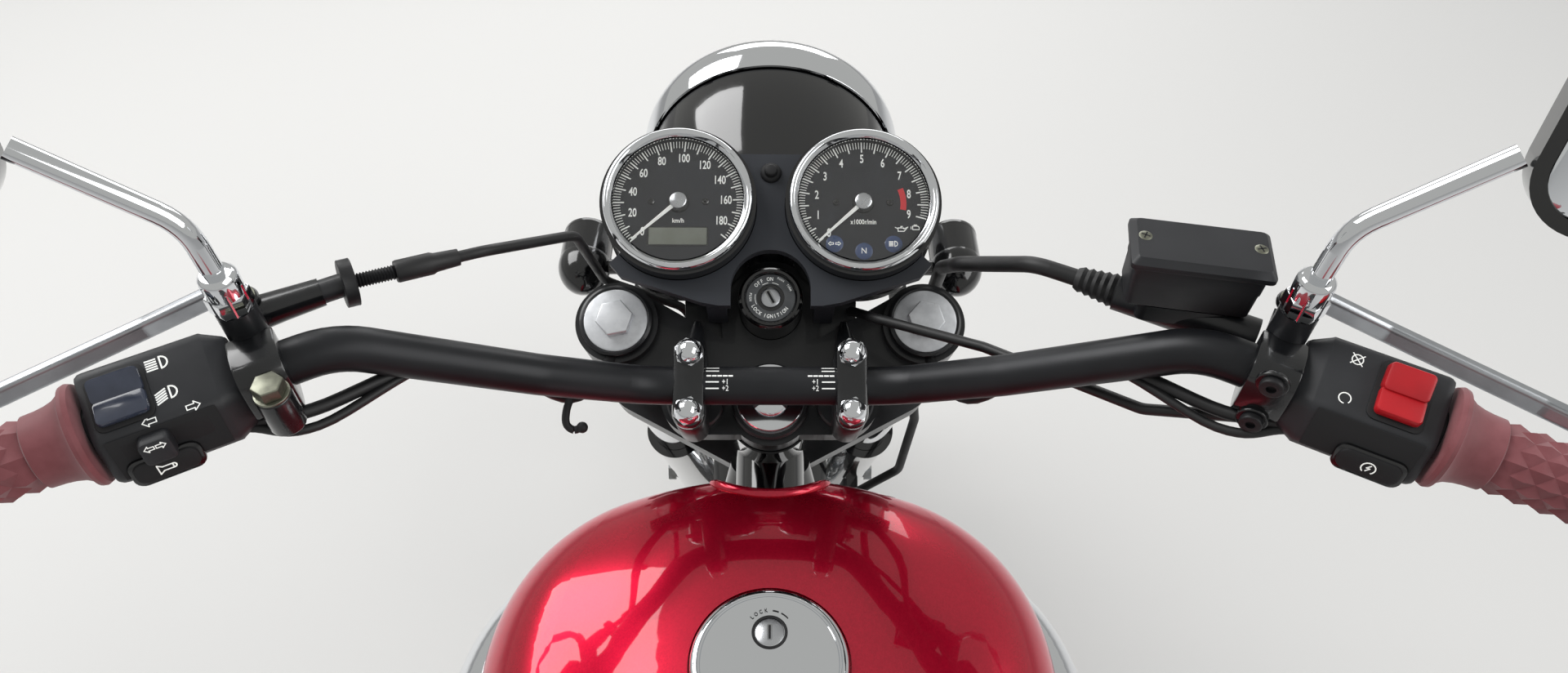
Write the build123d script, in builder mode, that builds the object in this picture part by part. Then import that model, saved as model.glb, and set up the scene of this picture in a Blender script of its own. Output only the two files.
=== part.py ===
from build123d import *
import os
from math import atan2, cos, degrees, radians, sin

os.makedirs("parts", exist_ok=True)

# Cafe racer motorcycle on its centre stand, in millimetres.
# +Y is forward, +X the rider's right, +Z up, and the origin is on the ground under the middle.

# Overall sizes and wheels
WHEELBASE = 1430
TAIL_OVERHANG = 364.5
FRONT_TYRE_R = 318.5
FRONT_TYRE_W = 100
REAR_TYRE_R = 324.5
REAR_TYRE_W = 120
RIM_SEAT_R = 228.6
RIM_WALL = 3
REAR_LIFT = 15
FRONT_AXLE_Y = 738
SPOKE_D = 3.6
SPOKES_A_SIDE = 18
AXLE_R = 10
RUNNING_GAP = 0.1
SEAT_GAP = 0.3

# Steering
RAKE = 27
FORK_OFFSET = 50
FORK_SPACING = 194
FORK_LENGTH = 775
STANCHION_R = 20.5
SLIDER_R = 26
SLIDER_TOP = 330
TOP_CLAMP_LOW = 733
TOP_CLAMP_T = 30
LOWER_CLAMP_LOW = 562
LOWER_CLAMP_T = 34
CLAMP_EAR_R = 26
STEM_R = 13
HEAD_TUBE_R = 28.5
HEAD_TUBE_BORE_R = 21
HEAD_TUBE_GAP = 3
BEARING_DEPTH = 12

# Handlebar and what is on it
BAR_RISE = 35
BAR_HALF = 410
BAR_R = 11.1
BAR_WALL = 2.5
BAR_BEND = 45
RISER_SPACING = 93
RISER_WIDTH = 18
GRIP_WALL = 5.4
GRIP_FLANGE = 13

# Gauges and headlamp
GAUGE_SPACING = 111.4
GAUGE_R = 47
GAUGE_DEPTH = 62
GAUGE_AHEAD = 112.8
GAUGE_TOP = 819.3
HEADLAMP_R = 100
HEADLAMP_DEPTH = 150
HEADLAMP_Y = 610
HEADLAMP_Z = 952

# Frame
CRADLE_HALF = 105
CRADLE_TUBE_R = 15
CRADLE_Z = 195
BACKBONE_R = 24
RAIL_HALF = 92
RAIL_TUBE_R = 12.5
RAIL_Z = 750
PIVOT_Y = -175
PIVOT_Z = 378
PIVOT_R = 8

# Stands
STAND_Y = -205
STAND_Z = 240
STAND_FOOT_HALF = 125
SIDE_STAND_LENGTH = 158

# Engine
CYLINDER_SPACING = 96
CYLINDER_BORE_R = 38
FIN_COUNT = 9
FIN_T = 3
FIN_PITCH = 12
ENGINE_Y = 20
CRANKCASE_TOP = 430

# Chain run
CHAIN_X = -82
CHAIN_ROLLER_R = 5
CHAIN_PLATE_T = 3
CHAIN_INNER = 8
FRONT_SPROCKET = (-105, 365, 38)
REAR_SPROCKET_R = 88

# Tank
TANK_REAR_Y = -185
TANK_FRONT_Y = 326
CAP_Y = 190
CAP_Z = 942
CAP_R = 44
FILLER_R = 26

front_axle = Vector(0, FRONT_AXLE_Y, FRONT_TYRE_R)
rear_axle = Vector(0, front_axle.Y - WHEELBASE, REAR_TYRE_R + REAR_LIFT)
axis_up = Vector(0, -sin(radians(RAKE)), cos(radians(RAKE)))
axis_ahead = Vector(0, cos(radians(RAKE)), sin(radians(RAKE)))
axis_foot = front_axle - axis_ahead * FORK_OFFSET
across = Vector(1, 0, 0)
fork_x = FORK_SPACING / 2
tail_y = rear_axle.Y - TAIL_OVERHANG
middle_y = (tail_y + front_axle.Y + FRONT_TYRE_R) / 2
SIDES = (-1, 1)


def on_fork(x, ahead, up):
    """A point across, ahead of and along the steering axis, counted from the axle's level."""
    return axis_foot + across * x + axis_ahead * ahead + axis_up * up


def fork_plane(x, ahead, up):
    """The plane square to the steering axis at such a point."""
    return Plane(origin=on_fork(x, ahead, up), x_dir=(1, 0, 0), z_dir=axis_up)


def facing(origin, direction):
    """A plane at a point, looking along a direction."""
    return Plane(origin=origin, z_dir=direction)


def keep(part, name):
    """Set a finished piece about the machine's middle, label it and write it."""
    placed = Pos(0, -middle_y, 0) * part
    placed.label = name
    export_step(placed, f"parts/{name}.step")


def between(start, end, share):
    """The point a share of the way from start to end."""
    return start + (end - start) * share


def tube(points, radius, bend):
    """A round bar along a run with its corners rounded."""
    with BuildLine() as run:
        FilletPolyline(*points, radius=bend)
    with BuildSketch(Plane(run.line ^ 0)) as section:
        Circle(radius)
    return sweep(section.sketch, path=run.line, mode=Mode.PRIVATE)


def bar_between(start, end, radius):
    """A straight round bar from one point to another."""
    start, end = Vector(*start), Vector(*end)
    with BuildSketch(facing(start, end - start)) as section:
        Circle(radius)
    return extrude(section.sketch, amount=(end - start).length, mode=Mode.PRIVATE)


# Wheels: name, axle, tyre radius, tyre width, rim width, flange radius, flange x, lacing angle
WHEELS = (
    ("front", front_axle, FRONT_TYRE_R, FRONT_TYRE_W, 60, 38, 33, 60),
    ("rear", rear_axle, REAR_TYRE_R, REAR_TYRE_W, 70, 82, 36, 40),
)

for name, axle, tyre_r, tyre_w, rim_w, flange_r, flange_x, lacing in WHEELS:
    section = Plane(origin=axle, x_dir=(1, 0, 0), z_dir=(0, -1, 0))
    spin = Axis(axle, across)
    half_rim = rim_w / 2
    bead_x = half_rim - 4 - SEAT_GAP
    half_tyre = tyre_w / 2
    shoulder_r = tyre_r - 0.42 * tyre_w
    bead_r = RIM_SEAT_R + SEAT_GAP
    lip_r = RIM_SEAT_R + 12

    with BuildPart() as tyre:
        with BuildSketch(section):
            with BuildLine():
                crown = ThreePointArc((-half_tyre, shoulder_r), (0, tyre_r), (half_tyre, shoulder_r))
                Line(crown @ 1, (half_rim + 2, lip_r + 6))
                Line((half_rim + 2, lip_r + 6), (bead_x, lip_r))
                Line((bead_x, lip_r), (bead_x, bead_r))
                Line((bead_x, bead_r), (-bead_x, bead_r))
                Line((-bead_x, bead_r), (-bead_x, lip_r))
                Line((-bead_x, lip_r), (-half_rim - 2, lip_r + 6))
                Line((-half_rim - 2, lip_r + 6), crown @ 0)
            make_face()
        revolve(axis=spin)
    keep(tyre.part, f"{name}_tyre")

    well_r = RIM_SEAT_R - 14
    with BuildPart() as rim:
        with BuildSketch(section):
            with BuildLine():
                Polyline(
                    (half_rim, lip_r),
                    (half_rim - 4, lip_r),
                    (half_rim - 4, RIM_SEAT_R),
                    (14, RIM_SEAT_R),
                    (9, well_r),
                    (-9, well_r),
                    (-14, RIM_SEAT_R),
                    (4 - half_rim, RIM_SEAT_R),
                    (4 - half_rim, lip_r),
                    (-half_rim, lip_r),
                    (-half_rim, RIM_SEAT_R - RIM_WALL),
                    (-16, RIM_SEAT_R - RIM_WALL),
                    (-11, well_r - RIM_WALL),
                    (11, well_r - RIM_WALL),
                    (16, RIM_SEAT_R - RIM_WALL),
                    (half_rim, RIM_SEAT_R - RIM_WALL),
                    close=True,
                )
            make_face()
        revolve(axis=spin)
    keep(rim.part, f"{name}_rim")

    # Each spoke runs from its flange to the well of the rim, leading or trailing by the lacing angle
    spoke_end_r = well_r - RIM_WALL - 3 * SEAT_GAP
    hole_r = flange_r - 5
    hub_half = flange_x + 18
    with BuildPart() as hub:
        with BuildSketch(section):
            with BuildLine():
                Polyline(
                    (hub_half, AXLE_R + RUNNING_GAP),
                    (hub_half, AXLE_R + 12),
                    (flange_x + 6, AXLE_R + 14),
                    (flange_x + 4, flange_r),
                    (flange_x - 4, flange_r),
                    (flange_x - 6, flange_r - 14),
                    (6 - flange_x, flange_r - 14),
                    (4 - flange_x, flange_r),
                    (-flange_x - 4, flange_r),
                    (-flange_x - 6, AXLE_R + 14),
                    (-hub_half, AXLE_R + 12),
                    (-hub_half, AXLE_R + RUNNING_GAP),
                    close=True,
                )
            make_face()
        revolve(axis=spin)
        for side in SIDES:
            for number in range(SPOKES_A_SIDE):
                lead = 1 if number % 2 else -1
                hub_angle = radians(360 / SPOKES_A_SIDE * (number + 0.25 * side))
                rim_angle = hub_angle + radians(lead * lacing)
                start_x = side * (flange_x + lead * 4.5)
                start = axle + Vector(start_x, hole_r * cos(hub_angle), hole_r * sin(hub_angle))
                end_y = spoke_end_r * cos(rim_angle)
                end_z = spoke_end_r * sin(rim_angle)
                end = axle + Vector(side * (4 + lead * 4.5), end_y, end_z)
                with BuildSketch(facing(start, end - start)):
                    Circle(SPOKE_D / 2)
        # Every spoke has the same length
        extrude(amount=(end - start).length)
    keep(hub.part, f"{name}_hub")

# Front brake disc on the right flange, with a ring of holes
DISC_R = 148
DISC_T = 5
DISC_X = 57
disc_plane = Plane(origin=front_axle + across * DISC_X, x_dir=(0, 1, 0), z_dir=(1, 0, 0))
front_hub_half = 33 + 18
with BuildPart() as front_disc:
    with BuildSketch(disc_plane):
        Circle(DISC_R)
        Circle(DISC_R - 42, mode=Mode.SUBTRACT)
        with PolarLocations(DISC_R - 20, 18):
            Circle(4, mode=Mode.SUBTRACT)
    extrude(amount=DISC_T)
    with BuildSketch(disc_plane):
        Circle(AXLE_R + 34)
        Circle(AXLE_R + 6, mode=Mode.SUBTRACT)
        with PolarLocations(80, 6):
            Rectangle(76, 16)
    extrude(amount=DISC_T)
    with BuildSketch(disc_plane):
        Circle(AXLE_R + 20)
        Circle(AXLE_R + 6, mode=Mode.SUBTRACT)
    extrude(amount=-(DISC_X - front_hub_half - SEAT_GAP))
keep(front_disc.part, "front_disc")

# Rear sprocket with its teeth, on the left flange
SPROCKET_T = 7
SPROCKET_TEETH = 36
sprocket_plane = Plane(
    origin=rear_axle + across * (CHAIN_X - SPROCKET_T / 2), x_dir=(0, 1, 0), z_dir=(1, 0, 0)
)
rear_hub_half = 36 + 18
with BuildPart() as rear_sprocket:
    with BuildSketch(sprocket_plane):
        Circle(REAR_SPROCKET_R + 3)
        with PolarLocations(REAR_SPROCKET_R + 3, SPROCKET_TEETH):
            Circle(CHAIN_ROLLER_R, mode=Mode.SUBTRACT)
        Circle(AXLE_R + 8, mode=Mode.SUBTRACT)
        with PolarLocations(62, 6):
            Circle(14, mode=Mode.SUBTRACT)
    extrude(amount=SPROCKET_T)
    with BuildSketch(sprocket_plane.offset(SPROCKET_T)):
        Circle(44)
        Circle(AXLE_R + 8, mode=Mode.SUBTRACT)
    extrude(amount=-CHAIN_X - SPROCKET_T / 2 - rear_hub_half - SEAT_GAP)
keep(rear_sprocket.part, "rear_sprocket")

# Front axle through the feet of the sliders, with its nuts
axle_half = fork_x + SLIDER_R + 4
with BuildPart() as front_axle_shaft:
    with BuildSketch(Plane.YZ.offset(-axle_half)):
        with Locations((front_axle.Y, front_axle.Z)):
            Circle(AXLE_R)
    extrude(amount=2 * axle_half)
    for side in SIDES:
        with BuildSketch(Plane.YZ.offset(side * (axle_half - 3))):
            with Locations((front_axle.Y, front_axle.Z)):
                RegularPolygon(15, 6)
        extrude(amount=side * 9)
keep(front_axle_shaft.part, "front_axle")

# Fork: sliders with axle feet, stanchions, caps and the stem nut
with BuildPart() as fork_sliders:
    for side in SIDES:
        with BuildSketch(fork_plane(side * fork_x, FORK_OFFSET, -24)):
            Circle(SLIDER_R)
        extrude(amount=SLIDER_TOP + 24)
        with BuildSketch(fork_plane(side * fork_x, FORK_OFFSET, SLIDER_TOP - 8)):
            Circle(SLIDER_R + 2.5)
        extrude(amount=8)
        with BuildSketch(fork_plane(side * fork_x, FORK_OFFSET, 255)):
            Circle(STANCHION_R + SEAT_GAP)
        extrude(amount=SLIDER_TOP, mode=Mode.SUBTRACT)
    with BuildSketch(Plane.YZ.offset(-axle_half - 20)):
        with Locations((front_axle.Y, front_axle.Z)):
            Circle(AXLE_R + RUNNING_GAP)
    extrude(amount=2 * axle_half + 40, mode=Mode.SUBTRACT)
    for side in SIDES:
        with BuildSketch(Plane.YZ.offset(side * (axle_half - 3.2))):
            with Locations((front_axle.Y, front_axle.Z)):
                Circle(18)
        extrude(amount=side * 20, mode=Mode.SUBTRACT)
    # Lugs behind the right leg carry the caliper
    with BuildSketch(fork_plane(fork_x, FORK_OFFSET - SLIDER_R - 8, 70)):
        Rectangle(14, 26)
    extrude(amount=70)
keep(fork_sliders.part, "fork_sliders")

with BuildPart() as fork_tubes:
    for side in SIDES:
        with BuildSketch(fork_plane(side * fork_x, FORK_OFFSET, 258)):
            Circle(STANCHION_R)
        extrude(amount=FORK_LENGTH - 15 - 258)
keep(fork_tubes.part, "fork_tubes")

clamp_top = TOP_CLAMP_LOW + TOP_CLAMP_T
riser_x = RISER_SPACING / 2


def web(first, second):
    """The outline round two discs, each given by its centre and radius."""
    with BuildSketch() as outline:
        for x, y, radius in (first, second):
            with Locations((x, y)):
                Circle(radius)
        make_hull()
    return outline.sketch


# Webs of the top clamp: discs joined in pairs, as across, ahead and radius
clamp_web_top = clamp_top - 8
LOCK_AHEAD = 61
LOCK_R = 20
RISER_BOSS_R = 18
STEM_BOSS_R = 24
CLAMP_WEBS = (
    ((-fork_x, FORK_OFFSET, CLAMP_EAR_R), (-24, 8, 26)),
    ((fork_x, FORK_OFFSET, CLAMP_EAR_R), (24, 8, 26)),
    ((-riser_x, 2, 22), (riser_x, 2, 22)),
    ((0, 0, 27), (0, LOCK_AHEAD, LOCK_R + 12)),
)
with BuildPart() as top_clamp:
    with BuildSketch(fork_plane(0, 0, TOP_CLAMP_LOW)):
        for first, second in CLAMP_WEBS:
            add(web(first, second))
    extrude(amount=clamp_web_top - TOP_CLAMP_LOW)
    with BuildSketch(fork_plane(0, 0, clamp_web_top)):
        with Locations((-fork_x, FORK_OFFSET), (fork_x, FORK_OFFSET)):
            Circle(CLAMP_EAR_R)
        with Locations((-riser_x, 0), (riser_x, 0)):
            Circle(RISER_BOSS_R)
        Circle(STEM_BOSS_R)
    extrude(amount=8)
    with BuildSketch(fork_plane(0, 0, TOP_CLAMP_LOW)):
        Circle(STEM_R + RUNNING_GAP)
        with Locations((-fork_x, FORK_OFFSET), (fork_x, FORK_OFFSET)):
            Circle(STANCHION_R + RUNNING_GAP)
    extrude(amount=TOP_CLAMP_T, mode=Mode.SUBTRACT)
    with BuildSketch(fork_plane(0, LOCK_AHEAD, clamp_top - 10)):
        Circle(LOCK_R + SEAT_GAP)
    extrude(amount=30, mode=Mode.SUBTRACT)
    # Bevels round the bosses of the risers and the stem
    top_rims = top_clamp.edges().filter_by(GeomType.CIRCLE).group_by(Axis(axis_foot, axis_up))[-1]
    chamfer([edge for edge in top_rims if edge.radius in (RISER_BOSS_R, STEM_BOSS_R)], 1.2)
keep(top_clamp.part, "top_clamp")

with BuildPart() as lower_clamp:
    with BuildSketch(fork_plane(0, 0, LOWER_CLAMP_LOW)):
        Circle(30)
        with Locations((-fork_x, FORK_OFFSET), (fork_x, FORK_OFFSET)):
            Circle(CLAMP_EAR_R + 3)
        make_hull()
    extrude(amount=LOWER_CLAMP_T)
    with BuildSketch(fork_plane(0, 0, LOWER_CLAMP_LOW)):
        with Locations((-fork_x, FORK_OFFSET), (fork_x, FORK_OFFSET)):
            Circle(STANCHION_R + RUNNING_GAP)
    extrude(amount=LOWER_CLAMP_T, mode=Mode.SUBTRACT)
    with BuildSketch(fork_plane(0, 0, LOWER_CLAMP_LOW)):
        Circle(STEM_R)
    extrude(amount=clamp_top + 6 - LOWER_CLAMP_LOW)
keep(lower_clamp.part, "lower_clamp")

# Caps of the fork and the nut of the stem
with BuildPart() as fork_caps:
    for side in SIDES:
        with BuildSketch(fork_plane(side * fork_x, FORK_OFFSET, FORK_LENGTH - 15 + SEAT_GAP)):
            Circle(STANCHION_R - 0.6)
        extrude(amount=8)
        with BuildSketch(fork_plane(side * fork_x, FORK_OFFSET, FORK_LENGTH - 7)):
            RegularPolygon(11, 6)
        extrude(amount=7)
    with BuildSketch(fork_plane(0, 0, clamp_top + SEAT_GAP)):
        Circle(21)
        Circle(STEM_R + RUNNING_GAP, mode=Mode.SUBTRACT)
    extrude(amount=3)
    with BuildSketch(fork_plane(0, 0, clamp_top + SEAT_GAP + 3)):
        RegularPolygon(18, 6)
        Circle(STEM_R + RUNNING_GAP, mode=Mode.SUBTRACT)
    extrude(amount=8)
keep(fork_caps.part, "fork_caps")

# Handlebar, a bent tube open at both ends, symmetric about the middle
bar_centre = on_fork(0, 0, clamp_top + BAR_RISE + 12)
# Across, forward and up from the bar's centre
BAR_POINTS = (
    (72, 0, 0),
    (BAR_HALF - 286, -25, 41),
    (BAR_HALF - 204, -53, 97),
    (BAR_HALF, -162, 95),
)


def bar_point(side, row):
    """A point of the bar's run on one side."""
    return bar_centre + Vector(side * row[0], row[1], row[2])


left_run = [bar_point(-1, row) for row in reversed(BAR_POINTS)]
right_run = [bar_point(1, row) for row in BAR_POINTS]
with BuildPart() as handlebar:
    with BuildLine() as bar_line:
        FilletPolyline(*left_run, *right_run, radius=BAR_BEND)
    with BuildSketch(Plane(bar_line.line ^ 0)):
        Circle(BAR_R)
        Circle(BAR_R - BAR_WALL, mode=Mode.SUBTRACT)
    sweep()
keep(handlebar.part, "handlebar")


def bar_station(side, reach):
    """A plane on the outer straight of the bar, looking outwards, reach back from its end."""
    end = bar_point(side, BAR_POINTS[-1])
    outward = (end - bar_point(side, BAR_POINTS[-2])).normalized()
    return Plane(origin=end - outward * reach, x_dir=(0, 0, 1), z_dir=outward)


# Risers: a foot on the clamp and a cap over the bar, held by four domed nuts
with BuildPart() as bar_clamps:
    for side in SIDES:
        block = Plane(
            origin=bar_centre + across * (side * riser_x - RISER_WIDTH / 2),
            x_dir=axis_ahead,
            z_dir=(1, 0, 0),
        )
        with BuildSketch(block):
            with BuildLine():
                foot_drop = BAR_RISE + 12 - SEAT_GAP
                foot = BAR_R + 2
                cap = BAR_R + 6
                Polyline((-foot, 0), (-foot, -foot_drop), (foot, -foot_drop), (foot, 0), (26, 0), (26, 7))
                Polyline((26, 7), (18, 12), (9, cap), (-9, cap), (-18, 12), (-26, 7), (-26, 0), (-foot, 0))
            make_face()
            Circle(BAR_R + RUNNING_GAP, mode=Mode.SUBTRACT)
        extrude(amount=RISER_WIDTH)
        for ahead in (-17, 17):
            nut_base = bar_centre + across * (side * riser_x) + axis_ahead * ahead + axis_up * 9
            with BuildSketch(Plane(origin=nut_base, x_dir=(1, 0, 0), z_dir=axis_up)):
                Circle(8)
            extrude(amount=8, taper=20)
keep(bar_clamps.part, "bar_clamps")

GRIP_LENGTH = 125
with BuildPart() as grips:
    for side in SIDES:
        with BuildSketch(bar_station(side, 0)):
            Circle(BAR_R + GRIP_WALL)
        extrude(amount=-GRIP_LENGTH)
        with BuildSketch(bar_station(side, GRIP_LENGTH)):
            Circle(BAR_R + GRIP_FLANGE)
        extrude(amount=5)
        with BuildSketch(bar_station(side, GRIP_LENGTH + 1)):
            Circle(BAR_R + RUNNING_GAP)
        extrude(amount=GRIP_LENGTH + 2, mode=Mode.SUBTRACT)
keep(grips.part, "grips")

SWITCH_LENGTH = 62
switch_reach = GRIP_LENGTH + 2
with BuildPart() as switch_housings:
    for side in SIDES:
        with BuildSketch(bar_station(side, switch_reach + SWITCH_LENGTH)):
            RectangleRounded(44, 46, 10)
        extrude(amount=SWITCH_LENGTH)
        with BuildSketch(bar_station(side, switch_reach + SWITCH_LENGTH + 1)):
            Circle(BAR_R + RUNNING_GAP)
        extrude(amount=SWITCH_LENGTH + 2, mode=Mode.SUBTRACT)
    chamfer(switch_housings.faces().filter_by(GeomType.PLANE).sort_by(Axis.X)[0].outer_wire().edges(), 1.5)
keep(switch_housings.part, "switch_housings")


def bar_spot(side, reach, ahead, up):
    """A point ahead of and above the outer straight of the bar, reach back from its end."""
    station = bar_station(side, reach)
    return station.origin + station.y_dir * (-side * ahead) + station.x_dir * up


def from_tip(side, inward, y, z):
    """A point inward from the tip of the bar, forward of the bar's centre and above it."""
    return bar_centre + Vector(side * (BAR_HALF - inward), y, z)


# Perches inboard of the switch housings carry the levers and the mirrors
RESERVOIR = (204, -18, 98)
reservoir_plane = Plane(origin=from_tip(1, *RESERVOIR), x_dir=(0.985, -0.17, 0), z_dir=(0, 0, 1))
PERCH_REACH = 205
PERCH_WIDTH = 13
LEVER_AHEAD = 36
LEVER_EYE_R = 6
LEVER_T = 7.6
MIRROR_BOSS_TOP = 30
with BuildPart() as control_perches:
    for side in SIDES:
        with BuildSketch(bar_station(side, PERCH_REACH)):
            Circle(BAR_R + 6)
            with Locations((4, -side * LEVER_AHEAD)):
                Circle(9)
            make_hull()
        extrude(amount=PERCH_WIDTH)
        boss_foot = bar_spot(side, PERCH_REACH - PERCH_WIDTH / 2, 15, 6)
        with BuildSketch(Plane(origin=boss_foot, z_dir=(0, 0, 1))):
            Circle(9)
        extrude(amount=MIRROR_BOSS_TOP - 6)
        with BuildSketch(bar_station(side, PERCH_REACH + 1)):
            Circle(BAR_R + RUNNING_GAP)
            # Slot for the lever's eye
            with Locations((4, -side * (LEVER_AHEAD - LEVER_EYE_R - SEAT_GAP + 10))):
                Rectangle(LEVER_T + 2 * SEAT_GAP, 20)
        extrude(amount=PERCH_WIDTH + 2, mode=Mode.SUBTRACT)
    # The brake's cylinder under its reservoir on the right, the clutch cable's adjuster on the left
    add(bar_between(from_tip(1, 170, -38, 87), from_tip(1, 232, -6, 87), 10))
    with BuildSketch(reservoir_plane.offset(-SEAT_GAP)):
        RectangleRounded(44, 24, 4)
    extrude(amount=-10)
    add(bar_between(from_tip(-1, 170, -32.5, 101), from_tip(-1, 202, -15.5, 101), 6))
keep(control_perches.part, "control_perches")

# Levers, each a run of points
# Columns: reach back from the bar's end, ahead of the bar, above it
LEVER_POINTS = ((197, 51, 4), (186, 66, -4), (150, 73, -16), (70, 71, -27), (14, 52, -20))
with BuildPart() as levers:
    for side in SIDES:
        lever_path = [bar_spot(side, *row) for row in LEVER_POINTS]
        with BuildLine() as lever_line:
            FilletPolyline(*lever_path, radius=12)
        with BuildSketch(Plane(lever_line.line ^ 0)):
            RectangleRounded(11, 8, 3)
        sweep()
        station = bar_station(side, PERCH_REACH)
        eye = bar_spot(side, PERCH_REACH - PERCH_WIDTH / 2, LEVER_AHEAD, 4 - LEVER_T / 2)
        with BuildSketch(Plane(origin=eye, x_dir=station.z_dir, z_dir=station.x_dir)):
            Circle(LEVER_EYE_R)
            with Locations((2.5, side * 18)):
                Circle(LEVER_EYE_R - 0.5)
            make_hull()
        extrude(amount=LEVER_T)
        with Locations(lever_path[-1]):
            Sphere(8)
keep(levers.part, "levers")

# Front brake reservoir over the right of the bar
with BuildPart() as brake_reservoir:
    with BuildSketch(reservoir_plane):
        RectangleRounded(61, 27, 4)
    extrude(amount=28)
    with BuildSketch(reservoir_plane.offset(28)):
        RectangleRounded(67, 33, 4)
    extrude(amount=6)
keep(brake_reservoir.part, "brake_reservoir")

# Mirrors: inward from the bar's tip, forward of its centre and above it
MIRROR_W = 116
MIRROR_H = 88
MIRROR_CORNER = 27
MIRROR_DEPTH = 14
MIRROR_EDGE = 6
MIRROR_CENTRE = (52, -66, 232)
STEM_POINTS = ((162, -50, 172), (114, -55, 217))
STEM_BEND = 30
with BuildPart() as mirror_stems:
    for side in SIDES:
        stem_foot = bar_spot(side, PERCH_REACH - PERCH_WIDTH / 2, 15, MIRROR_BOSS_TOP + SEAT_GAP)
        stem_path = [stem_foot + Vector(0, 0, 8)] + [from_tip(side, *row) for row in STEM_POINTS]
        with BuildLine() as stem_line:
            FilletPolyline(*stem_path, radius=STEM_BEND)
        with BuildSketch(Plane(stem_line.line ^ 0)):
            Circle(5)
        sweep()
        with BuildSketch(Plane(origin=stem_foot, z_dir=(0, 0, 1))):
            RegularPolygon(9, 6)
        extrude(amount=14)
keep(mirror_stems.part, "mirror_stems")

with BuildPart() as mirror_heads:
    for side in SIDES:
        # The glass looks back along the machine, inward and up to the rider
        ahead = Vector(side * 0.355, 0.895, -0.268)
        glass_spot = from_tip(side, *MIRROR_CENTRE) - ahead * MIRROR_DEPTH
        back = Plane(origin=glass_spot, x_dir=(0.895, -side * 0.355, 0), z_dir=ahead)
        with BuildSketch(back):
            RectangleRounded(MIRROR_W, MIRROR_H, MIRROR_CORNER)
        extrude(amount=MIRROR_DEPTH)
        with BuildSketch(back.offset(MIRROR_DEPTH)):
            RectangleRounded(MIRROR_W, MIRROR_H, MIRROR_CORNER)
        extrude(amount=MIRROR_DEPTH, taper=50)
        with BuildSketch(back):
            RectangleRounded(MIRROR_W, MIRROR_H, MIRROR_CORNER)
            offset(amount=-MIRROR_EDGE, mode=Mode.REPLACE)
        extrude(amount=4, mode=Mode.SUBTRACT)
keep(mirror_heads.part, "mirror_heads")

# Gauges: cups, bezels and glasses on a panel ahead of the top clamp
gauge_x = GAUGE_SPACING / 2
gauge_low = GAUGE_TOP - GAUGE_DEPTH
PANEL_TOP = 803
PANEL_T = 7
with BuildPart() as gauge_cups:
    with BuildSketch(fork_plane(0, 0, gauge_low)):
        with Locations((-gauge_x, GAUGE_AHEAD), (gauge_x, GAUGE_AHEAD)):
            Circle(GAUGE_R)
    extrude(amount=GAUGE_DEPTH - 6)
    with BuildSketch(fork_plane(0, 0, gauge_low)):
        with Locations((-gauge_x, GAUGE_AHEAD), (gauge_x, GAUGE_AHEAD)):
            Circle(GAUGE_R - 14)
    extrude(amount=-10)
    with BuildSketch(fork_plane(0, 0, GAUGE_TOP - 14)):
        with Locations((-gauge_x, GAUGE_AHEAD), (gauge_x, GAUGE_AHEAD)):
            Circle(GAUGE_R - 6)
    extrude(amount=20, mode=Mode.SUBTRACT)
keep(gauge_cups.part, "gauge_cups")

with BuildPart() as gauge_bezels:
    for side in SIDES:
        spot = on_fork(side * gauge_x, GAUGE_AHEAD, GAUGE_TOP)
        with BuildSketch(Plane(origin=spot, x_dir=(1, 0, 0), z_dir=axis_ahead)):
            with BuildLine():
                # The section is drawn with up along the sketch's own -Y
                Polyline((39, 5.7), (39, 2), (40.5, 0), (43, 0), (45, 2), (45, 5.7), close=True)
            make_face()
        revolve(axis=Axis(spot, axis_up))
keep(gauge_bezels.part, "gauge_bezels")

with BuildPart() as gauge_glasses:
    with BuildSketch(fork_plane(0, 0, GAUGE_TOP - 5)):
        with Locations((-gauge_x, GAUGE_AHEAD), (gauge_x, GAUGE_AHEAD)):
            Circle(39 - SEAT_GAP)
    extrude(amount=2)
keep(gauge_glasses.part, "gauge_glasses")

# Half of the panel's outline, across and ahead, from the top of its web to the notch round the lock
PANEL_HALF = ((20, 147), (40, 138), (97, 76), (90, 68), (42, 52), (31, 50))
with BuildPart() as gauge_panel:
    with BuildSketch(fork_plane(0, 0, PANEL_TOP - PANEL_T)):
        with BuildLine():
            Polyline(*PANEL_HALF, *[(-x, y) for x, y in reversed(PANEL_HALF)], close=True)
        make_face()
        with Locations((0, LOCK_AHEAD)):
            Circle(LOCK_R + 4, mode=Mode.SUBTRACT)
        with Locations((0, LOCK_AHEAD - 20)):
            Rectangle(2 * LOCK_R + 8, 40, mode=Mode.SUBTRACT)
        with Locations((-gauge_x, GAUGE_AHEAD), (gauge_x, GAUGE_AHEAD)):
            Circle(GAUGE_R + SEAT_GAP, mode=Mode.SUBTRACT)
    extrude(amount=PANEL_T)
    with BuildSketch(fork_plane(0, 0, PANEL_TOP - PANEL_T)):
        with Locations((-33, 55), (33, 55)):
            Rectangle(12, 6)
    extrude(amount=clamp_web_top + SEAT_GAP - PANEL_TOP + PANEL_T)
keep(gauge_panel.part, "gauge_panel")

with BuildPart() as ignition_lock:
    with BuildSketch(fork_plane(0, LOCK_AHEAD, clamp_top - 10 + SEAT_GAP)):
        Circle(LOCK_R)
    extrude(amount=28)
keep(ignition_lock.part, "ignition_lock")

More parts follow.
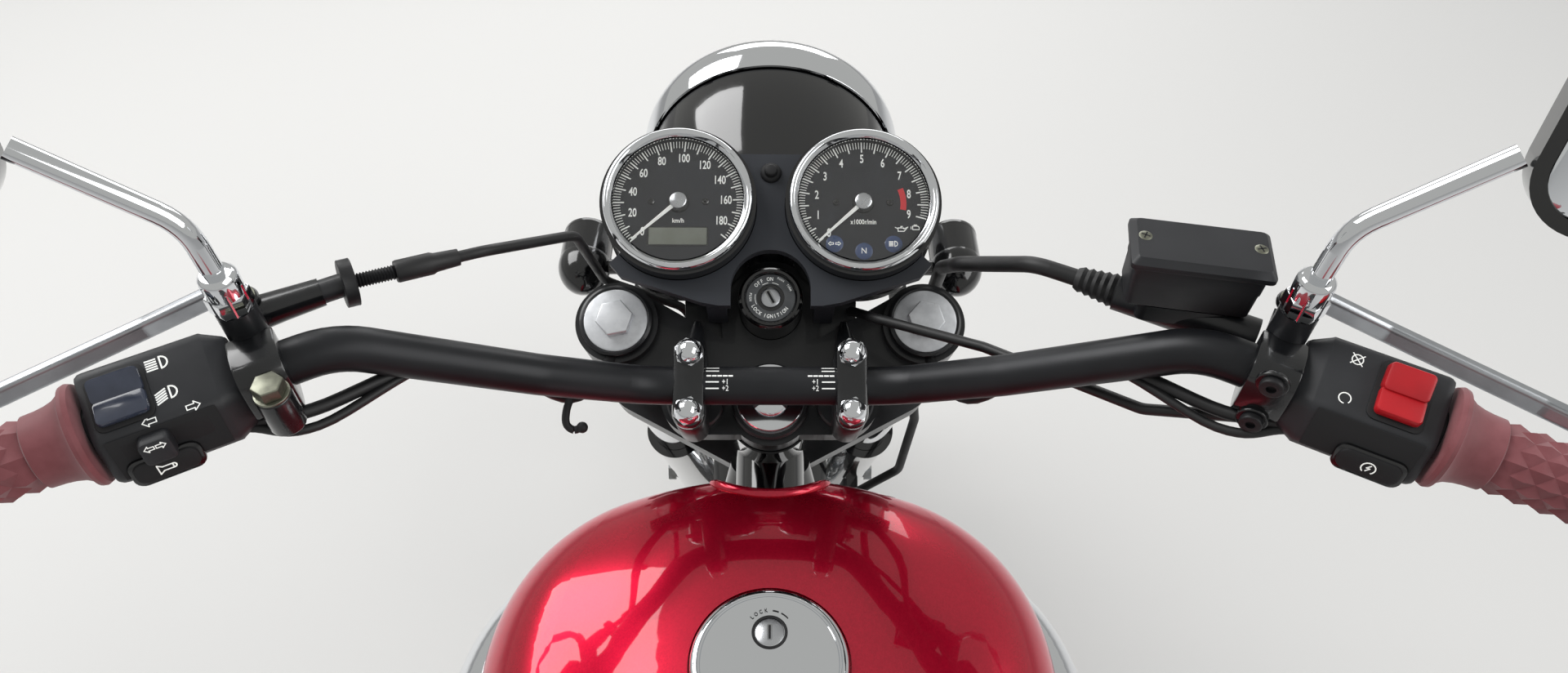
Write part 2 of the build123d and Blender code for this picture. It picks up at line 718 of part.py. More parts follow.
# Headlamp: a bowl with a rim and a domed lens, between two ears on the fork
lamp_spot = Vector(0, HEADLAMP_Y, HEADLAMP_Z)
lamp_axis = Axis(lamp_spot, (0, 1, 0))
LAMP_WALL = 3
ear_x = fork_x - 4
EAR_T = 4
lamp_pivot = lamp_spot + Vector(0, -52, 0)
with BuildPart() as headlamp_shell:
    with BuildSketch(Plane(origin=lamp_spot, x_dir=(0, 1, 0), z_dir=(1, 0, 0))):
        with BuildLine():
            outer = ThreePointArc((0, HEADLAMP_R - 5), (-70, 81), (-HEADLAMP_DEPTH, 16))
            Line(outer @ 1, (-HEADLAMP_DEPTH, 0))
            Line((-HEADLAMP_DEPTH, 0), (0, 0))
            Line((0, 0), outer @ 0)
        make_face()
    revolve(axis=lamp_axis)
    with BuildSketch(Plane.YZ.offset(SEAT_GAP - ear_x)):
        with Locations((lamp_pivot.Y, lamp_pivot.Z)):
            Circle(10)
    extrude(amount=2 * (ear_x - SEAT_GAP))
    with BuildSketch(Plane(origin=lamp_spot, x_dir=(0, 1, 0), z_dir=(1, 0, 0))):
        with BuildLine():
            inner = ThreePointArc((1, HEADLAMP_R - 8), (-68, 78), (LAMP_WALL - HEADLAMP_DEPTH, 16))
            Line(inner @ 1, (LAMP_WALL - HEADLAMP_DEPTH, 0))
            Line((LAMP_WALL - HEADLAMP_DEPTH, 0), (1, 0))
            Line((1, 0), inner @ 0)
        make_face()
    revolve(axis=lamp_axis, mode=Mode.SUBTRACT)
keep(headlamp_shell.part, "headlamp_shell")

with BuildPart() as headlamp_rim:
    with BuildSketch(Plane(origin=lamp_spot, x_dir=(0, 1, 0), z_dir=(1, 0, 0))):
        with BuildLine():
            low_r = HEADLAMP_R - 9
            Polyline((SEAT_GAP, low_r), (SEAT_GAP, HEADLAMP_R), (12, HEADLAMP_R), (20, HEADLAMP_R - 4))
            Polyline((20, HEADLAMP_R - 4), (20, low_r), (SEAT_GAP, low_r))
        make_face()
    revolve(axis=lamp_axis)
keep(headlamp_rim.part, "headlamp_rim")

LENS_CURVE = 222


def dome_point(apex, radius):
    """A point of a shallow dome at a radius, where the dome crosses its axis at apex."""
    return (apex - LENS_CURVE + (LENS_CURVE**2 - radius**2) ** 0.5, radius)


with BuildPart() as headlamp_lens:
    with BuildSketch(Plane(origin=lamp_spot, x_dir=(0, 1, 0), z_dir=(1, 0, 0))):
        with BuildLine():
            lens_r = HEADLAMP_R - 9 - SEAT_GAP
            dome = ThreePointArc(dome_point(26, lens_r), dome_point(26, 45), (26, 0))
            Line((26, 0), (22, 0))
            under = ThreePointArc((22, 0), dome_point(22, 45), dome_point(22, lens_r))
            Line(under @ 1, dome @ 0)
        make_face()
    revolve(axis=lamp_axis)
keep(headlamp_lens.part, "headlamp_lens")

# Ears clamp the stanchions and reach forward to the lamp and the indicators
EAR_LOW = 640
EAR_HIGH = 700
INDICATOR = (ear_x + 54, 543, 899)
INDICATOR_R = 20
with BuildPart() as headlamp_ears:
    for side in SIDES:
        with BuildSketch(fork_plane(side * fork_x, FORK_OFFSET, EAR_LOW)):
            Circle(STANCHION_R + 4)
        extrude(amount=EAR_HIGH - EAR_LOW)
        ear_low = on_fork(0, FORK_OFFSET, EAR_LOW + 4)
        ear_high = on_fork(0, FORK_OFFSET, EAR_HIGH - 4)
        with BuildSketch(Plane.YZ.offset(side * ear_x)):
            with BuildLine():
                Polyline(
                    (ear_low.Y, ear_low.Z),
                    (INDICATOR[1] + 2, INDICATOR[2] - 12),
                    (INDICATOR[1] + 12, INDICATOR[2] + 4),
                    (lamp_pivot.Y + 12, lamp_pivot.Z - 6),
                    (lamp_pivot.Y + 6, lamp_pivot.Z + 12),
                    (lamp_pivot.Y - 14, lamp_pivot.Z + 12),
                    (ear_high.Y, ear_high.Z),
                    close=True,
                )
            make_face()
        extrude(amount=side * EAR_T)
        with BuildSketch(fork_plane(side * fork_x, FORK_OFFSET, EAR_LOW - 10)):
            Circle(STANCHION_R + RUNNING_GAP)
        extrude(amount=EAR_HIGH - EAR_LOW + 20, mode=Mode.SUBTRACT)
keep(headlamp_ears.part, "headlamp_ears")


def bullet(spot, length, nose):
    """The section of a bullet indicator on its own axis; nose is 1 where it points forward."""
    with BuildSketch(Plane(origin=spot, x_dir=(0, nose, 0), z_dir=(nose, 0, 0))) as section:
        with BuildLine():
            Line((length / 2, 0), (length / 2, INDICATOR_R))
            Line((length / 2, INDICATOR_R), (0, INDICATOR_R))
            ThreePointArc((0, INDICATOR_R), (-length * 0.36, 0.68 * INDICATOR_R), (-length / 2, 0))
            Line((-length / 2, 0), (length / 2, 0))
        make_face()
    return section.sketch


with BuildPart() as front_indicators:
    for side in SIDES:
        spot = Vector(side * INDICATOR[0], INDICATOR[1], INDICATOR[2])
        revolve(bullet(spot, 62, 1), axis=Axis(spot, (0, 1, 0)))
        with BuildSketch(Plane.YZ.offset(side * (ear_x + EAR_T + SEAT_GAP))):
            with Locations((INDICATOR[1] - 4, INDICATOR[2])):
                Circle(6)
        extrude(amount=side * (INDICATOR[0] - ear_x - EAR_T - INDICATOR_R + 6))
keep(front_indicators.part, "front_indicators")

# Front mudguard between the legs
GUARD_R = FRONT_TYRE_R + 16
guard_half = FRONT_TYRE_W / 2 + 8
GUARD_ARC = 122
GUARD_START = 40


def guard_section(axle, start, radius, half, skin):
    """A mudguard's curved section, standing start degrees ahead of the top of the wheel."""
    lean = radians(start)
    plane = Plane(origin=axle, x_dir=(1, 0, 0), z_dir=(0, -cos(lean), sin(lean)))
    with BuildSketch(plane) as section:
        with BuildLine():
            edge_r = radius - 22
            top = ThreePointArc((-half, edge_r), (0, radius + 6), (half, edge_r))
            Line(top @ 1, (half - skin, edge_r))
            low = ThreePointArc((half - skin, edge_r), (0, radius + 6 - skin), (skin - half, edge_r))
            Line(low @ 1, top @ 0)
        make_face()
    return section.sketch


with BuildPart() as front_mudguard:
    revolve(
        guard_section(front_axle, GUARD_START, GUARD_R, guard_half, 2.5),
        axis=Axis(front_axle, (1, 0, 0)),
        revolution_arc=GUARD_ARC,
    )
    for side in SIDES:
        lug = on_fork(0, FORK_OFFSET, 311)
        with BuildSketch(Plane.YZ.offset(side * (guard_half - 3))):
            with Locations((lug.Y, lug.Z)):
                Circle(9)
        extrude(amount=side * (fork_x - SLIDER_R - SEAT_GAP - guard_half + 3))
keep(front_mudguard.part, "front_mudguard")

# Front caliper on the lugs behind the right leg, astride the disc
CALIPER_INNER = 44
caliper_outer = fork_x - 11
with BuildPart() as front_caliper:
    with BuildSketch(fork_plane(0, FORK_OFFSET - 62, 84)):
        with Locations(((CALIPER_INNER + caliper_outer) / 2, 0)):
            RectangleRounded(caliper_outer - CALIPER_INNER, 52, 8)
        with Locations((fork_x - 9, 26)):
            Rectangle(4, 14)
    extrude(amount=72)
    with BuildSketch(disc_plane.offset(-1.2)):
        Circle(DISC_R + 4)
    extrude(amount=DISC_T + 2.4, mode=Mode.SUBTRACT)
keep(front_caliper.part, "front_caliper")

# Frame: radius, bend radius and the points of each run, across, forward and up
rail_end_y = rear_axle.Y + 32
shock_top_y = rear_axle.Y + 162
rear_cross_y = rear_axle.Y + 132
FRAME_RUNS = (
    (
        CRADLE_TUBE_R,
        70,
        (
            (14, 384, 850),
            (CRADLE_HALF, 262, 470),
            (CRADLE_HALF, 222, CRADLE_Z),
            (CRADLE_HALF, -160, CRADLE_Z),
            (CRADLE_HALF, -176, 420),
            (RAIL_HALF, -150, RAIL_Z - 6),
        ),
    ),
    (
        RAIL_TUBE_R - 2.5,
        30,
        (
            (CRADLE_HALF - 6, -176, 470),
            (RAIL_HALF, shock_top_y + 30, RAIL_Z + 2),
            (RAIL_HALF, shock_top_y, RAIL_Z + 10),
        ),
    ),
)
RAIL_START_Y = -110
RAIL_RISE = 13
RAIL_RUN = (
    (14, RAIL_START_Y + 70, RAIL_Z + 14),
    (RAIL_HALF, RAIL_START_Y, RAIL_Z),
    (RAIL_HALF, rail_end_y, RAIL_Z + RAIL_RISE),
    (-RAIL_HALF, rail_end_y, RAIL_Z + RAIL_RISE),
    (-RAIL_HALF, RAIL_START_Y, RAIL_Z),
    (-14, RAIL_START_Y + 70, RAIL_Z + 14),
)
BACKBONE = ((0, 388, 872), (0, -110, 755))


def mirrored(points, side):
    """The points of a run on one side of the machine."""
    return [(side * x, y, z) for x, y, z in points]


frame_tubes = [tube(mirrored(run, side), radius, bend) for radius, bend, run in FRAME_RUNS for side in SIDES]
frame_tubes.append(tube(RAIL_RUN, RAIL_TUBE_R, 55))
frame_tubes.append(bar_between(BACKBONE[0], BACKBONE[1], BACKBONE_R))
for cross_y in (165, -125):
    frame_tubes.append(bar_between((-CRADLE_HALF, cross_y, CRADLE_Z), (CRADLE_HALF, cross_y, CRADLE_Z), 10))
for cross_y, radius in ((-108, 12), (-280, 8), (rear_cross_y, 8)):
    frame_tubes.append(bar_between((-RAIL_HALF, cross_y, RAIL_Z), (RAIL_HALF, cross_y, RAIL_Z), radius))
TUNNEL_HALF = 32
pad_half = TUNNEL_HALF - SEAT_GAP
frame_tubes.append(bar_between((-pad_half, 270, 844), (pad_half, 270, 844), 14))

head_low = LOWER_CLAMP_LOW + LOWER_CLAMP_T + HEAD_TUBE_GAP
head_high = TOP_CLAMP_LOW - HEAD_TUBE_GAP
SHOCK_TOP = (143, shock_top_y, 712)
SHOCK_LOW = (143, rear_axle.Y + 60, rear_axle.Z + 16.5)
LUG_X = 93
LUG_T = 9
side_pivot = Vector(-135, 12, 194)
SIDE_LEAN = 20.6
side_axis = Vector(cos(radians(SIDE_LEAN)), 0, -sin(radians(SIDE_LEAN)))
with BuildPart() as main_frame:
    with BuildSketch(fork_plane(0, 0, head_low)):
        Circle(HEAD_TUBE_R)
    extrude(amount=head_high - head_low)
    add(frame_tubes)
    with BuildSketch(fork_plane(0, 0, head_low + BEARING_DEPTH)):
        Circle(HEAD_TUBE_BORE_R)
    extrude(amount=head_high - head_low - 2 * BEARING_DEPTH, mode=Mode.SUBTRACT)
    with BuildSketch(fork_plane(0, 0, head_low - 5)):
        Circle(STEM_R + RUNNING_GAP)
    extrude(amount=head_high - head_low + 10, mode=Mode.SUBTRACT)
    for side in SIDES:
        # Gusset and stud for the shock's upper eye
        with BuildSketch(Plane.YZ.offset(side * (RAIL_HALF - 3))):
            with BuildLine():
                Polyline(
                    (shock_top_y + 30, RAIL_Z), (shock_top_y - 30, RAIL_Z),
                    (shock_top_y - 12, SHOCK_TOP[2] - 12), (shock_top_y + 12, SHOCK_TOP[2] - 12), close=True,
                )
            make_face()
        extrude(amount=side * 6)
        with BuildSketch(Plane.YZ.offset(side * (RAIL_HALF - 3))):
            with Locations((SHOCK_TOP[1], SHOCK_TOP[2])):
                Circle(8)
        extrude(amount=side * (SHOCK_TOP[0] + 14 - RAIL_HALF + 3))
        # Lugs for the centre stand
        with BuildSketch(Plane.YZ.offset(side * LUG_X)):
            with BuildLine():
                lug_rear = STAND_Y - 14
                Polyline((-158, 262), (lug_rear, STAND_Z + 14), (lug_rear, STAND_Z - 12))
                Polyline((lug_rear, STAND_Z - 12), (-150, 205), (-158, 262))
            make_face()
        extrude(amount=side * LUG_T)
    with BuildSketch(Plane.YZ.offset(-LUG_X - LUG_T - 20)):
        with Locations((STAND_Y, STAND_Z), (PIVOT_Y, PIVOT_Z)):
            Circle(PIVOT_R + RUNNING_GAP)
    extrude(amount=2 * (LUG_X + LUG_T + 20), mode=Mode.SUBTRACT)
    # Boss, pin and head that hold the side stand's eye
    with BuildSketch(facing(side_pivot + side_axis * 26, -side_axis)):
        Circle(11)
    extrude(amount=19.2)
    with BuildSketch(facing(side_pivot + side_axis * 8, -side_axis)):
        Circle(6)
    extrude(amount=18)
    with BuildSketch(facing(side_pivot - side_axis * 6.8, -side_axis)):
        Circle(10)
    extrude(amount=3.5)
keep(main_frame.part, "main_frame")

# Swinging arm on its pivot, with axle slots' ends and the shocks' lower studs
ARM_X = 113
CROSS_Y = -250
CROSS_Z = 374
arm_bars = []
for side in SIDES:
    stud_end = side * (SHOCK_LOW[0] + 14)
    arm_end = (side * ARM_X, rear_axle.Y + 30, rear_axle.Z)
    arm_bars.append(bar_between((side * ARM_X, CROSS_Y, CROSS_Z), arm_end, 14))
    arm_bars.append(bar_between((side * 50, PIVOT_Y, PIVOT_Z), (side * 50, CROSS_Y, CROSS_Z), 14))
    arm_bars.append(bar_between((side * ARM_X, *SHOCK_LOW[1:]), (stud_end, *SHOCK_LOW[1:]), 8))
arm_bars.append(bar_between((-ARM_X, CROSS_Y, CROSS_Z), (ARM_X, CROSS_Y, CROSS_Z), 17))
pivot_half = CRADLE_HALF - CRADLE_TUBE_R - SEAT_GAP
arm_bars.append(bar_between((-pivot_half, PIVOT_Y, PIVOT_Z), (pivot_half, PIVOT_Y, PIVOT_Z), 15))
pin_half = CRADLE_HALF + 17
arm_bars.append(bar_between((-pin_half, PIVOT_Y, PIVOT_Z), (pin_half, PIVOT_Y, PIVOT_Z), PIVOT_R))
with BuildPart() as swingarm:
    add(arm_bars)
    for side in SIDES:
        with BuildSketch(Plane.YZ.offset(side * (ARM_X - 6))):
            with Locations((rear_axle.Y + 8, rear_axle.Z)):
                RectangleRounded(80, 40, 10)
        extrude(amount=side * 12)
        with BuildSketch(Plane.YZ.offset(side * (ARM_X - 6))):
            with Locations((SHOCK_LOW[1], SHOCK_LOW[2])):
                Circle(15)
        extrude(amount=side * 15)
    with BuildSketch(Plane.YZ.offset(-160)):
        with Locations((rear_axle.Y, rear_axle.Z)):
            Circle(AXLE_R + RUNNING_GAP)
    extrude(amount=320, mode=Mode.SUBTRACT)
keep(swingarm.part, "swingarm")

rear_axle_half = ARM_X + 14
with BuildPart() as rear_axle_shaft:
    with BuildSketch(Plane.YZ.offset(-rear_axle_half)):
        with Locations((rear_axle.Y, rear_axle.Z)):
            Circle(AXLE_R)
    extrude(amount=2 * rear_axle_half)
    for side in SIDES:
        with BuildSketch(Plane.YZ.offset(side * (ARM_X + 6 + SEAT_GAP))):
            with Locations((rear_axle.Y, rear_axle.Z)):
                RegularPolygon(15, 6)
        extrude(amount=side * 10)
keep(rear_axle_shaft.part, "rear_axle")

# Shocks: an eye at each end, with the spring's coils round the body
shock_low = Vector(0, SHOCK_LOW[1], SHOCK_LOW[2])
shock_top = Vector(0, SHOCK_TOP[1], SHOCK_TOP[2])
shock_run = shock_top - shock_low
COILS = 9
with BuildPart() as rear_shocks:
    for side in SIDES:
        middle = Vector(side * SHOCK_LOW[0], 0, 0)
        plane = facing(shock_low + middle, shock_run)
        length = shock_run.length
        with BuildSketch(plane.offset(12)):
            Circle(14)
        extrude(amount=length - 24)
        with BuildSketch(plane.offset(40)):
            Circle(27)
        extrude(amount=8)
        with BuildSketch(plane.offset(length - 110)):
            Circle(27)
        extrude(amount=84)
        for coil in range(COILS):
            with BuildSketch(plane.offset(56 + coil * (length - 184) / (COILS - 1))):
                Circle(26)
            extrude(amount=9)
        for end in (shock_low, shock_top):
            with BuildSketch(Plane.YZ.offset(side * (SHOCK_LOW[0] - 11))):
                with Locations((end.Y, end.Z)):
                    Circle(15)
            extrude(amount=side * 22)
    with BuildSketch(Plane.YZ.offset(-180)):
        with Locations((shock_low.Y, shock_low.Z), (shock_top.Y, shock_top.Z)):
            Circle(8 + RUNNING_GAP)
    extrude(amount=360, mode=Mode.SUBTRACT)
keep(rear_shocks.part, "rear_shocks")

# Centre stand on its pivot, legs spread to two feet
stand_half = LUG_X - SEAT_GAP
foot_y = STAND_Y + 20
stand_bars = [
    bar_between((-stand_half, STAND_Y, STAND_Z), (stand_half, STAND_Y, STAND_Z), 12),
    bar_between((-LUG_X - LUG_T - 3, STAND_Y, STAND_Z), (LUG_X + LUG_T + 3, STAND_Y, STAND_Z), PIVOT_R),
    bar_between((-98, STAND_Y + 6, 150), (98, STAND_Y + 6, 150), 8),
]
for side in SIDES:
    stand_bars.append(bar_between((side * 74, STAND_Y, STAND_Z), (side * STAND_FOOT_HALF, foot_y, 6), 11))
with BuildPart() as centre_stand:
    add(stand_bars)
    for side in SIDES:
        with BuildSketch(Plane.XY):
            with Locations((side * STAND_FOOT_HALF, foot_y)):
                RectangleRounded(34, 50, 8)
        extrude(amount=9)
    with BuildSketch(Plane.XY):
        Rectangle(600, 900)
    extrude(amount=-40, mode=Mode.SUBTRACT)
keep(centre_stand.part, "centre_stand")

# Side stand folded back along the left of the frame
with BuildPart() as side_stand:
    with BuildSketch(facing(side_pivot + side_axis * 6.5, -side_axis)):
        Circle(13)
    extrude(amount=13)
    stand_end = side_pivot + Vector(0, -SIDE_STAND_LENGTH, 0)
    add(bar_between(side_pivot + Vector(0, -11.4, 0), stand_end, 9))
    with BuildSketch(Plane(origin=stand_end + Vector(0, 4, 0), x_dir=side_axis, z_dir=(0, -1, 0))):
        with Locations((-16, 0)):
            RectangleRounded(44, 30, 8)
    extrude(amount=6)
    with BuildSketch(facing(side_pivot + side_axis * 10, -side_axis)):
        Circle(6 + RUNNING_GAP)
    extrude(amount=22, mode=Mode.SUBTRACT)
keep(side_stand.part, "side_stand")

# Engine: crankcase with a pocket for the chain, side covers, finned barrels and head
case_half = 124
SUMP_HALF = 84
with BuildPart() as crankcase:
    with BuildSketch(Plane.YZ.offset(-case_half)):
        with BuildLine():
            FilletPolyline(
                (185, 272), (185, 390), (120, CRANKCASE_TOP), (-70, CRANKCASE_TOP), (-145, 400), (-145, 272),
                radius=18, close=True,
            )
        make_face()
    extrude(amount=2 * case_half)
    with BuildSketch(Plane.YZ.offset(-SUMP_HALF)):
        with BuildLine():
            FilletPolyline((180, 300), (140, 206), (-110, 206), (-140, 300), radius=18, close=True)
        make_face()
    extrude(amount=2 * SUMP_HALF)
    with BuildSketch(Plane.YZ.offset(-case_half - 1)):
        with Locations((-112, 350)):
            Rectangle(130, 190)
    extrude(amount=case_half + 1 - 66, mode=Mode.SUBTRACT)
    with BuildSketch(Plane.XY.offset(200)):
        with Locations((0, ENGINE_Y)):
            Rectangle(2 * SUMP_HALF - 10, 296)
    extrude(amount=40)
    with BuildSketch(Plane.YZ.offset(-case_half - 1)):
        with Locations((165, CRADLE_Z), (-125, CRADLE_Z)):
            Circle(10 + SEAT_GAP)
    extrude(amount=2 * case_half + 2, mode=Mode.SUBTRACT)
keep(crankcase.part, "crankcase")

# Covers: side, centre y, centre z, radius, thickness
COVERS = ((1, 40, 345, 78, 38), (1, -85, 345, 52, 20), (-1, 60, 340, 74, 34), (-1, -95, 352, 56, 14))
with BuildPart() as engine_covers:
    for side, y, z, radius, thickness in COVERS:
        with BuildSketch(Plane.YZ.offset(side * (case_half + SEAT_GAP))):
            with Locations((y, z)):
                Circle(radius)
        extrude(amount=side * thickness)
keep(engine_covers.part, "engine_covers")

barrel_x = CYLINDER_SPACING / 2
FIN_HALF_X = 106
FIN_HALF_Y = 80
head_low_z = CRANKCASE_TOP + 10 + FIN_COUNT * FIN_PITCH + 6
fin_planes = [Plane.XY.offset(CRANKCASE_TOP + 14 + FIN_PITCH * number) for number in range(FIN_COUNT)]
head_fins = [Plane.XY.offset(head_low_z + 10 + FIN_PITCH * number) for number in range(4)]
with BuildPart() as cylinders:
    with BuildSketch(*fin_planes):
        with Locations((0, ENGINE_Y)):
            RectangleRounded(2 * FIN_HALF_X, 2 * FIN_HALF_Y, 26)
    extrude(amount=FIN_T)
    with BuildSketch(Plane.XY.offset(CRANKCASE_TOP + SEAT_GAP)):
        with Locations((-barrel_x, ENGINE_Y), (barrel_x, ENGINE_Y)):
            Circle(CYLINDER_BORE_R + 16)
        with Locations((0, ENGINE_Y)):
            Rectangle(CYLINDER_SPACING, 70)
    extrude(amount=head_low_z - CRANKCASE_TOP - SEAT_GAP)
    with BuildSketch(*head_fins):
        with Locations((0, ENGINE_Y)):
            RectangleRounded(2 * FIN_HALF_X, 2 * FIN_HALF_Y, 26)
    extrude(amount=FIN_T)
    with BuildSketch(Plane.XY.offset(head_low_z + SEAT_GAP)):
        with Locations((0, ENGINE_Y)):
            RectangleRounded(2 * FIN_HALF_X - 34, 2 * FIN_HALF_Y - 34, 16)
    extrude(amount=62)
    with BuildSketch(Plane.XY.offset(head_low_z + 62)):
        with Locations((0, ENGINE_Y)):
            RectangleRounded(180, 110, 30)
    extrude(amount=34, taper=6)
    for side in SIDES:
        with BuildSketch(Plane.XZ.offset(-ENGINE_Y - 60)):
            with Locations((side * barrel_x, head_low_z + 32)):
                Circle(25)
        extrude(amount=-24)
        with BuildSketch(Plane.XZ.offset(-ENGINE_Y + 60)):
            with Locations((side * barrel_x, head_low_z + 32)):
                Circle(22)
        extrude(amount=24)
keep(cylinders.part, "cylinders")

port_z = head_low_z + 32
with BuildPart() as carburettors:
    for side in SIDES:
        with BuildSketch(Plane.XZ.offset(-ENGINE_Y + 84 + SEAT_GAP)):
            with Locations((side * barrel_x, port_z)):
                Circle(21)
        extrude(amount=66)
        with BuildSketch(Plane.XY.offset(port_z - 44)):
            with Locations((side * barrel_x, ENGINE_Y - 118)):
                RectangleRounded(44, 44, 8)
        extrude(amount=90)
        with BuildSketch(Plane.XZ.offset(-ENGINE_Y + 150)):
            with Locations((side * barrel_x, port_z)):
                Circle(30)
        extrude(amount=38)
    with BuildSketch(Plane.YZ.offset(-barrel_x)):
        with Locations((ENGINE_Y - 112, port_z + 30)):
            Circle(5)
    extrude(amount=2 * barrel_x)
keep(carburettors.part, "carburettors")

# Exhausts: a header down each side and a muffler
HEADER_R = 19
MUFFLER_R = 43
HEADER_POINTS = (
    (barrel_x, 190, port_z),
    (150, 240, 450),
    (150, 205, 238),
    (150, -120, 238),
    (193, -250, 250),
)
muffler_start = Vector(193, -250, 250)
muffler_end = Vector(193, -850, 300)
with BuildPart() as exhausts:
    for side in SIDES:
        port = Vector(side * barrel_x, ENGINE_Y + 84 + SEAT_GAP, port_z)
        add(tube([port] + mirrored(HEADER_POINTS, side), HEADER_R, 52))
        start = Vector(side * muffler_start.X, muffler_start.Y, muffler_start.Z)
        end = Vector(side * muffler_end.X, muffler_end.Y, muffler_end.Z)
        run = end - start
        with BuildSketch(Plane(origin=start, x_dir=run, z_dir=across)):
            with BuildLine():
                front_end = ((-12, 0), (-12, HEADER_R + 3), (20, HEADER_R + 4), (110, MUFFLER_R))
                rear_end = ((run.length, 30), (run.length, 24), (run.length - 50, 24), (run.length - 50, 0))
                Polyline(*front_end, (520, MUFFLER_R), (590, 30), *rear_end, close=True)
            make_face()
        revolve(axis=Axis(start, run))
keep(exhausts.part, "exhausts")

# Drive chain: two rows of plates with rollers on the straight runs
sprocket_y, sprocket_z, sprocket_r = FRONT_SPROCKET
CHAIN_HALF_H = 6.5


def chain_outline(grow):
    """The loop round both sprockets, grown or shrunk from the pitch line."""
    with BuildSketch() as outline:
        with Locations((sprocket_y, sprocket_z)):
            Circle(sprocket_r + grow)
        with Locations((rear_axle.Y, rear_axle.Z)):
            Circle(REAR_SPROCKET_R + grow)
        make_hull()
    return outline.sketch


# The straight runs touch both pitch circles, with rollers along them
front_centre = Vector(0, sprocket_y, sprocket_z)
rear_centre = Vector(0, rear_axle.Y, rear_axle.Z)
chain_run = rear_centre - front_centre
chain_along = chain_run.normalized()
sink = (REAR_SPROCKET_R - sprocket_r) / chain_run.length
ROLLER_PITCH = 31.75
with BuildPart() as drive_chain:
    for side in SIDES:
        with BuildSketch(Plane.YZ.offset(CHAIN_X + side * CHAIN_INNER / 2)):
            add(chain_outline(CHAIN_HALF_H))
            add(chain_outline(-CHAIN_HALF_H), mode=Mode.SUBTRACT)
        extrude(amount=side * CHAIN_PLATE_T)
    for edge in SIDES:
        square = Vector(0, -chain_along.Z, chain_along.Y) * edge
        radial = chain_along * -sink + square * (1 - sink**2) ** 0.5
        first = front_centre + radial * sprocket_r
        last = rear_centre + radial * REAR_SPROCKET_R
        count = int((last - first).length / ROLLER_PITCH)
        with BuildSketch(Plane.YZ.offset(CHAIN_X - CHAIN_INNER / 2 - 1)):
            for number in range(1, count - 1):
                spot = between(first, last, number / count)
                with Locations((spot.Y, spot.Z)):
                    Circle(CHAIN_ROLLER_R)
        extrude(amount=CHAIN_INNER + 2)
keep(drive_chain.part, "drive_chain")

# Tank: closed sections along the machine, flat below, with an arc up each flank and one over the top
# Columns: y, low z, low half-width, belly z, belly half-width, shoulder z, shoulder half-width, top z
TANK_SECTIONS = (
    (TANK_FRONT_Y, 822, 52, 868, 84, 895.5, 66, 915),
    (TANK_FRONT_Y - 9, 802, 78, 868, 120, 906.2, 92, 930),
    (TANK_FRONT_Y - 36, 790, 100, 868, 151, 920.2, 108, 940),
    (TANK_FRONT_Y - 86, 783, 114, 862, 174, 929, 120, 946),
    (80, 784, 120, 850, 174, 922.7, 122, 940),
    (-90, 790, 92, 830, 134, 887.5, 96, 898),
    (TANK_REAR_Y, 790, 70, 812, 90, 849.5, 66, 856),
)
CAP_SEAT_Z = 935
FILLER_DEPTH = 42
# The front edge is hollowed round the head, by a bar along the steering axis
HOLLOW_R = 82
HOLLOW_AHEAD = 29


def tank_body(grow):
    """The tank's closed body, grown all round."""
    with BuildPart() as body:
        for y, low_z, low_half, belly_z, belly_half, shoulder_z, shoulder_half, top_z in TANK_SECTIONS:
            low_x = low_half + grow
            belly_x = belly_half + grow
            shoulder_x = shoulder_half + grow
            floor_z = low_z - grow
            crest_z = shoulder_z + grow
            with BuildSketch(Plane(origin=(0, y, 0), x_dir=(1, 0, 0), z_dir=(0, -1, 0))):
                with BuildLine():
                    ThreePointArc((low_x, floor_z), (belly_x, belly_z), (shoulder_x, crest_z))
                    ThreePointArc((shoulder_x, crest_z), (0, top_z + grow), (-shoulder_x, crest_z))
                    ThreePointArc((-shoulder_x, crest_z), (-belly_x, belly_z), (-low_x, floor_z))
                    Line((-low_x, floor_z), (low_x, floor_z))
                make_face()
        loft()
    return body.part


tank_blank = tank_body(0)
tank_room = tank_body(SEAT_GAP)
with BuildPart() as fuel_tank:
    add(tank_blank)
    with BuildSketch(Plane.YZ.offset(-TUNNEL_HALF)):
        with BuildLine():
            Polyline((345, 898), (-100, 796), (-100, 700), (345, 700), close=True)
        make_face()
    extrude(amount=2 * TUNNEL_HALF, mode=Mode.SUBTRACT)
    with BuildSketch(fork_plane(0, HOLLOW_AHEAD, head_low)):
        Circle(HOLLOW_R)
    extrude(amount=200, mode=Mode.SUBTRACT)
    with BuildSketch(Plane.XY.offset(CAP_SEAT_Z)):
        with Locations((0, CAP_Y)):
            Circle(CAP_R + 1)
    extrude(amount=40, mode=Mode.SUBTRACT)
    with BuildSketch(Plane.XY.offset(CAP_SEAT_Z - FILLER_DEPTH)):
        with Locations((0, CAP_Y)):
            Circle(FILLER_R)
    extrude(amount=FILLER_DEPTH + 1, mode=Mode.SUBTRACT)
keep(fuel_tank.part, "fuel_tank")

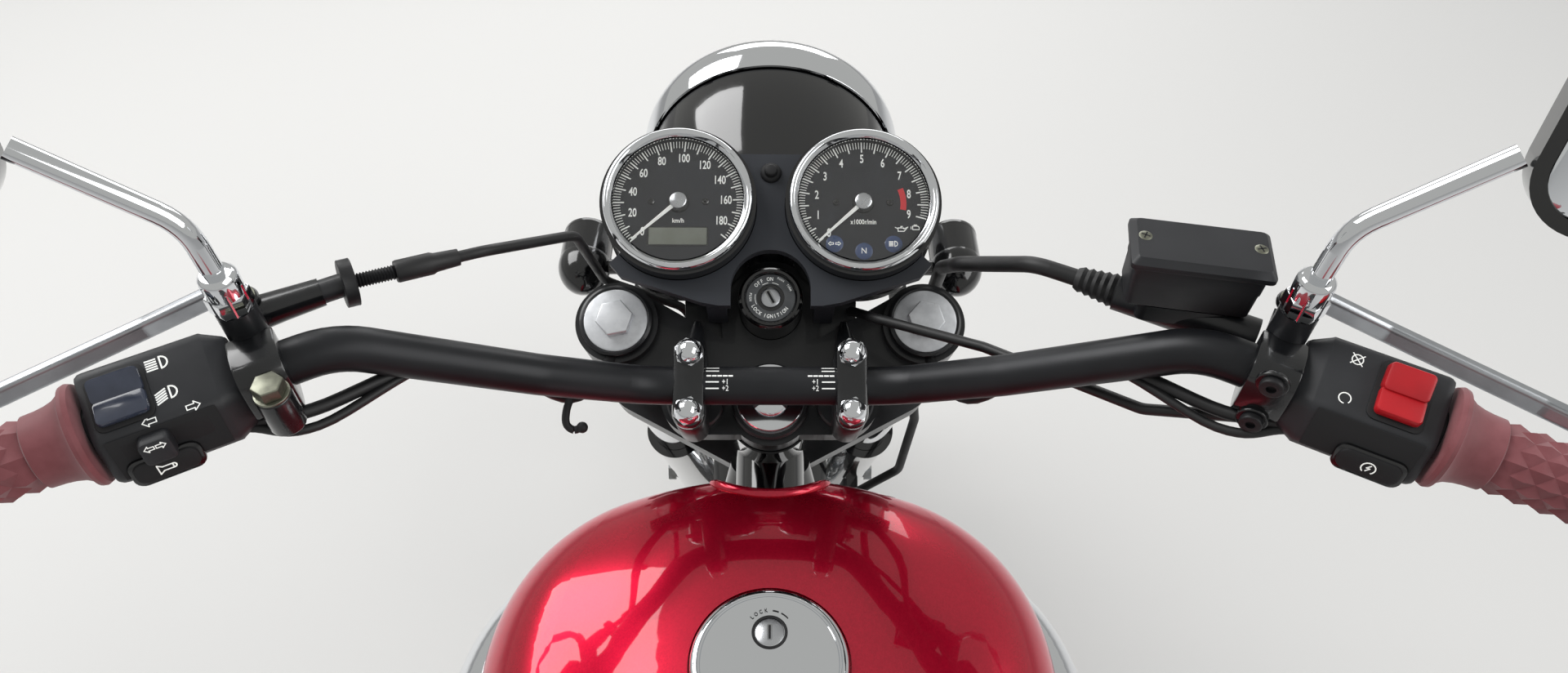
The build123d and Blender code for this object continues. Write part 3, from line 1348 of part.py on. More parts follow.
# Bright side panels bulge from the flanks of the tank
# Columns: y, outer half-width, low z, top z
PANEL_SECTIONS = (
    (304, 152, 822, 858),
    (286, 170, 808, 865),
    (246, 194, 801, 869),
    (180, 203, 798, 870),
    (100, 200, 798, 867),
    (20, 184, 802, 858),
    (-24, 168, 812, 850),
)
with BuildPart() as tank_panels:
    for side in SIDES:
        for y, outer, low_z, high_z in PANEL_SECTIONS:
            with BuildSketch(Plane(origin=(0, y, 0), x_dir=(1, 0, 0), z_dir=(0, -1, 0))):
                with BuildLine():
                    inner_x = side * (outer - 70)
                    edge_x = side * (outer - 22)
                    Polyline((edge_x, low_z), (inner_x, low_z), (inner_x, high_z), (edge_x, high_z))
                    ThreePointArc((edge_x, high_z), (side * outer, (low_z + high_z) / 2), (edge_x, low_z))
                make_face()
        loft()
    add(tank_room, mode=Mode.SUBTRACT)
keep(tank_panels.part, "tank_panels")

with BuildPart() as fuel_cap:
    with BuildSketch(Plane.XY.offset(CAP_SEAT_Z + SEAT_GAP)):
        with Locations((0, CAP_Y)):
            Circle(CAP_R)
    extrude(amount=CAP_Z - CAP_SEAT_Z + 8)
    chamfer(fuel_cap.edges().group_by(Axis.Z)[-1], 2)
keep(fuel_cap.part, "fuel_cap")

# Seat and its cowl on the rails, which rise towards the rear
rail_lift = RAIL_RISE * (RAIL_START_Y - rear_cross_y) / (RAIL_START_Y - rail_end_y)
seat_low = RAIL_Z + rail_lift + RAIL_TUBE_R + SEAT_GAP
with BuildPart() as seat:
    with BuildSketch(Plane.YZ.offset(-112)):
        with BuildLine():
            FilletPolyline(
                (TANK_REAR_Y - 2, seat_low + 6), (TANK_REAR_Y - 2, 842), (-270, 818),
                (rear_cross_y + 90, 824), (rear_cross_y, 862), (rear_cross_y, seat_low), (-240, seat_low),
                radius=7, close=True,
            )
        make_face()
    extrude(amount=224)
    fillet(seat.faces().sort_by(Axis.X)[0].edges() + seat.faces().sort_by(Axis.X)[-1].edges(), 5)
keep(seat.part, "seat")

# Columns: y, low z, top z, half-width
COWL_SECTIONS = (
    (rear_cross_y - SEAT_GAP, 776, 876, 118),
    (rear_axle.Y + 12, 778, 876, 112),
    (rear_axle.Y - 108, 800, 846, 62),
)
with BuildPart() as seat_cowl:
    for y, low_z, top_z, half in COWL_SECTIONS:
        with BuildSketch(Plane(origin=(0, y, (low_z + top_z) / 2), x_dir=(1, 0, 0), z_dir=(0, -1, 0))):
            RectangleRounded(2 * half, top_z - low_z, 20)
    loft()
keep(seat_cowl.part, "seat_cowl")

SIDE_COVER_X = 116.3
with BuildPart() as side_covers:
    for side in SIDES:
        with BuildSketch(Plane.YZ.offset(side * SIDE_COVER_X)):
            with BuildLine():
                corners = ((-110, 728), (-110, 640), (-180, 500), (-300, 560), (-380, 728))
                FilletPolyline(*corners, radius=18, close=True)
            make_face()
        extrude(amount=side * 7)
    # The battery's box hangs between them
    with BuildSketch(Plane.XY.offset(500)):
        with Locations((0, -272)):
            RectangleRounded(150, 100, 10)
    extrude(amount=RAIL_Z - 8 - SEAT_GAP - 500)
keep(side_covers.part, "side_covers")

# Rear mudguard with its hanger, and the bracket for the plate
REAR_GUARD_R = REAR_TYRE_R + 18
PLATE_W = 180
PLATE_H = 110
PLATE_Z = 530
PLATE_HOLE_R = 3.5
PLATE_HOLE_SPACING = 140
LAMP_Z = 640
with BuildPart() as rear_mudguard:
    revolve(
        guard_section(rear_axle, 42, REAR_GUARD_R, REAR_TYRE_W / 2 + 12, 2.5),
        axis=Axis(rear_axle, (1, 0, 0)),
        revolution_arc=42 + 78,
    )
    with BuildSketch(Plane.XY.offset(655)):
        with Locations((0, rear_cross_y)):
            Rectangle(60, 6)
    extrude(amount=RAIL_Z - 8 - SEAT_GAP - 655)
    with BuildSketch(Plane.XZ.offset(-tail_y - 3)):
        with Locations((0, PLATE_Z)):
            RectangleRounded(PLATE_W, PLATE_H, 8)
        hole_x = PLATE_HOLE_SPACING / 2
        with Locations((-hole_x, PLATE_Z + 30), (hole_x, PLATE_Z + 30)):
            Circle(PLATE_HOLE_R, mode=Mode.SUBTRACT)
    extrude(amount=3)
    for side in SIDES:
        guard_spot = (side * 40, rear_axle.Y - 271, rear_axle.Z + 206.5)
        add(bar_between((side * 40, tail_y + 2, PLATE_Z + 30), guard_spot, 6))
        add(bar_between((side * 20, tail_y + 7, PLATE_Z + 40), (side * 20, tail_y + 20, LAMP_Z - 34.7), 6))
keep(rear_mudguard.part, "rear_mudguard")

with BuildPart() as tail_lamp:
    with BuildSketch(Plane.XZ.offset(-tail_y - 62)):
        with Locations((0, LAMP_Z)):
            Circle(36)
    extrude(amount=50)
    with BuildSketch(Plane.XZ.offset(-tail_y - 12)):
        with Locations((0, LAMP_Z)):
            Circle(36)
    extrude(amount=10, taper=25)
keep(tail_lamp.part, "tail_lamp")

REAR_INDICATOR_X = 112
with BuildPart() as rear_indicators:
    for side in SIDES:
        spot = Vector(side * REAR_INDICATOR_X, tail_y + 40, LAMP_Z)
        revolve(bullet(spot, 62, -1), axis=Axis(spot, (0, 1, 0)))
        with BuildSketch(Plane.YZ.offset(side * (36 + SEAT_GAP))):
            with Locations((spot.Y, spot.Z)):
                Circle(6)
        extrude(amount=side * (REAR_INDICATOR_X - INDICATOR_R - 36 + 6))
keep(rear_indicators.part, "rear_indicators")

# Footrests set back, with the pedals ahead of them
REST = (-330, 420)
with BuildPart() as foot_controls:
    for side in SIDES:
        with BuildSketch(Plane.YZ.offset(side * (CRADLE_HALF + CRADLE_TUBE_R + SEAT_GAP))):
            with BuildLine():
                corners = ((-160, 480), (-184, 405), (-338, 403), (-350, 432), (-220, 486))
                FilletPolyline(*corners, radius=8, close=True)
            make_face()
        extrude(amount=side * 7)
        with BuildSketch(Plane.YZ.offset(side * (CRADLE_HALF + CRADLE_TUBE_R + 5))):
            with Locations(REST):
                Circle(11)
        extrude(amount=side * 125)
    for side in SIDES:
        inner_x = CRADLE_HALF + CRADLE_TUBE_R + SEAT_GAP + 7 + SEAT_GAP
        with BuildSketch(Plane.YZ.offset(side * inner_x)):
            with BuildLine():
                FilletPolyline((-300, 412), (-312, 440), (-160, 404), (-150, 388), radius=5, close=True)
            make_face()
        extrude(amount=side * 7)
        with BuildSketch(Plane.YZ.offset(side * (inner_x + 3))):
            with Locations((-160, 396)):
                Circle(7)
        extrude(amount=side * 52)
keep(foot_controls.part, "foot_controls")

# Brake hose and control cables, each a list of runs between hand-placed points
HOSE_R = 4.5
CABLE_R = 3
hose_route = [
    from_tip(1, 232.4, -5.8, 87),
    from_tip(1, 270, 16, 84),
    from_tip(1, 300, 56, 44),
    on_fork(fork_x + 13, 88, 760),
    on_fork(fork_x + 21, 92, 600),
    on_fork(fork_x + 29, 88, 480),
    on_fork(fork_x + 43, 52, 390),
    on_fork(fork_x + 37, 14, 300),
    on_fork(fork_x - 21, -12, 222),
    on_fork(fork_x - 21, -12, 156.4),
]
clutch_route = [
    from_tip(-1, 202.4, -15.2, 101),
    from_tip(-1, 260, 16, 92),
    from_tip(-1, 298, 62, 60),
    on_fork(-fork_x - 13, 86, 735),
    on_fork(-60, 80, 690),
    on_fork(-36, 34, 650),
    on_fork(-36, 34, 596.4),
]
throttle_route = [
    from_tip(1, 171.8, -80.4, 77.2),
    from_tip(1, 220, -54, 50),
    from_tip(1, 290, 6, 28),
    bar_centre + Vector(62, 44, 10),
    on_fork(52, 61, 752),
    on_fork(50, 60, 700),
    on_fork(36, 34, 650),
    on_fork(36, 34, 596.4),
]
brake_hose = tube(hose_route, HOSE_R, 22)
keep(brake_hose, "brake_hose")
with BuildPart() as control_cables:
    add(tube(clutch_route, CABLE_R, 20))
    add(tube(throttle_route, CABLE_R, 18))
keep(control_cables.part, "control_cables")
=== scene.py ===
"""Looks of a cafe racer motorcycle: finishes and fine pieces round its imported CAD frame."""

import logging
from dataclasses import dataclass, field
from enum import Enum
from math import atan2, cos, degrees, pi, radians, sin
from typing import Callable, Optional, Sequence

import bmesh
import bpy
from mathutils import Matrix, Vector
from mathutils.bvhtree import BVHTree


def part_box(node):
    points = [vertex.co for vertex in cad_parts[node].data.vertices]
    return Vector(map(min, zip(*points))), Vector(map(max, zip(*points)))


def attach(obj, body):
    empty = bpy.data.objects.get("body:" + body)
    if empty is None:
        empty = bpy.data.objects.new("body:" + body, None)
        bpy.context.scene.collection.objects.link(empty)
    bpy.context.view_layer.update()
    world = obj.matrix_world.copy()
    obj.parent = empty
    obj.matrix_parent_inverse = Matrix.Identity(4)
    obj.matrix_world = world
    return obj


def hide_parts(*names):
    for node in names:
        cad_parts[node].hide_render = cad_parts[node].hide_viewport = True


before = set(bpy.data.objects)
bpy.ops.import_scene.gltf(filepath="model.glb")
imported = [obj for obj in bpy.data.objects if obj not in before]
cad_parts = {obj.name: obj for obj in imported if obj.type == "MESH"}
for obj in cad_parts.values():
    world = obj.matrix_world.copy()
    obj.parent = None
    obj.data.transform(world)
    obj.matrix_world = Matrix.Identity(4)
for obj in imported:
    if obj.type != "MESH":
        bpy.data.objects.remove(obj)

LOG = logging.getLogger("cafe_racer")
MM = 0.001
SIDES = (-1, 1)
WASHER = 1.2  # thickness of a washer in millimetres
SHARP, CREASE = radians(30), radians(38)  # turns from which an edge is bevelled, and is shaded sharp
Point = tuple[float, float, float]
Flat = tuple[float, float]
Colour = tuple[float, float, float, float]
Shape = bmesh.types.BMesh


class Grain(Enum):
    """How a surface's relief is laid out."""

    NONE = "none"
    SPECKLE = "speckle"
    CAST = "cast"
    BRUSHED = "brushed"
    PEBBLE = "pebble"
    RIPPLE = "ripple"


def linear(hex_code: str) -> Colour:
    """Turn an sRGB hex colour into the linear colour that a shader reads.

    Args:
        hex_code: Six hex digits, with or without a leading hash.

    Returns:
        Linear red, green, blue and an alpha of 1.
    """
    digits = hex_code.lstrip("#")
    shares = [int(digits[i:i + 2], 16) / 255 for i in (0, 2, 4)]
    red, green, blue = (s / 12.92 if s <= 0.04045 else ((s + 0.055) / 1.055) ** 2.4 for s in shares)
    return red, green, blue, 1.0


def add_node(tree: bpy.types.NodeTree, kind: str, settings: Optional[dict] = None,
             links: Optional[dict] = None) -> bpy.types.Node:
    """Add a shader node with its settings and links.

    Args:
        tree: The node tree it goes into.
        kind: The node's type name.
        settings: Property or input names with their values.
        links: Input names or numbers with the output sockets that feed them.

    Returns:
        The new node.
    """
    node = tree.nodes.new(kind)
    for key, value in (settings or {}).items():
        if isinstance(key, str) and hasattr(node, key):
            setattr(node, key, value)
        else:
            node.inputs[key].default_value = value
    for key, socket in (links or {}).items():
        tree.links.new(socket, node.inputs[key])
    return node


@dataclass(frozen=True)
class Finish:
    """One real material and how its surface was made.

    Attributes:
        name: The material's common name and making.
        colour: Main colour as an sRGB hex value.
        metallic: 1 for bare metal.
        roughness: Middle of the roughness range.
        coat: Weight of a clear coat.
        second: Colour of faint patches, or empty.
        patch_mm: Size of the patches.
        spread: How far roughness strays either way.
        grain: Layout of the relief.
        grain_mm: Size of one grain.
        depth_mm: Height of the relief.
        clear: Transmission weight.
        ior: Refraction index where it isn't the default.
        sheen: Weight of a soft sheen.
        glow: Strength of a painted glow, light that the surface gives off though it is no lamp.
    """

    name: str
    colour: str
    metallic: float = 0.0
    roughness: float = 0.5
    coat: float = 0.0
    second: str = ""
    patch_mm: float = 60.0
    spread: float = 0.06
    grain: Grain = Grain.NONE
    grain_mm: float = 0.6
    depth_mm: float = 0.02
    clear: float = 0.0
    ior: float = 0.0
    sheen: float = 0.0
    glow: float = 0.0

    def relief(self, tree: bpy.types.NodeTree, coords: bpy.types.NodeSocket) -> bpy.types.NodeSocket:
        """Build the relief's height pattern.

        Args:
            tree: The node tree it goes into.
            coords: Object coordinates.

        Returns:
            The socket that carries the height.
        """
        scale = 1000 / self.grain_mm
        if self.grain is Grain.PEBBLE:
            cells = add_node(tree, "ShaderNodeTexVoronoi", {"feature": "SMOOTH_F1", "Scale": scale},
                             {"Vector": coords})
            return cells.outputs["Distance"]
        if self.grain is Grain.BRUSHED:
            stretch = add_node(tree, "ShaderNodeMapping", {"Scale": (scale, scale * 0.03, scale)},
                               {"Vector": coords})
            streaks = add_node(tree, "ShaderNodeTexNoise", {"Scale": 1.0, "Detail": 2.0},
                               {"Vector": stretch.outputs[0]})
            return streaks.outputs[0]
        detail = 6.0 if self.grain is Grain.CAST else 2.0
        noise = add_node(tree, "ShaderNodeTexNoise", {"Scale": scale, "Detail": detail}, {"Vector": coords})
        return noise.outputs[0]

    def material(self) -> bpy.types.Material:
        """Make the material on first use.

        Returns:
            The material.
        """
        known = bpy.data.materials.get(self.name)
        if known:
            return known
        made = bpy.data.materials.new(self.name)
        made.use_nodes = True
        made.diffuse_color = linear(self.colour)
        tree = made.node_tree
        shader = tree.nodes["Principled BSDF"]
        fixed = {"Base Color": linear(self.colour), "Metallic": self.metallic, "Roughness": self.roughness,
                 "Coat Weight": self.coat, "Coat Roughness": 0.03, "Transmission Weight": self.clear,
                 "Sheen Weight": self.sheen, "Emission Color": linear(self.colour),
                 "Emission Strength": self.glow}
        if self.ior:
            fixed["IOR"] = self.ior
        for socket, value in fixed.items():
            shader.inputs[socket].default_value = value
        coords = add_node(tree, "ShaderNodeTexCoord").outputs["Object"]
        if self.spread:  # faint patches that vary the gloss, and the colour where a second one is given
            haze = add_node(tree, "ShaderNodeTexNoise", {"Scale": 1000 / self.patch_mm, "Detail": 5.0},
                            {"Vector": coords}).outputs[0]
            reach = add_node(tree, "ShaderNodeMapRange",
                             {"From Min": 0.3, "From Max": 0.7,
                              "To Min": max(self.roughness - self.spread, 0.0),
                              "To Max": min(self.roughness + self.spread, 1.0)}, {"Value": haze})
            tree.links.new(reach.outputs[0], shader.inputs["Roughness"])
            if self.second:
                ramp = add_node(tree, "ShaderNodeValToRGB", links={"Fac": haze})
                ramp.color_ramp.elements[0].position = 0.38
                ramp.color_ramp.elements[0].color = linear(self.colour)
                ramp.color_ramp.elements[1].position = 0.68
                ramp.color_ramp.elements[1].color = linear(self.second)
                tree.links.new(ramp.outputs["Color"], shader.inputs["Base Color"])
        if self.grain is not Grain.NONE:
            bump = add_node(tree, "ShaderNodeBump", {"Strength": 1.0, "Distance": self.depth_mm * MM},
                            {"Height": self.relief(tree, coords)})
            tree.links.new(bump.outputs[0], shader.inputs["Normal"])
        return made


@dataclass(frozen=True)
class CandyPaint(Finish):
    """A see-through red over bright flakes, deepened by its tinted coat where it turns away.

    Attributes:
        flake_mm: Size of one flake, drawn coarser than real ones so that it shows.
        flake_share: How much of the bright colour the brightest flake takes.
        bright: Colour of the brightest flakes.
        tint: Colour of the coat.
    """

    flake_mm: float = 0.8
    flake_share: float = 0.35
    bright: str = "#f53a62"
    tint: str = "#f79cb2"

    def material(self) -> bpy.types.Material:
        """Make the material on first use.

        Returns:
            The material.
        """
        known = bpy.data.materials.get(self.name)
        made = super().material()
        if known:
            return made
        tree = made.node_tree
        shader = tree.nodes["Principled BSDF"]
        coords = add_node(tree, "ShaderNodeTexCoord").outputs["Object"]
        cells = add_node(tree, "ShaderNodeTexVoronoi", {"Scale": 1000 / self.flake_mm}, {"Vector": coords})
        glint = add_node(tree, "ShaderNodeMapRange", {"To Max": self.flake_share},
                         {"Value": cells.outputs["Color"]})
        base = add_node(tree, "ShaderNodeMix",
                        {"data_type": "RGBA", 6: linear(self.colour), 7: linear(self.bright)},
                        {"Factor": glint.outputs[0]})
        tree.links.new(base.outputs[2], shader.inputs["Base Color"])
        shader.inputs["Coat Tint"].default_value = linear(self.tint)
        return made


# Chromium plate on steel: a cool mirror with the faintest haze
CHROME = Finish("chrome_plate", "#e3e5e8", 1.0, 0.045, spread=0.02, patch_mm=90)
# Candy enamel over a bright base, under a thick clear coat
CANDY_RED = CandyPaint("candy_enamel_red", "#b91243", 0.7, 0.26, 1.0, spread=0.0, grain=Grain.RIPPLE,
                       grain_mm=14, depth_mm=0.004)
# Stove enamel: deep black with a slight orange peel
GLOSS_BLACK = Finish("gloss_black_enamel", "#08080a", 0.0, 0.12, 1.0, spread=0.03, patch_mm=120,
                     grain=Grain.RIPPLE, grain_mm=9, depth_mm=0.004)
# Powder coat on the clamps: satin, with the sand casting's soft pebbles below
SATIN_CAST = Finish("satin_black_powder_coat_on_cast_aluminium", "#17181a", 0.0, 0.38, 0.15, "#202124", 30,
                    0.09, Grain.CAST, 2.4, 0.05)
# Matt black anodised tube of the bar
BAR_BLACK = Finish("matt_black_anodised_aluminium", "#1b1c1f", 0.35, 0.42, second="#232427", patch_mm=45,
                   grain=Grain.SPECKLE, grain_mm=0.5, depth_mm=0.006)
# Injection-moulded ABS: a spark-eroded matt texture, or a polished mould's gloss; grains coarser than real
MOULDED_ABS = Finish("moulded_abs_dark_grey", "#232427", 0.0, 0.5, 0.0, "#2a2b2e", 25, 0.07, Grain.SPECKLE,
                     0.7, 0.02)
PANEL_ABS = Finish("moulded_abs_slate_grey", "#2a2d33", 0.0, 0.52, 0.0, "#30333a", 40, 0.06, Grain.SPECKLE,
                   0.6, 0.015)
# The gloss black also serves as painted shadow under each dial's hub.
GLOSS_ABS_AND_SHADOW = Finish("gloss_black_abs_and_painted_shadow", "#0a0a0c", 0.0, 0.15, 0.6, spread=0.04, patch_mm=70)
# Moulded rubber of buttons and boots: dull, greying where it is touched; the same black also serves as
# painted shade in screw recesses, keyways and the intakes' throats
SOFT_BLACK_AND_SHADE = Finish("black_rubber_moulded_and_painted_shade", "#131315", 0.0, 0.68, 0.0, "#1b1b1d", 20, 0.1, Grain.SPECKLE, 0.8,
                    0.02)
# The stop switch's red plastic
RED_ABS = Finish("moulded_abs_signal_red", "#c3141f", 0.0, 0.4, 0.1, "#b2101b", 20, 0.05, Grain.SPECKLE, 0.6,
                 0.01)
# Grip rubber: brownish red, dusty in the hollows
GRIP_RUBBER = Finish("brown_red_grip_rubber", "#7d3f43", 0.0, 0.66, 0.0, "#8d5054", 12, 0.1, Grain.SPECKLE,
                     0.5, 0.02, sheen=0.2)
# Tyre and hose rubber: dull and dusty, or extruded smooth
TYRE_RUBBER = Finish("tyre_rubber", "#1a1a1b", 0.0, 0.78, 0.0, "#262625", 35, 0.08, Grain.SPECKLE, 1.2, 0.03)
HOSE_RUBBER = Finish("extruded_hose_rubber", "#161617", 0.0, 0.5, 0.0, "#1e1e1f", 18, 0.08, Grain.SPECKLE,
                     0.6, 0.01)
# Aluminium: anodised to a fine satin, forged, polished, raw from the die, or painted over the casting
SILVER = Finish("silver_anodised_aluminium", "#c9cbce", 1.0, 0.3, second="#b9bbbf", patch_mm=14, spread=0.06,
                grain=Grain.SPECKLE, grain_mm=0.4, depth_mm=0.004)
LEVER_ALLOY = Finish("satin_forged_aluminium", "#b9bcc0", 1.0, 0.34, second="#a6a9ad", patch_mm=22,
                     grain=Grain.SPECKLE, grain_mm=0.5, depth_mm=0.006)
POLISHED = Finish("polished_aluminium", "#c8c9ca", 1.0, 0.16, second="#b4b5b7", patch_mm=35, spread=0.07,
                  grain=Grain.BRUSHED, grain_mm=0.5, depth_mm=0.004)
RAW_CAST = Finish("die_cast_aluminium", "#9a9b9c", 1.0, 0.46, second="#858687", patch_mm=25, grain=Grain.CAST,
                  grain_mm=1.6, depth_mm=0.05)
BLACK_CAST = Finish("black_painted_cast_aluminium", "#141416", 0.1, 0.45, 0.0, "#1f1f21", 30, 0.1, Grain.CAST,
                    1.8, 0.06)
# Zinc plate on turned steel, and bare ground steel of the disc
ZINC = Finish("zinc_plated_steel", "#a9abae", 1.0, 0.3, second="#8f8f8c", patch_mm=12, grain=Grain.SPECKLE,
              grain_mm=0.6, depth_mm=0.006)
GROUND_STEEL = Finish("ground_stainless_steel", "#9da0a3", 1.0, 0.28, second="#878a8e", patch_mm=18,
                      grain=Grain.BRUSHED, grain_mm=0.6, depth_mm=0.008)
# Oiled steel of the chain, brown in its joints, and chromed spring wire
CHAIN_STEEL = Finish("oiled_chain_steel", "#57534c", 1.0, 0.38, second="#3a3732", patch_mm=8, spread=0.1)
SPRING_CHROME = Finish("chrome_plated_spring_steel", "#d2d4d7", 1.0, 0.1, spread=0.04, patch_mm=25)
# Upholstery: pebble-grained vinyl over foam, and its waxed thread
SEAT_VINYL = Finish("black_grained_vinyl", "#151416", 0.0, 0.46, 0.0, "#1d1c1e", 40, 0.07, Grain.PEBBLE, 1.6,
                    0.12, sheen=0.15)
STITCH = Finish("waxed_polyester_thread", "#3a393b", 0.0, 0.7, spread=0.05, patch_mm=5)
# Glass and acrylic: clear, deep red, amber, and silvered on the back
CLEAR = Finish("clear_mineral_glass", "#ffffff", 0.0, 0.0, clear=1.0, ior=1.45, spread=0.0)
RED_LENS = Finish("red_acrylic_lens", "#9c0b10", 0.0, 0.08, 0.5, second="#7d070b", patch_mm=30, spread=0.03)
AMBER_LENS = Finish("amber_acrylic_lens", "#c76a10", 0.0, 0.1, 0.5, second="#b25a0a", patch_mm=20,
                    spread=0.03)
MIRROR = Finish("silvered_mirror_glass", "#eef1f4", 1.0, 0.01, spread=0.0)
# The instruments: blue-black printed card, prints with a painted glow that brightens them under the glass,
# grey display, smoked lamps
DIAL_BLACK = Finish("screen_printed_dial_black", "#171a22", 0.0, 0.45, 0.3, "#1b1f29", 30, 0.04)
# Both prints glow with painted light wherever they are used: dials, needles, switches, the lock and the bar's
# marks.
WHITE_PRINT_PAINTED_GLOW = Finish("white_screen_print_painted_glow", "#f1f2ee", 0.0, 0.5, spread=0.03, patch_mm=5, glow=0.3)
RED_PRINT_PAINTED_GLOW = Finish("red_screen_print_painted_glow", "#e0323a", 0.0, 0.5, spread=0.03, patch_mm=5, glow=0.1)
LCD = Finish("liquid_crystal_window", "#8d9186", 0.0, 0.35, 0.4, "#83877b", 14, 0.04)
LAMP_BLUE = Finish("smoked_blue_lamp_lens", "#39507c", 0.0, 0.3, 0.3, "#43598a", 6, 0.04)
# Zinc plate etched grey round the key
ETCHED_RING = Finish("etched_zinc_plate", "#6d6f72", 1.0, 0.4, second="#616366", patch_mm=8,
                     grain=Grain.SPECKLE, grain_mm=0.4, depth_mm=0.005)
# The same powder coat where it is rubbed shiny, on the clamps' caps
GLOSS_CAST = Finish("black_powder_coat_rubbed", "#0f1012", 0.0, 0.24, 0.4, "#17181a", 20, 0.07, Grain.CAST,
                    2.6, 0.03)
# Clear anodised aluminium of the fork's caps: nearly white, with a fine etched tooth
PALE_ALLOY = Finish("clear_anodised_aluminium", "#e4e6e9", 0.75, 0.5, second="#d5d7da", patch_mm=6,
                    spread=0.06, grain=Grain.SPECKLE, grain_mm=0.5, depth_mm=0.01)
# Passivated zinc of the perches' nuts: dull and faintly olive
DULL_ZINC = Finish("olive_passivated_zinc", "#8d8e80", 1.0, 0.42, second="#77786c", patch_mm=5,
                   grain=Grain.SPECKLE, grain_mm=0.5, depth_mm=0.01)
# Rocker button: dark blue-grey plastic worn glossy by the thumb
ROCKER_ABS = Finish("worn_rocker_abs", "#2f3442", 0.0, 0.2, 0.5, "#3a4050", 14, 0.08)
# Blank reflective sheet on the plate
PLATE_ENAMEL = Finish("white_reflective_sheet", "#d9dad8", 0.0, 0.35, 0.3, "#d2d3d1", 40, 0.04)
# Inside of a muffler's mouth
SOOT = Finish("sooted_steel", "#1d1b19", 0.2, 0.8, second="#2a2724", patch_mm=9, spread=0.08)
# Matt painted floor
PALE_FLOOR = Finish("pale_studio_floor", "#dad9d6", 0.0, 0.6, spread=0.0)


# Which finish each CAD node takes, those that a modelled piece stands for among them
NODE_FINISHES: dict[str, Finish] = {node: finish for finish, nodes in (
    (GLOSS_BLACK, "main_frame side_covers rear_mudguard swingarm fork_sliders headlamp_shell headlamp_ears "
                  "front_mudguard centre_stand side_stand"),
    (CANDY_RED, "fuel_tank seat_cowl"),
    (CHROME, "tank_panels exhausts fork_tubes mirror_stems gauge_bezels headlamp_rim front_rim rear_rim "
             "fuel_cap"),
    (SEAT_VINYL, "seat"),
    (RED_LENS, "tail_lamp"),
    (GLOSS_ABS_AND_SHADOW, "rear_indicators mirror_heads gauge_cups ignition_lock front_indicators"),
    (BLACK_CAST, "crankcase cylinders front_caliper"),
    (POLISHED, "engine_covers front_hub rear_hub"),
    (RAW_CAST, "carburettors"),
    (ZINC, "rear_axle front_axle rear_sprocket"),
    (SPRING_CHROME, "rear_shocks"),
    (CHAIN_STEEL, "drive_chain"),
    (LEVER_ALLOY, "foot_controls levers"),
    (SATIN_CAST, "top_clamp lower_clamp bar_clamps control_perches"),
    (SILVER, "fork_caps"),
    (BAR_BLACK, "handlebar"),
    (GRIP_RUBBER, "grips"),
    (MOULDED_ABS, "switch_housings brake_reservoir"),
    (CLEAR, "gauge_glasses headlamp_lens"),
    (PANEL_ABS, "gauge_panel"),
    (HOSE_RUBBER, "brake_hose control_cables"),
    (TYRE_RUBBER, "front_tyre rear_tyre"),
    (GROUND_STEEL, "front_disc"),
) for node in nodes.split()}


# Places: everything is drawn in millimetres and laid in the machine's own frame

HERE = Matrix.Identity(4)
ACROSS, SKY = Vector((1, 0, 0)), Vector((0, 0, 1))
RAKE = radians(27)
UP = Vector((0, -sin(RAKE), cos(RAKE)))
AHEAD = Vector((0, cos(RAKE), sin(RAKE)))
FRONT_AXLE, REAR_AXLE = (0, 738, 318.5), (0, -692, 339.5)
FORK_FOOT = Vector(FRONT_AXLE) - AHEAD * 50
FORK_X, FORK_AHEAD, CLAMP_TOP = 97.0, 50.0, 763.0
GAUGE_X, GAUGE_AHEAD = 55.7, 112.8
RISER_X, BAR_UP, BAR_HALF = 46.5, 47.0, 410.0
BAR_END, BAR_CORNER = Vector((BAR_HALF, -162, 95)), Vector((206, -53, 97))


def axes(origin: Vector, x: Vector, y: Vector, z: Vector) -> Matrix:
    """Build a placement from its origin and three directions."""
    turn = Matrix((x, y, z)).transposed().to_4x4()
    return Matrix.Translation(origin) @ turn


def fork(x: float, ahead: float, up: float) -> Matrix:
    """A placement on the steering: local X across, Y ahead, Z up the steering axis."""
    origin = FORK_FOOT + Vector((x, 0, 0)) + AHEAD * ahead + UP * up
    return axes(origin, ACROSS, AHEAD, UP)


BAR_CENTRE = fork(0, 0, CLAMP_TOP + BAR_UP).translation


def by_bar(x: float, y: float, z: float) -> Vector:
    """A point across, forward and up of the bar's middle."""
    return BAR_CENTRE + Vector((x, y, z))


def on_bar(side: int, reach: float, ahead: float = 0, up: float = 0) -> Matrix:
    """A placement on the bar's outer straight.

    Args:
        side: -1 for the left, 1 for the right.
        reach: Distance back from the bar's end.
        ahead: Distance ahead of the bar's middle line.
        up: Distance above it.

    Returns:
        Local X points ahead, Y up and Z towards the rider's right along the bar.
    """
    run = (BAR_END - BAR_CORNER).normalized()
    right = Vector((run.x, run.y * side, run.z * side))
    high = (SKY - right * right.z).normalized()
    front = high.cross(right).normalized()
    end = by_bar(side * BAR_END.x, BAR_END.y, BAR_END.z)
    return axes(end - right * (side * reach) + front * ahead + high * up, front, high, right)


def upright(x: float, y: float, z: float) -> Matrix:
    """A placement with the machine's own axes."""
    return Matrix.Translation((x, y, z))


def aimed(origin: Sequence[float], target: Sequence[float]) -> Matrix:
    """A placement whose local Z runs along a line.

    Args:
        origin: The line's start and the placement's origin.
        target: The line's end.

    Returns:
        The placement, with local X level.
    """
    start = Vector(origin)
    z = (Vector(target) - start).normalized()
    side = SKY.cross(z)
    x = side.normalized() if side.length > 1e-4 else ACROSS
    return axes(start, x, z.cross(x), z)


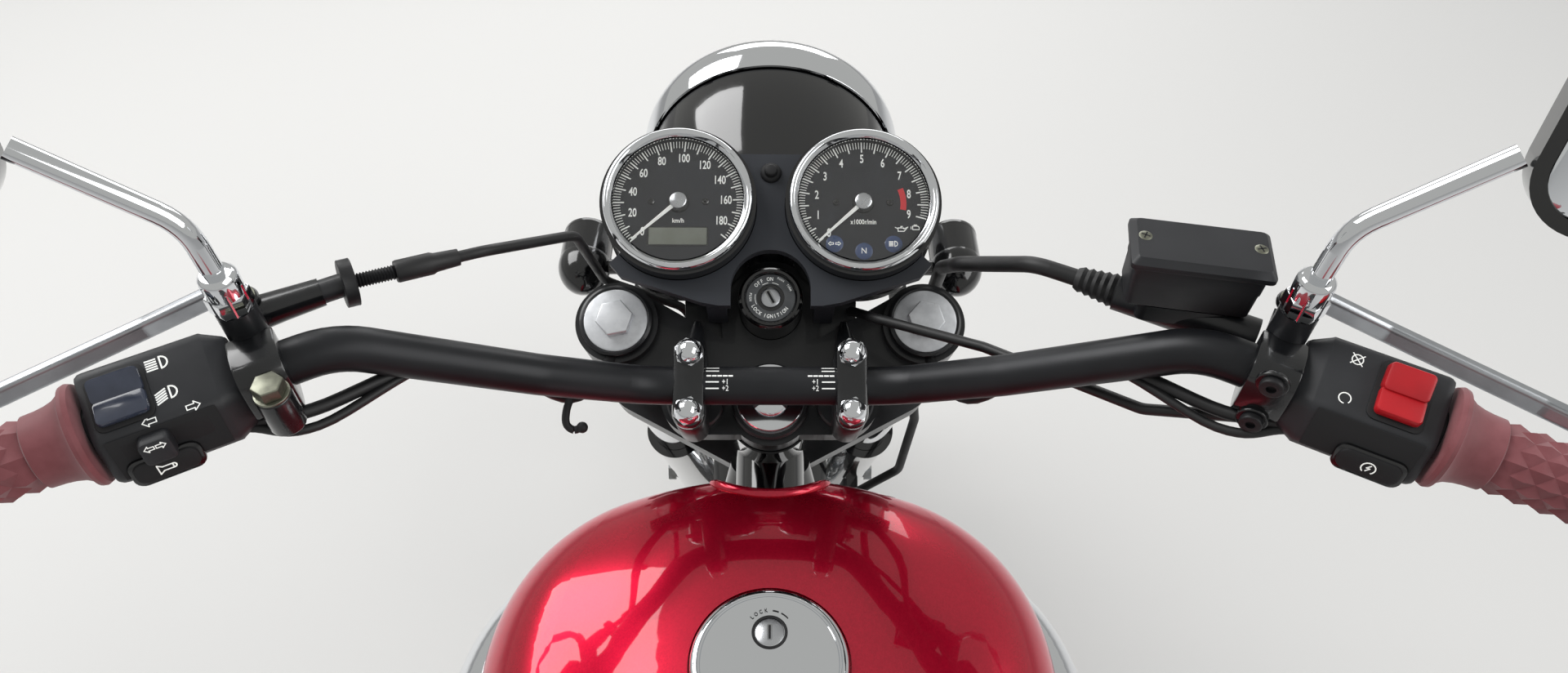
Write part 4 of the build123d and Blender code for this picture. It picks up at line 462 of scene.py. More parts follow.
def facing(spot: Sequence[float], ahead: Point) -> Matrix:
    """A placement whose local Z looks along a direction."""
    return aimed(spot, Vector(spot) + Vector(ahead))


def local(x: float = 0, y: float = 0, z: float = 0, turn: float = 0) -> Matrix:
    """A shift inside another placement, with a turn about local Z in degrees."""
    return Matrix.Translation((x, y, z)) @ Matrix.Rotation(radians(turn), 4, "Z")


# Shapes: each returns a bmesh in millimetres about its own origin

def tidy(shape: Shape) -> Shape:
    """Merge a shape's doubles and point its faces outwards.

    Args:
        shape: The shape, changed in place.

    Returns:
        The same shape.
    """
    bmesh.ops.remove_doubles(shape, verts=shape.verts, dist=1e-4)
    bmesh.ops.recalc_face_normals(shape, faces=shape.faces)
    return shape


def soften(shape: Shape, width: float, picks: Callable[[bmesh.types.BMEdge], bool],
           segments: int = 2) -> Shape:
    """Bevel the edges that a test picks.

    Args:
        shape: The shape, changed in place.
        width: Width of the bevel.
        picks: The test on an edge.
        segments: Steps across the bevel.

    Returns:
        The same shape.
    """
    edges = [edge for edge in shape.edges if picks(edge)]
    if width and edges:
        bmesh.ops.bevel(shape, geom=edges, offset=width, affect="EDGES", segments=segments, profile=0.5,
                        material=-1, clamp_overlap=True)
    return shape


def is_sharp(edge: bmesh.types.BMEdge) -> bool:
    """Whether an edge turns enough to be bevelled."""
    return len(edge.link_faces) == 2 and edge.calc_face_angle() > SHARP


def prism(outline: Sequence[Flat], depth: float, corner: float = 0, edge: float = 0, steps: int = 5) -> Shape:
    """Raise a flat outline into a solid.

    Args:
        outline: Corner points in local X and Y.
        depth: Height along local Z, up from the outline.
        corner: Radius of the upright edges.
        edge: Bevel of the rims.
        steps: Segments of the corners.

    Returns:
        The shape.
    """
    shape = bmesh.new()
    face = shape.faces.new([shape.verts.new((x, y, 0)) for x, y in outline])
    raised = bmesh.ops.extrude_face_region(shape, geom=[face])["geom"]
    bmesh.ops.translate(shape, verts=[v for v in raised if isinstance(v, bmesh.types.BMVert)],
                        vec=(0, 0, depth))
    tidy(shape)
    soften(shape, corner, lambda e: abs(e.verts[0].co.z - e.verts[1].co.z) > abs(depth) / 2, steps)
    soften(shape, edge, lambda e: is_sharp(e) and abs(e.verts[0].co.z - e.verts[1].co.z) < 1e-3, 2)
    return shape


def block(x: float, y: float, z: float, corner: float = 0, edge: float = 0) -> Shape:
    """A block centred across and standing on its origin."""
    return prism(oblong(x, y), z, corner, edge)


def oblong(width: float, height: float) -> list[Flat]:
    """The four corners of a rectangle about its middle."""
    x, y = width / 2, height / 2
    return [(-x, -y), (x, -y), (x, y), (-x, y)]


def drum(radius: float, depth: float, edge: float = 0, sides: int = 40) -> Shape:
    """A round or many-sided solid standing on its origin.

    Args:
        radius: Radius to its corners.
        depth: Height.
        edge: Bevel of the rims.
        sides: Number of sides.

    Returns:
        The shape.
    """
    shape = bmesh.new()
    bmesh.ops.create_cone(shape, cap_ends=True, segments=sides, radius1=radius, radius2=radius, depth=depth)
    bmesh.ops.translate(shape, verts=shape.verts, vec=(0, 0, depth / 2))
    return soften(shape, edge, lambda e: abs(e.verts[0].co.z - e.verts[1].co.z) < 1e-3 and is_sharp(e), 3)


def turned(profile: Sequence[Flat], steps: int = 48, closed: bool = False) -> Shape:
    """Spin a profile of radius and height about local Z.

    Args:
        profile: Points of the section.
        steps: Segments round.
        closed: Whether the section's last point joins its first.

    Returns:
        The shape.
    """
    shape = bmesh.new()
    points = [shape.verts.new((radius, 0, height)) for radius, height in profile]
    edges = [shape.edges.new(pair) for pair in zip(points, points[1:])]
    if closed:
        edges.append(shape.edges.new((points[-1], points[0])))
    bmesh.ops.spin(shape, geom=points + edges, cent=(0, 0, 0), axis=(0, 0, 1), angle=2 * pi, steps=steps,
                   use_merge=True)
    return tidy(shape)


def lofted(rings: Sequence[tuple[Matrix, Sequence[Flat]]]) -> Shape:
    """Skin a solid through placed sections that have the same number of points.

    Args:
        rings: Each section's placement and outline.

    Returns:
        The capped shape.
    """
    shape = bmesh.new()
    place, outline = rings[0]
    loop = [shape.verts.new(place @ Vector((x, y, 0))) for x, y in outline]
    first = shape.faces.new(loop)
    edges = list(first.edges)
    for place, outline in rings[1:]:
        made = bmesh.ops.extrude_edge_only(shape, edges=edges)["geom"]
        edges = [item for item in made if isinstance(item, bmesh.types.BMEdge)]
        following = {}
        for edge in shape.edges:
            for a, b in (edge.verts, reversed(edge.verts)):
                if a in loop and b not in loop and any(b in e.verts for e in edges):
                    following[a] = b
        loop = [following[v] for v in loop]
        for vert, (x, y) in zip(loop, outline):
            vert.co = place @ Vector((x, y, 0))
    shape.faces.new(loop)
    return tidy(shape)


def round_outline(width: float, height: float, power: float = 2.0, count: int = 20) -> list[Flat]:
    """Points of an oval.

    Args:
        width: Its width.
        height: Its height.
        power: 2 for an ellipse; more squares it off.
        count: Number of points.

    Returns:
        The outline.
    """
    points = []
    for number in range(count):
        angle = 2 * pi * number / count
        c, s = cos(angle), sin(angle)
        points.append((width / 2 * abs(c) ** (2 / power) * (1 if c >= 0 else -1),
                       height / 2 * abs(s) ** (2 / power) * (1 if s >= 0 else -1)))
    return points


def smooth_points(points: Sequence[Sequence[float]], per_run: int = 8) -> list[Vector]:
    """Points on a smooth curve through the given ones.

    Args:
        points: The points that the curve passes.
        per_run: Number of points from one to the next.

    Returns:
        The curve's points.
    """
    spots = [Vector(p) for p in points]
    padded = [spots[0] * 2 - spots[1]] + spots + [spots[-1] * 2 - spots[-2]]
    made = []
    for a, b, c, d in zip(padded, padded[1:], padded[2:], padded[3:]):
        for step in range(per_run):
            t = step / per_run
            made.append(0.5 * ((2 * b) + (c - a) * t + (2 * a - 5 * b + 4 * c - d) * t**2
                               + (3 * b - a - 3 * c + d) * t**3))
    return made + [spots[-1]]


def swept(points: Sequence[Vector], sections: Callable[[float], Sequence[Flat]], hint: Vector) -> Shape:
    """Skin a solid along a line.

    Args:
        points: The line's points.
        sections: The outline at a share of the way along.
        hint: A direction that stays local Y's side.

    Returns:
        The capped shape.
    """
    rings = []
    for number, spot in enumerate(points):
        ahead = points[min(number + 1, len(points) - 1)] - points[max(number - 1, 0)]
        z = ahead.normalized()
        x = hint.cross(z).normalized()
        rings.append((axes(spot, x, z.cross(x), z), sections(number / (len(points) - 1))))
    return lofted(rings)


def wire(points: Sequence[Vector], width: float, hint: Vector, sides: int = 12) -> Shape:
    """Skin a round wire of some width along a line."""
    outline = round_outline(width, width, 2, sides)
    return swept(points, lambda share: outline, hint)


def lettering(text: str, size: float, squeeze: float, weight: float = 0.0, depth: float = 0.06) -> Shape:
    """Raised letters centred on their origin.

    Args:
        text: What they say.
        size: Size of the type.
        squeeze: Their width as a share of the plain type's.
        weight: Extra thickness of the strokes as a share of the size.
        depth: How far they rise and sink from their own plane.

    Returns:
        The shape.
    """
    curve = bpy.data.curves.new("letters", "FONT")
    curve.body, curve.size, curve.extrude, curve.offset = text, size, depth, weight * size
    curve.align_x, curve.align_y = "CENTER", "CENTER"
    curve.resolution_u = 3
    holder = bpy.data.objects.new("letters", curve)
    mesh = bpy.data.meshes.new_from_object(holder)
    shape = bmesh.new()
    shape.from_mesh(mesh)
    bpy.data.objects.remove(holder)
    bpy.data.meshes.remove(mesh)
    bpy.data.curves.remove(curve)
    bmesh.ops.scale(shape, verts=shape.verts, vec=(squeeze, 1, 1))
    return tidy(shape)


def poured(shape: Shape, target: Shape, places: Sequence[Matrix] = (HERE,)) -> Shape:
    """Add copies of a shape to another one; the shape is used up.

    Args:
        shape: The shape that is copied.
        target: The shape that takes the copies.
        places: Where they go.

    Returns:
        The target.
    """
    carrier = bpy.data.meshes.new("carrier")
    shape.to_mesh(carrier)
    shape.free()
    for place in places:
        copy = carrier.copy()
        copy.transform(place)
        target.from_mesh(copy)
        bpy.data.meshes.remove(copy)
    bpy.data.meshes.remove(carrier)
    return target


@dataclass
class Piece:
    """One finished object, put together from shapes that share a body.

    Attributes:
        name: The object's name.
        body: The CAD body that it rides on.
        slot: The slot that its main finish belongs to; it is not used.
        replaces: CAD nodes that it stands for.
    """

    name: str
    body: str
    slot: str
    replaces: tuple[str, ...] = ()
    finishes: list[Finish] = field(default_factory=list)
    mesh: Shape = field(default_factory=bmesh.new)

    def add(self, shape: Shape, place: Matrix, finish: Finish) -> None:
        """Lay a shape in the machine's frame.

        Args:
            shape: The shape in millimetres; it is used up.
            place: Where it goes.
            finish: What it is made of.
        """
        if finish not in self.finishes:
            self.finishes.append(finish)
        index = self.finishes.index(finish)
        bmesh.ops.transform(shape, matrix=Matrix.Scale(MM, 4) @ place, verts=shape.verts)
        for face in shape.faces:
            face.material_index = index
            face.smooth = True
        for edge in shape.edges:
            edge.smooth = not (len(edge.link_faces) == 2 and edge.calc_face_angle() > CREASE)
        poured(shape, self.mesh)

    def finish(self) -> bpy.types.Object:
        """Turn the shapes into an object on its body.

        Returns:
            The object.
        """
        data = bpy.data.meshes.new(self.name)
        self.mesh.to_mesh(data)
        self.mesh.free()
        for finish in self.finishes:
            data.materials.append(finish.material())
        made = bpy.data.objects.new(self.name, data)
        bpy.context.scene.collection.objects.link(made)
        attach(made, self.body)
        if self.replaces:
            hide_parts(*self.replaces)
        LOG.info("%s: %d faces on %s", self.name, len(data.polygons), self.body)
        return made


@dataclass
class Studio:
    """The pale floor, soft lamps and the camera at the photograph's angle.

    Attributes:
        eye: The camera's place in millimetres.
        pitch: How far it looks down, in degrees.
        yaw: How far it looks to the rider's right.
        roll: How far its right side is raised.
        focal_px: Focal length in pixels of a picture 1920 wide.
        backdrop: The room's colour to the eye and in gloss.
        room: Strength of the room's own soft light.
        tones: Colours of that light from low to high.
    """

    eye: Point = (0, -58, 1502.5)
    pitch: float = 49.0
    yaw: float = 1.1
    roll: float = 1.0
    focal_px: float = 1310.0
    backdrop: str = "#b9b9b6"
    room: float = 0.56
    tones: tuple[str, str] = ("#c9c8c5", "#f4f6fa")

    def camera(self) -> None:
        """Place the camera."""
        data = bpy.data.cameras.new("viewpoint")
        data.sensor_width = 36
        data.lens = self.focal_px / 1920 * 36
        data.clip_start = 0.02
        made = bpy.data.objects.new("viewpoint", data)
        p, w = radians(self.pitch), radians(self.yaw)
        look = Vector((sin(w) * cos(p), cos(w) * cos(p), -sin(p)))
        right = look.cross(SKY).normalized()
        above = right.cross(look)
        made.matrix_world = axes(Vector(self.eye) * MM, right, above, -look) @ local(turn=self.roll)
        bpy.context.scene.collection.objects.link(made)
        bpy.context.scene.camera = made

    def floor(self) -> None:
        """Lay the pale floor."""
        shape = bmesh.new()
        bmesh.ops.create_grid(shape, x_segments=2, y_segments=2, size=14)
        data = bpy.data.meshes.new("floor")
        shape.to_mesh(data)
        shape.free()
        data.materials.append(PALE_FLOOR.material())
        made = bpy.data.objects.new("floor", data)
        bpy.context.scene.collection.objects.link(made)

    def lamp(self, name: str, place: Point, target: Point, size: Flat, power: float) -> None:
        """Hang one soft lamp.

        Args:
            name: The lamp's name.
            place: Where it hangs, in metres.
            target: Where it points, in metres.
            size: Width and height of its face, in metres.
            power: Its power in watts.
        """
        data = bpy.data.lights.new(name, "AREA")
        data.shape = "RECTANGLE"
        data.size, data.size_y = size
        data.energy = power
        made = bpy.data.objects.new(name, data)
        z = (Vector(place) - Vector(target)).normalized()
        x = Vector((0, 1, 0)).cross(z).normalized() if abs(z.y) < 0.98 else ACROSS
        made.matrix_world = axes(Vector(place), x, z.cross(x), z)
        bpy.context.scene.collection.objects.link(made)

    def light(self) -> None:
        """Light the object softly from above, with a gentle key from the front left."""
        self.lamp("key", (-2.4, 1.6, 3.4), (0, 0.2, 0.8), (2.4, 2.4), 96)
        self.lamp("fill", (2.8, -0.6, 2.8), (0, 0.1, 0.8), (2.0, 3.0), 48)
        self.lamp("back", (0.2, 4.2, 2.2), (0, 0.4, 0.9), (3.4, 1.6), 46)
        world = bpy.data.worlds.new("soft_room")
        world.use_nodes = True
        tree = world.node_tree
        soft = tree.nodes["Background"]
        soft.inputs["Strength"].default_value = self.room
        coords = add_node(tree, "ShaderNodeTexCoord").outputs["Generated"]
        height = add_node(tree, "ShaderNodeSeparateXYZ", links={0: coords}).outputs["Z"]
        ramp = add_node(tree, "ShaderNodeValToRGB", links={"Fac": height})
        for element, tone in zip(ramp.color_ramp.elements, self.tones):
            element.color = linear(tone)
        ramp.color_ramp.elements[1].position = 0.7
        tree.links.new(ramp.outputs["Color"], soft.inputs["Color"])
        seen = add_node(tree, "ShaderNodeBackground", {"Color": linear(self.backdrop), "Strength": 1.0})
        path = add_node(tree, "ShaderNodeLightPath").outputs
        ray = path["Is Camera Ray"]
        for kind in ("Is Glossy Ray", "Is Transmission Ray"):
            ray = add_node(tree, "ShaderNodeMath", {"operation": "MAXIMUM"},
                           {0: ray, 1: path[kind]}).outputs[0]
        both = add_node(tree, "ShaderNodeMixShader", links={0: ray, 1: soft.outputs[0], 2: seen.outputs[0]})
        tree.links.new(both.outputs[0], tree.nodes["World Output"].inputs["Surface"])
        bpy.context.scene.world = world

    def build(self) -> None:
        """Build the whole studio."""
        bpy.context.scene.view_settings.view_transform = "Standard"
        self.floor()
        self.light()
        self.camera()


def arc(radius: float, start: float, end: float, centre: Flat = (0, 0), count: int = 10) -> list[Flat]:
    """Points along an arc between two angles in degrees."""
    angles = [radians(start + (end - start) * number / count) for number in range(count + 1)]
    return [(centre[0] + radius * cos(a), centre[1] + radius * sin(a)) for a in angles]


def rounded(corners: Sequence[Flat], radius: float, steps: int = 4) -> list[Flat]:
    """Round the corners of an outline.

    Args:
        corners: The outline's corners.
        radius: About how far the rounding reaches.
        steps: Number of runs round each corner.

    Returns:
        The rounded outline.
    """
    points = []
    for before, here, after in zip([corners[-1], *corners[:-1]], corners, [*corners[1:], corners[0]]):
        middle = Vector(here)
        ends = []
        for other in (before, after):
            run = Vector(other) - middle
            ends.append(middle + run.normalized() * min(radius, run.length * 0.45))
        for step in range(steps + 1):
            t = step / steps
            spot = ends[0] * (1 - t) ** 2 + middle * 2 * t * (1 - t) + ends[1] * t**2
            points.append((spot.x, spot.y))
    return points


def strokes(lines: Sequence[Sequence[Flat]], width: float, depth: float = 0.16) -> Shape:
    """Thin raised strips along flat lines, for a printed mark.

    Args:
        lines: The lines' points.
        width: Width of a strip.
        depth: Thickness of the print.

    Returns:
        The shape.
    """
    shape = bmesh.new()
    for line in lines:
        for start, end in zip(line, line[1:]):
            run = Vector(end) - Vector(start)
            middle = (Vector(end) + Vector(start)) / 2
            made = bmesh.ops.create_cube(shape, size=1)["verts"]
            bmesh.ops.scale(shape, verts=made, vec=(run.length + width * 0.7, width, depth))
            bmesh.ops.rotate(shape, verts=made, cent=(0, 0, 0),
                             matrix=Matrix.Rotation(atan2(run.y, run.x), 3, "Z"))
            bmesh.ops.translate(shape, verts=made, vec=(middle.x, middle.y, 0))
    return shape


def cross_recess_shade(reach: float, width: float, depth: float) -> Shape:
    """Dark raised strips in a cross on a screw's head, reaching out from its middle: painted shade that
    stands for the cross recess.
    """
    return strokes([[(-reach, 0), (reach, 0)], [(0, -reach), (0, reach)]], width, depth)


def hexagon_bolt(across: float, head: float, washer: float) -> Shape:
    """A bolt's six-sided head with its rim turned down, on a washer.

    Args:
        across: Width over the corners.
        head: Height of the head.
        washer: Radius of the washer.

    Returns:
        The shape.
    """
    shape = drum(across / 2, head, across * 0.05, 6)
    bmesh.ops.translate(shape, verts=shape.verts, vec=(0, 0, WASHER))
    return poured(drum(washer, WASHER, 0.3, 28), shape)


def socket_bolt(radius: float, head: float) -> Shape:
    """A round bolt head with a socket sunk into it.

    Args:
        radius: Radius of the head.
        head: Its height.

    Returns:
        The shape.
    """
    shape = drum(radius, head, radius * 0.12, 28)
    top = max(shape.faces, key=lambda face: face.calc_center_median().z)
    bmesh.ops.inset_region(shape, faces=[top], thickness=radius * 0.46)
    sunk = bmesh.ops.extrude_face_region(shape, geom=[top])["geom"]
    bmesh.ops.translate(shape, verts=[v for v in sunk if isinstance(v, bmesh.types.BMVert)],
                        vec=(0, 0, -head * 0.6))
    bmesh.ops.delete(shape, geom=[top], context="FACES_ONLY")
    return shape


class Mark(Enum):
    """The small generic signs printed on the controls and in the instruments."""

    MAIN_BEAM = "main_beam"
    DIPPED = "dipped"
    LEFT = "left"
    RIGHT = "right"
    HORN = "horn"
    RUN = "run"
    OFF = "off"
    START = "start"
    OIL = "oil"
    ENGINE = "engine"

    def lines(self) -> list[list[Flat]]:
        """Draw the sign about two units across.

        Returns:
            The points of each of its lines.
        """
        arrow = [(-1, 0), (-0.2, 0.75), (-0.2, 0.35), (0.9, 0.35), (0.9, -0.35), (-0.2, -0.35), (-0.2, -0.75),
                 (-1, 0)]
        bowl = arc(0.6, -90, 90, (0.25, 0)) + [(0.25, -0.6)]
        if self in (Mark.MAIN_BEAM, Mark.DIPPED):
            drop = 0.0 if self is Mark.MAIN_BEAM else 0.35
            rays = [[(-0.1, 0.5 - 0.25 * n), (-1, 0.5 - 0.25 * n - drop)] for n in range(5)]
            return [bowl, *rays]
        signs = {
            Mark.LEFT: [arrow],
            Mark.RIGHT: [[(-x, y) for x, y in arrow]],
            Mark.HORN: [[(-1, 0.65), (-1, -0.65), (-0.5, -0.3), (0.6, -0.3), (0.6, 0.3), (-0.5, 0.3),
                         (-1, 0.65)], arc(0.3, -90, 90, (0.65, 0))],
            Mark.RUN: [arc(0.8, -40, 270, count=18)],
            Mark.OFF: [arc(0.75, 0, 360, count=18), [(-0.8, 0.8), (0.8, -0.8)], [(-0.8, -0.8), (0.8, 0.8)]],
            Mark.START: [arc(0.85, -50, 230, count=18), [(0.2, 0.5), (-0.2, 0), (0.2, 0), (-0.2, -0.5)]],
            Mark.OIL: [[(-0.55, 0.15), (-0.55, -0.4), (0.4, -0.4), (1, 0.3), (0.4, 0.0), (0.3, 0.15),
                        (-0.55, 0.15)],
                       [(-0.1, 0.15), (-0.1, 0.4), (0.15, 0.4)], [(-0.55, 0), (-1, 0.25)]],
            Mark.ENGINE: [[(-0.6, 0.35), (0.5, 0.35), (0.8, 0.1), (0.8, -0.45), (-0.6, -0.45), (-0.6, 0.35)],
                          [(-0.3, 0.6), (0.3, 0.6)], [(0, 0.35), (0, 0.6)], [(-0.95, 0.2), (-0.95, -0.3)]],
        }
        return signs[self]

    def shape(self, width: float, line: float = 0.09) -> Shape:
        """The sign as raised strips; line is their thickness as a share of the sign's width."""
        half = width / 2
        return strokes([[(x * half, y * half) for x, y in run] for run in self.lines()], line * width)


@dataclass
class Gauges:
    """The two round instruments: chrome rims, printed faces, needles, hubs and the reset button between them.

    Attributes:
        face_up: Height of the printed face along the steering axis.
        tick_r: Outer radius of the scales.
        number_r: Radius that the numbers stand on.
        number_size: Height of the type.
        needle_r: Radius of the needle's tip.
        zeros: Angle of each scale's zero, left then right, in degrees.
        steps: Angle from one short mark to the next.
        counts: Number of marks after zero.
    """

    face_up: float = 808.6
    tick_r: float = 39.4
    number_r: float = 28.4
    number_size: float = 7.6
    needle_r: float = 36.5
    zeros: Flat = (221.6, 222.7)
    steps: Flat = (2.735, 2.64)
    counts: tuple[int, int] = (95, 90)

    def face(self, side: int) -> Matrix:
        """The placement of one printed face."""
        return fork(side * GAUGE_X, GAUGE_AHEAD, self.face_up)

    def scale(self, piece: Piece, side: int, names: Sequence[str]) -> None:
        """Print one scale.

        Args:
            piece: The piece that it belongs to.
            side: -1 for the speedometer, 1 for the rev counter.
            names: The numbers, one at every tenth mark.
        """
        which = (side + 1) // 2
        for number in range(self.counts[which] + 1):
            angle = radians(self.zeros[which] - self.steps[which] * number)
            long = number % 5 == 0
            length, width = (6.6, 0.8) if long else (4.3, 0.42)
            middle = self.tick_r - length / 2
            spot = local(middle * cos(angle), middle * sin(angle), 0, degrees(angle))
            piece.add(block(length, width, 0.12), self.face(side) @ spot, WHITE_PRINT_PAINTED_GLOW)
            if number % 10 == 0:
                spot = local(self.number_r * cos(angle), self.number_r * sin(angle), 0.06)
                piece.add(lettering(names[number // 10], self.number_size, 0.66, 0.016),
                          self.face(side) @ spot, WHITE_PRINT_PAINTED_GLOW)

    def hands(self, piece: Piece, side: int) -> None:
        """Set the needle at zero, its hub over a dark disc painted as the hub's shadow, and the face's two
        screws.

        Args:
            piece: The piece that they belong to.
            side: -1 for the speedometer, 1 for the rev counter.
        """
        zero = self.zeros[(side + 1) // 2]
        needle = prism([(2, -1.3), (self.needle_r, -0.55), (self.needle_r, 0.55), (2, 1.3)], 0.5, 0, 0.12)
        piece.add(needle, self.face(side) @ local(z=2.2, turn=zero), WHITE_PRINT_PAINTED_GLOW)
        # A glossy black disc under the hub: painted shadow that the hub casts on the face.
        piece.add(turned([(0, 1.6), (6.2, 1.4), (6.6, 0), (0, 0)]), self.face(side), GLOSS_ABS_AND_SHADOW)
        hub = [(0, 4.7), (4.3, 4.7), (5.1, 4.1), (5.3, 1.5), (0, 1.5)]
        piece.add(turned(hub, 56), self.face(side), SILVER)
        for across in SIDES:
            screw = self.face(side) @ local(across * 16.2, 0.4)
            piece.add(turned([(0, 0.5), (1.0, 0.6), (1.8, 0.9), (2.1, 0.5), (2.2, 0), (0, 0)], 20), screw,
                      GLOSS_ABS_AND_SHADOW)
            # The screw's dark cross is painted shade for its recess.
            piece.add(cross_recess_shade(1.1, 0.35, 0.16), screw @ local(z=0.75), SOFT_BLACK_AND_SHADE)

    def rim(self, side: int) -> None:
        """Turn one chrome rim.

        Args:
            side: -1 for the speedometer, 1 for the rev counter.
        """
        section = [(39.1, 813.7), (39.1, 815.6), (39.8, 817.2), (41.0, 818.0), (41.5, 818.8), (42.4, 819.25),
                   (43.5, 819.1), (44.5, 818.1), (45.0, 816.4), (45.0, 813.7)]
        piece = Piece("speedometer_rim" if side < 0 else "rev_counter_rim", "steering", "gauge_bezels",
                      ("gauge_bezels",))
        piece.add(turned(section, 144, True), fork(side * GAUGE_X, GAUGE_AHEAD, 0), CHROME)
        piece.finish()

    def dial(self, name: str, side: int, step: int) -> Piece:
        """Print a dial's card and scale, and set its needle.

        Args:
            name: The piece's name.
            side: -1 for the speedometer, 1 for the rev counter.
            step: What the scale counts from one number to the next.

        Returns:
            The piece, not finished yet.
        """
        piece = Piece(name, "steering", "gauge_cups")
        piece.add(drum(40.8, 3.1, 0, 96), self.face(side) @ local(z=-3.1), DIAL_BLACK)
        self.scale(piece, side, [str(step * number) for number in range(10)])
        self.hands(piece, side)
        return piece

    def speedometer(self) -> None:
        """Print the speedometer with its window."""
        piece, face = self.dial("speedometer_face", -1, 20), self.face(-1)
        piece.add(lettering("km/h", 4.0, 0.9, 0.012), face @ local(0, -11.8, 0.06), WHITE_PRINT_PAINTED_GLOW)
        piece.add(block(36.5, 12.4, 0.3, 0.8, 0.12), face @ local(0, -21.6), GLOSS_ABS_AND_SHADOW)
        piece.add(block(34.6, 10.6, 0.42, 0.4, 0.08), face @ local(0, -21.6), LCD)
        piece.finish()

    def rev_counter(self) -> None:
        """Print the rev counter with its red sector and tell-tale lamps."""
        piece, face = self.dial("rev_counter_face", 1, 1), self.face(1)
        band = arc(22.6, -10, 22, count=12) + list(reversed(arc(26.2, -10, 22, count=12)))
        piece.add(prism(band, 0.12), face, RED_PRINT_PAINTED_GLOW)
        piece.add(lettering("x1000r/min", 4.3, 0.78, 0.012), face @ local(0, -12.2, 0.06), WHITE_PRINT_PAINTED_GLOW)
        lamps = ((-17.6, -26.0, 0), (0, -30.6, 1), (17.8, -26.0, 2))
        for x, y, kind in lamps:
            piece.add(turned([(0, 0.5), (4.6, 0.45), (5.3, 0), (0, 0)], 36), face @ local(x, y), LAMP_BLUE)
            sign = face @ local(x, y, 0.55)
            if kind == 0:
                for mark, shift in ((Mark.LEFT, -2.1), (Mark.RIGHT, 2.1)):
                    piece.add(mark.shape(3.2, 0.12), sign @ local(shift), WHITE_PRINT_PAINTED_GLOW)
            elif kind == 1:
                piece.add(lettering("N", 5.2, 0.9), sign, WHITE_PRINT_PAINTED_GLOW)
            else:
                piece.add(Mark.MAIN_BEAM.shape(5.4), sign, WHITE_PRINT_PAINTED_GLOW)
        piece.add(Mark.OIL.shape(7.6, 0.07), face @ local(22.8, -16.4, 0.06), WHITE_PRINT_PAINTED_GLOW)
        piece.add(Mark.ENGINE.shape(5.6), face @ local(31.2, -15.6, 0.06), WHITE_PRINT_PAINTED_GLOW)
        piece.finish()

    def reset_button(self) -> None:
        """Stand the rubber reset button between the instruments."""
        piece = Piece("reset_button", "steering", "gauge_panel")
        section = [(0, 6.4), (2.6, 6.3), (3.5, 5.7), (3.9, 4.6), (4.1, 2.6), (5.4, 2.2), (6.3, 1.3), (6.5, 0),
                   (0, 0)]
        piece.add(turned(section, 40), fork(0, 134.5, 803), SOFT_BLACK_AND_SHADE)
        piece.finish()

    def build(self) -> None:
        """Build both instruments."""
        for side in SIDES:
            self.rim(side)
        self.speedometer()
        self.rev_counter()
        self.reset_button()


@dataclass
class IgnitionLock:
    """The lock's soft lip, its lettered ring and the key barrel.

    Attributes:
        ahead: Distance ahead of the steering axis.
        top: Height of the housing's flat top.
        ring_r: Outer radius of the lettered ring.
        key_turn: Angle of the key's slot in degrees.
    """

    ahead: float = 61.0
    top: float = 781.3
    ring_r: float = 15.0
    key_turn: float = 118.0

    def word(self, piece: Piece, text: str, size: float, radius: float, middle: float,
             heads_out: bool) -> None:
        """Print a word round the ring.

        Args:
            piece: The piece that it belongs to.
            text: The word.
            size: Size of the type.
            radius: Radius that the letters stand on.
            middle: Angle of the word's middle in degrees.
            heads_out: Whether the letters' heads point outwards.
        """
        step = degrees(size * 0.64 / radius)
        for number, letter in enumerate(text):
            shift = (number - (len(text) - 1) / 2) * step
            angle = middle - shift if heads_out else middle + shift
            spot = local(radius * cos(radians(angle)), radius * sin(radians(angle)), 0.75,
                         angle - 90 if heads_out else angle + 90)
            piece.add(lettering(letter, size, 0.8, 0.015), fork(0, self.ahead, self.top) @ spot, WHITE_PRINT_PAINTED_GLOW)

    def build(self) -> None:
        """Build the lock's face."""
        piece = Piece("ignition_lock_face", "steering", "ignition_lock")
        place = fork(0, self.ahead, self.top)
        lip = [(15.2, 0), (15.4, 1.3), (16.4, 2.3), (18.0, 2.4), (19.3, 1.4), (19.95, 0)]
        piece.add(turned(lip, 96, True), place, GLOSS_ABS_AND_SHADOW)
        piece.add(turned([(8.6, 0), (8.6, 0.7), (self.ring_r, 0.7), (self.ring_r, 0)], 80, True), place,
                  ETCHED_RING)
        piece.add(turned([(0, 2.3), (5.2, 2.3), (6.2, 1.7), (6.4, 0), (0, 0)], 56), place, SILVER)
        slot = place @ local(z=2.32, turn=self.key_turn)
        piece.add(block(9.4, 3.2, 0.12, 0.9), slot, ZINC)
        # A black strip on the barrel: painted shade where the keyway opens.
        piece.add(block(8.4, 1.5, 0.2, 0.5), slot, SOFT_BLACK_AND_SHADE)
        for text, size, radius, middle, heads_out in (
                ("OFF", 3.3, 11.9, 128, True), ("ON", 3.3, 11.9, 92, True), ("PUSH", 1.9, 13.2, 62, True),
                ("TURN", 1.9, 13.2, 30, True), ("PUSH", 2.2, 12.6, 178, False),
                ("LOCK", 3.3, 12.0, 222, False), ("IGNITION", 3.3, 12.0, 288, False)):
            self.word(piece, text, size, radius, middle, heads_out)
        piece.add(strokes([arc(9.6, 100, 122, count=6), arc(9.6, 60, 84, count=6),
                           arc(9.6, 168, 206, count=8)], 0.3),
                  place @ local(z=0.72), WHITE_PRINT_PAINTED_GLOW)
        piece.finish()


